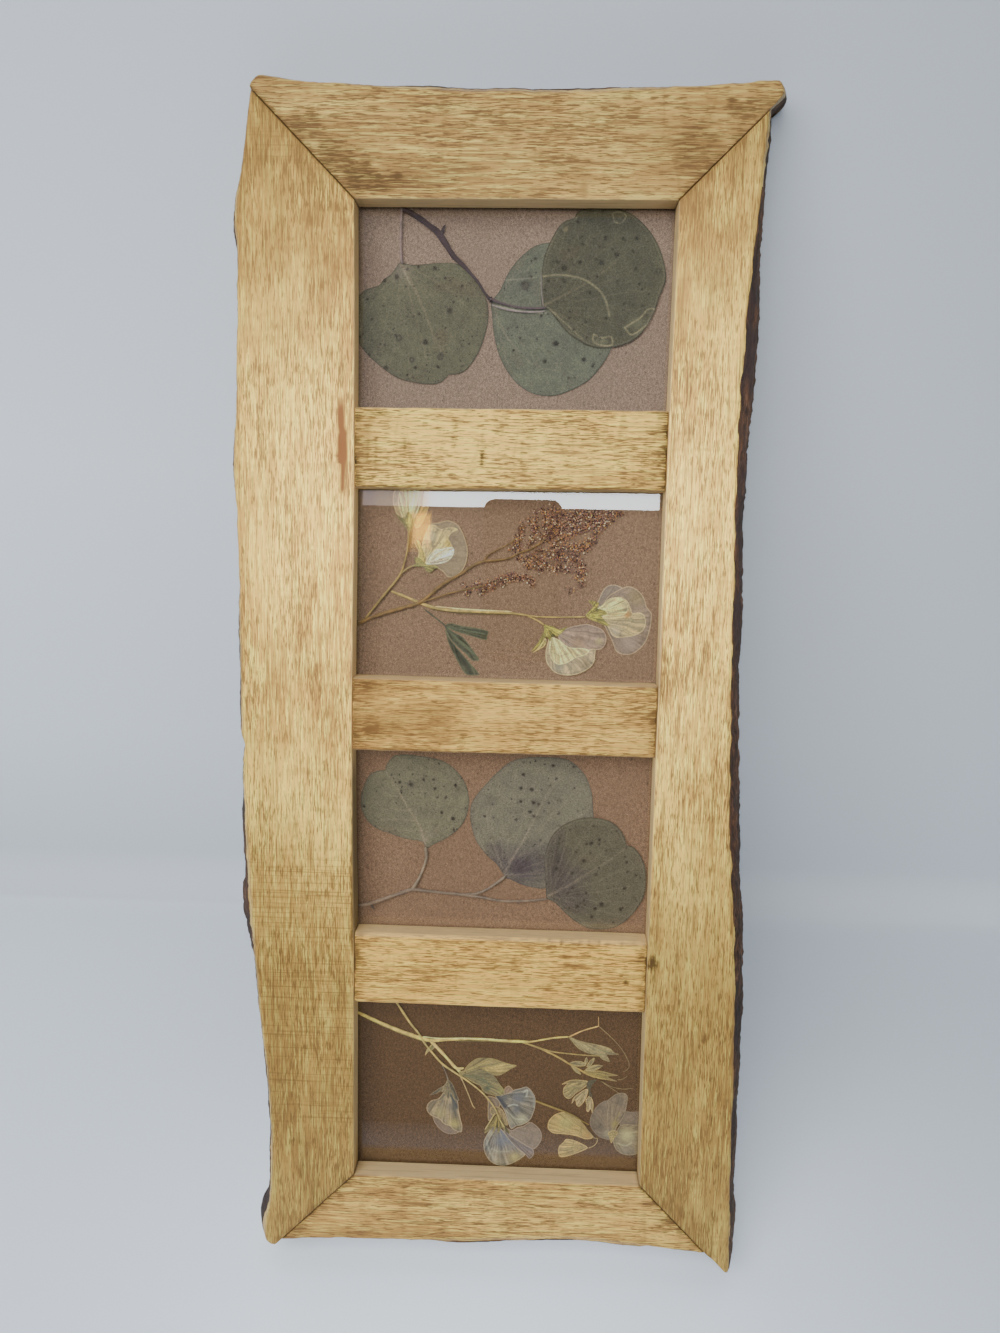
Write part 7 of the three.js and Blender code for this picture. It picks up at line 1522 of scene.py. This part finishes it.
B = Builder()  # grey translucent bloom at the right edge
petal(B, [(63, -426.4), (66, -426.6), (70, -426.3), (73, -428), (74.6, -432), (74, -434), (69.5, -433.6), (64, -434), (60.8, -434), (61.6, -430)], 14.6, (0.36, 0.34, 0.33), 0.30, (58, -438), 0.05, 0.3, (0.42, 0.40, 0.38), seed=391)
petal(B, [(57.6, -440.6), (59.2, -437), (61, -434), (64, -433.2), (69, -433.4), (73.4, -432.4), (74.6, -437), (73, -445), (69.5, -449), (64, -449.6), (60, -447.6), (58.2, -444.6)], 14.55, (0.42, 0.405, 0.34), 0.22, (57, -439), 0.10, 0.35, (0.50, 0.48, 0.40), seed=392, tips=[(64.5, -439, 6.4, (0.53, 0.515, 0.39), 0.9), (64, -447, 4, (0.36, 0.33, 0.29), 0.6)],
      lines=[([(59.6, -443.4), (64, -444.6), (67, -443)], 0.3, (0.58, 0.56, 0.44), 0.5)])
petal(B, [(45.8, -433), (46.6, -428.6), (49.6, -423.6), (53.4, -421), (57, -421.4), (60.4, -428), (59.4, -434), (58.4, -438.6), (56, -441.6), (52, -441), (49.4, -439.4), (47, -436.4)], 14.5, (0.37, 0.35, 0.33), 0.30, (57, -440), 0.10, 0.3, (0.44, 0.42, 0.38), seed=393, tips=[(55, -438.4, 3.6, (0.44, 0.43, 0.35), 0.7), (51, -434.4, 1.6, (0.12, 0.09, 0.07), 0.7)],
      lines=[([(45.6, -431), (50, -433.6), (53, -436.4)], 0.4, (0.24, 0.19, 0.14), 0.5)])
petal(B, [(55.8, -419.4), (59, -417), (62.6, -416.7), (64.1, -418.4), (63.8, -423.6), (62.8, -428.6), (60.6, -432.6), (58.4, -436.6), (57, -439.4), (54.8, -435), (54.4, -428), (54.8, -424), (54.2, -421.4)], 14.45, (0.385, 0.365, 0.335), 0.22, (57, -440), 0.12, 0.4, (0.50, 0.48, 0.42), seed=394, tips=[(58.6, -433.4, 3.6, (0.44, 0.36, 0.19), 0.75)],
      lines=[([(57, -438), (58.4, -431.6), (60.4, -427)], 0.35, (0.42, 0.34, 0.18), 0.5)])
petal(B, [(55.2, -438), (58, -436.6), (60, -437.8), (58.4, -440.6), (56.8, -443.6), (56, -441)], 14.4, (0.50, 0.47, 0.32), 0, (57, -438), 0.2, 0.3, h=0.5, seed=395)
B.obj("pea_bloom_4c_petals", m_petal, "pea_bloom_4c", gain=(1.0, 1.05, 0.95))

B = Builder()
for k, line in enumerate([
    [(18.4, -422.2, 1.0), (22, -423.5, 1.0), (26, -425, 1.0), (32, -427, 0.95), (38, -429.5, 0.9), (42, -432, 0.6), (45.6, -434, 0.4)],
    [(39.6, -430.2, 0.7), (42.6, -434, 0.6), (45.6, -437.6, 0.6), (48.4, -440.8, 0.6), (50.2, -441, 0.5)],
    [(50, -441, 0.5), (49.4, -443.6, 0.45), (47.6, -445.4, 0.45), (45.4, -446.4, 0.6)],
]):
    v, f, c2 = tube(line, 14.0, 0.6, 7, 0.7, (0.37, 0.26, 0.11) if k < 1 else (0.40, 0.31, 0.19), 0.12, 400 + k)
    B.add(v, f, c2)
B.obj("pea_stem_4c_stalk", m_twig, "pea_stem_4c")

# ---------------------------------------------------------------- stage: wall and floor that the frame leans on
LEAN = math.radians(26.0)
U = Vector((0, -math.sin(LEAN), math.cos(LEAN)))  # up in the room
A = Vector((0, math.cos(LEAN), math.sin(LEAN)))  # away from the viewer
foot = Vector((0, 0, -0.5331)) - U * 0.0015
head = Vector((0, 0, 0.0215))
floor_h = foot.dot(U)
wall_a = head.dot(A) + 0.002


def room(x, a, u):
    return Vector((x, 0, 0)) + A * a + U * u


sv, sf = [], []
profile = []
r = 0.030
for t in np.linspace(0, 1, 14):
    profile.append((wall_a - r - (0.858 - r) * (1 - t) ** 1.5, floor_h))
for t in np.linspace(0, math.pi / 2, 14)[1:]:
    profile.append((wall_a - r + r * math.sin(t), floor_h + r - r * math.cos(t)))
for t in np.linspace(0, 1, 10)[1:]:
    profile.append((wall_a, floor_h + r + 2.4 * t**1.4))
XS = np.concatenate([[-2.4, -1.6, -1.0, -0.6], np.linspace(-0.4, 0.4, 17), [0.6, 1.0, 1.6, 2.4]])
for a_, u_ in profile:
    for x in XS:
        sv.append(room(float(x), a_, u_))
nx = len(XS)
for i in range(len(profile) - 1):
    for j in range(nx - 1):
        sf.append((i * nx + j, i * nx + j + 1, (i + 1) * nx + j + 1, (i + 1) * nx + j))
me = bpy.data.meshes.new("backdrop")
me.from_pydata([tuple(v) for v in sv], [], sf)
# painted light and shade on the backdrop: the wall's left half lighter, brightest about 0.22 m up, its right half
# darker towards the top; the floor lighter about 0.3 m out from the wall, with a brighter patch in the middle, and
# darker towards its front edge
painted_light_bd = []
for a_, u_ in profile:
    up_ = max(u_ - floor_h, 0)
    fr_ = max(wall_a - a_, 0)
    for x in XS:
        side = float(np.clip(x / 0.25, -1.3, 1.3))
        wl = np.interp(up_, [0, 0.08, 0.22, 0.55], [0.95, 1.02, 1.36, 1.0])
        wr = np.interp(up_, [0, 0.08, 0.22, 0.55], [0.98, 1.0, 1.05, 0.80])
        fl = np.interp(fr_, [0, 0.10, 0.30, 0.45, 0.60, 0.86], [1.02, 1.10, 1.26, 1.2, 0.7, 0.24])
        fr2 = np.interp(fr_, [0, 0.10, 0.30, 0.45, 0.60, 0.86], [0.96, 0.94, 1.16, 1.1, 0.7, 0.24])
        mid = np.interp(fr_, [0, 0.12, 0.26, 0.45, 0.6], [0, 0.04, 0.50, 0.4, 0]) * math.exp(-((x / 0.16) ** 2))
        a1, a2 = (fl, fr2) if up_ < 0.001 else (wl, wr)
        painted_light_bd.append(a1 + (a2 - a1) * (side + 1) / 2 + mid)
at = me.attributes.new("tone", "FLOAT", "POINT")
at.data.foreach_set("value", np.array(painted_light_bd, np.float32))
me.polygons.foreach_set("use_smooth", np.ones(len(me.polygons), bool))
me.update()
backdrop = bpy.data.objects.new("backdrop", me)
bpy.context.scene.collection.objects.link(backdrop)
m, nt, b, out = material("backdrop_paper")
# the paper's colour is multiplied by the painted light and shade held in the attribute tone
tn = nt.nodes.new("ShaderNodeAttribute")
tn.attribute_name = "tone"
mc = nt.nodes.new("ShaderNodeMix")
mc.data_type = "RGBA"
mc.blend_type = "MULTIPLY"
mc.inputs[0].default_value = 1.0
mc.inputs[6].default_value = (0.612, 0.660, 0.722, 1)
nt.links.new(tn.outputs["Fac"], mc.inputs[7])
nt.links.new(mc.outputs[2], b.inputs["Base Color"])
b.inputs["Roughness"].default_value = 0.9
b.inputs["Specular IOR Level"].default_value = 0.2
tr = nt.nodes.new("ShaderNodeBsdfTransparent")
ge = nt.nodes.new("ShaderNodeNewGeometry")
mx = nt.nodes.new("ShaderNodeMixShader")
nt.links.new(ge.outputs["Backfacing"], mx.inputs[0])
nt.links.new(b.outputs[0], mx.inputs[1])
nt.links.new(tr.outputs[0], mx.inputs[2])
nt.links.new(mx.outputs[0], out.inputs[0])
me.materials.append(m)
# the paper must show its front to the viewer
nrm = me.polygons[(len(profile) // 2) * (nx - 1)].normal
if nrm.dot(A) > 0:
    me.flip_normals()

# ---------------------------------------------------------------- lights
def area(name, loc, target, sx, sy, power, color, spread=math.pi):
    l = bpy.data.lights.new(name, "AREA")
    l.shape = "RECTANGLE"
    l.size, l.size_y = sx, sy
    l.energy = power
    l.color = color
    l.spread = spread
    o = bpy.data.objects.new(name, l)
    bpy.context.scene.collection.objects.link(o)
    o.location = loc
    d = (Vector(target) - Vector(loc)).normalized()
    o.rotation_euler = d.to_track_quat("-Z", "Z").to_euler()
    return o


# a long lamp whose mirror image lies across the top of the second window
CAM = Vector((0.01208, -0.476718, -0.174556))
glass_y = -0.0096


def mirror(x, z, D=1.9):
    """The point D in front of the glass whose mirror image the camera sees at x, z (mm) on the glass."""
    kk = (0.4671 + D) / 0.4671
    gx, gz = x / 1000.0, (z - SHIFT) / 1000.0
    return Vector((CAM.x + (gx - CAM.x) * kk, glass_y - D, CAM.z + (gz - CAM.z) * kk))


def panel(name, x0, x1, z0, z1, radiance, color, D=1.9):
    """A lamp panel whose mirror image in the glass spans x0..x1, z0..z1 (mm)."""
    a, b = mirror(x0, z0, D), mirror(x1, z1, D)
    c = (a + b) / 2
    sx, sy = abs(a.x - b.x), abs(a.z - b.z)
    return area(name, c, (c.x, 0, c.z), sx, sy, radiance * math.pi * sx * sy, color)


panel("strip_window", -36.6, 78, -124.5, -92, 14.5, (0.93, 0.96, 1.0))
panel("strip_window_low", -36.6, 78, -131, -124.5, 21.0, (0.88, 0.95, 1.0))
for k, (x0, x1, rad, col) in enumerate([(-82, -62, 2.6, (1.0, 0.84, 0.84)), (-62, -46, 3.3, (1.0, 0.79, 0.68)), (-46, -42.5, 5.0, (1.0, 0.80, 0.66)),
                                        (-42.5, -40, 8.0, (1.0, 0.84, 0.72)), (-40, -38, 12.0, (1.0, 0.90, 0.84)), (-38, -36.6, 16.0, (0.97, 0.95, 0.95))]):
    panel("strip_window_side_%d" % k, x0, x1, -131, -92, rad, col)
# warm bulb, mirrored beside the blossom: a core and softer surroundings
for k, (x0, x1, z0, z1, rad) in enumerate([(-47.4, -35.8, -152, -133, 1.3), (-46.2, -36.2, -150, -134.2, 2.0), (-45.2, -36.6, -148, -134.6, 2.8), (-43.4, -36.8, -146.4, -135.4, 3.2), (-44.4, -37.0, -146.2, -139.4, 4.0)]):
    panel("warm_bulb_%d" % k, x0, x1, z0, z1, rad, (1.0, 0.50, 0.035), 1.93 + 0.015 * k)

key = area("ceiling_soft", room(-0.75, wall_a - 1.25, floor_h + 1.65), (0, -0.02, -0.20), 1.7, 1.3, 38.0, (0.96, 0.98, 1.0))
fill = area("fill_soft", room(0.9, wall_a - 1.5, floor_h + 1.0), (0, -0.02, -0.26), 1.4, 1.4, 2.1, (0.97, 0.98, 1.0))
glow = area("middle_soft", room(-0.05, wall_a - 0.95, floor_h + 0.95), (0.0, 0.0, -0.15), 0.5, 0.3, 0.56, (1.0, 0.985, 0.96), math.radians(70))
# the satin of the stiles' upright grain, which lights up in the middle of the frame
sl = bpy.data.lights.new("stile_satin", "SPOT")
sl.energy = 32.0
sl.color = (1.0, 0.97, 0.93)
sl.spot_size = math.radians(37)
sl.spot_blend = 1.0
sl.shadow_soft_size = 0.08
satin = bpy.data.objects.new("stile_satin", sl)
bpy.context.scene.collection.objects.link(satin)
satin.location = (-0.02, -0.62, -0.10)
satin.rotation_euler = (Vector((0.0, 0, -0.165)) - Vector(satin.location)).to_track_quat("-Z", "Y").to_euler()
satin.visible_camera = False
stiles = bpy.data.collections.new("stiles_only")
for name in ("left_stile_wood", "right_stile_wood"):
    stiles.objects.link(bpy.data.objects[name])
satin.light_linking.receiver_collection = stiles
for l in (key, fill, glow, satin):
    l.visible_glossy = False
    l.visible_transmission = False

# the viewer's phone: it only shows as a dark notch in the mirrored panel
pv, pf = [], []
outline = []
for cx, cz, a0 in ((26, -119.6, 0), (-26, -119.6, 90), (-26, -250, 180), (26, -250, 270)):
    for k in range(7):
        t = math.radians(a0 + 15 * k)
        outline.append((cx + 10 * math.cos(t), cz + 10 * math.sin(t)))
for y in (-0.4760, -0.4840):
    pv += [(x / 1000, y, (z - SHIFT) / 1000) for x, z in outline]
k = len(outline)
pf = [tuple(range(k)), tuple(reversed(range(k, 2 * k)))] + [(i, i + k, (i + 1) % k + k, (i + 1) % k) for i in range(k)]
me = bpy.data.meshes.new("dark_card")
me.from_pydata(pv, [], pf)
card = bpy.data.objects.new("dark_card", me)
bpy.context.scene.collection.objects.link(card)
m, nt, b, out = material("dark_card")
b.inputs["Base Color"].default_value = (0.02, 0.02, 0.022, 1)
b.inputs["Roughness"].default_value = 0.8
me.materials.append(m)
card.visible_camera = False
card.visible_diffuse = False
card.visible_shadow = False

world = bpy.data.worlds.new("room_light")
bpy.context.scene.world = world
world.use_nodes = True
wn = world.node_tree
wn.nodes.clear()
bg = wn.nodes.new("ShaderNodeBackground")
tc = wn.nodes.new("ShaderNodeTexCoord")
dot = wn.nodes.new("ShaderNodeVectorMath")
dot.operation = "DOT_PRODUCT"
dot.inputs[1].default_value = tuple(U)
wn.links.new(tc.outputs["Generated"], dot.inputs[0])
mr = wn.nodes.new("ShaderNodeMapRange")
mr.interpolation_type = "SMOOTHSTEP"
mr.inputs[1].default_value = 0.48
mr.inputs[2].default_value = 0.55
mr.inputs[3].default_value = 0.13
mr.inputs[4].default_value = 0.30
wn.links.new(dot.outputs["Value"], mr.inputs[0])
bg.inputs["Color"].default_value = (0.86, 0.95, 1.05, 1)
wn.links.new(mr.outputs[0], bg.inputs["Strength"])
wo = wn.nodes.new("ShaderNodeOutputWorld")
wn.links.new(bg.outputs[0], wo.inputs[0])

# ---------------------------------------------------------------- camera
cd = bpy.data.cameras.new("camera")
cd.sensor_fit = "HORIZONTAL"
cd.sensor_width = 36
cd.lens = 1005 / 1000 * 36
cd.clip_start = 0.01
cam = bpy.data.objects.new("camera", cd)
bpy.context.scene.collection.objects.link(cam)
right = Vector((0.9992101, 0.03502114, 0.01878014))
up = Vector((-0.02307879, 0.12668882, 0.99167399))
fwd = Vector((-0.03235032, 0.9913241, -0.127397))
M = Matrix((
    (right.x, up.x, -fwd.x, CAM.x),
    (right.y, up.y, -fwd.y, CAM.y),
    (right.z, up.z, -fwd.z, CAM.z),
    (0, 0, 0, 1),
))
cam.matrix_world = M
bpy.context.scene.camera = cam
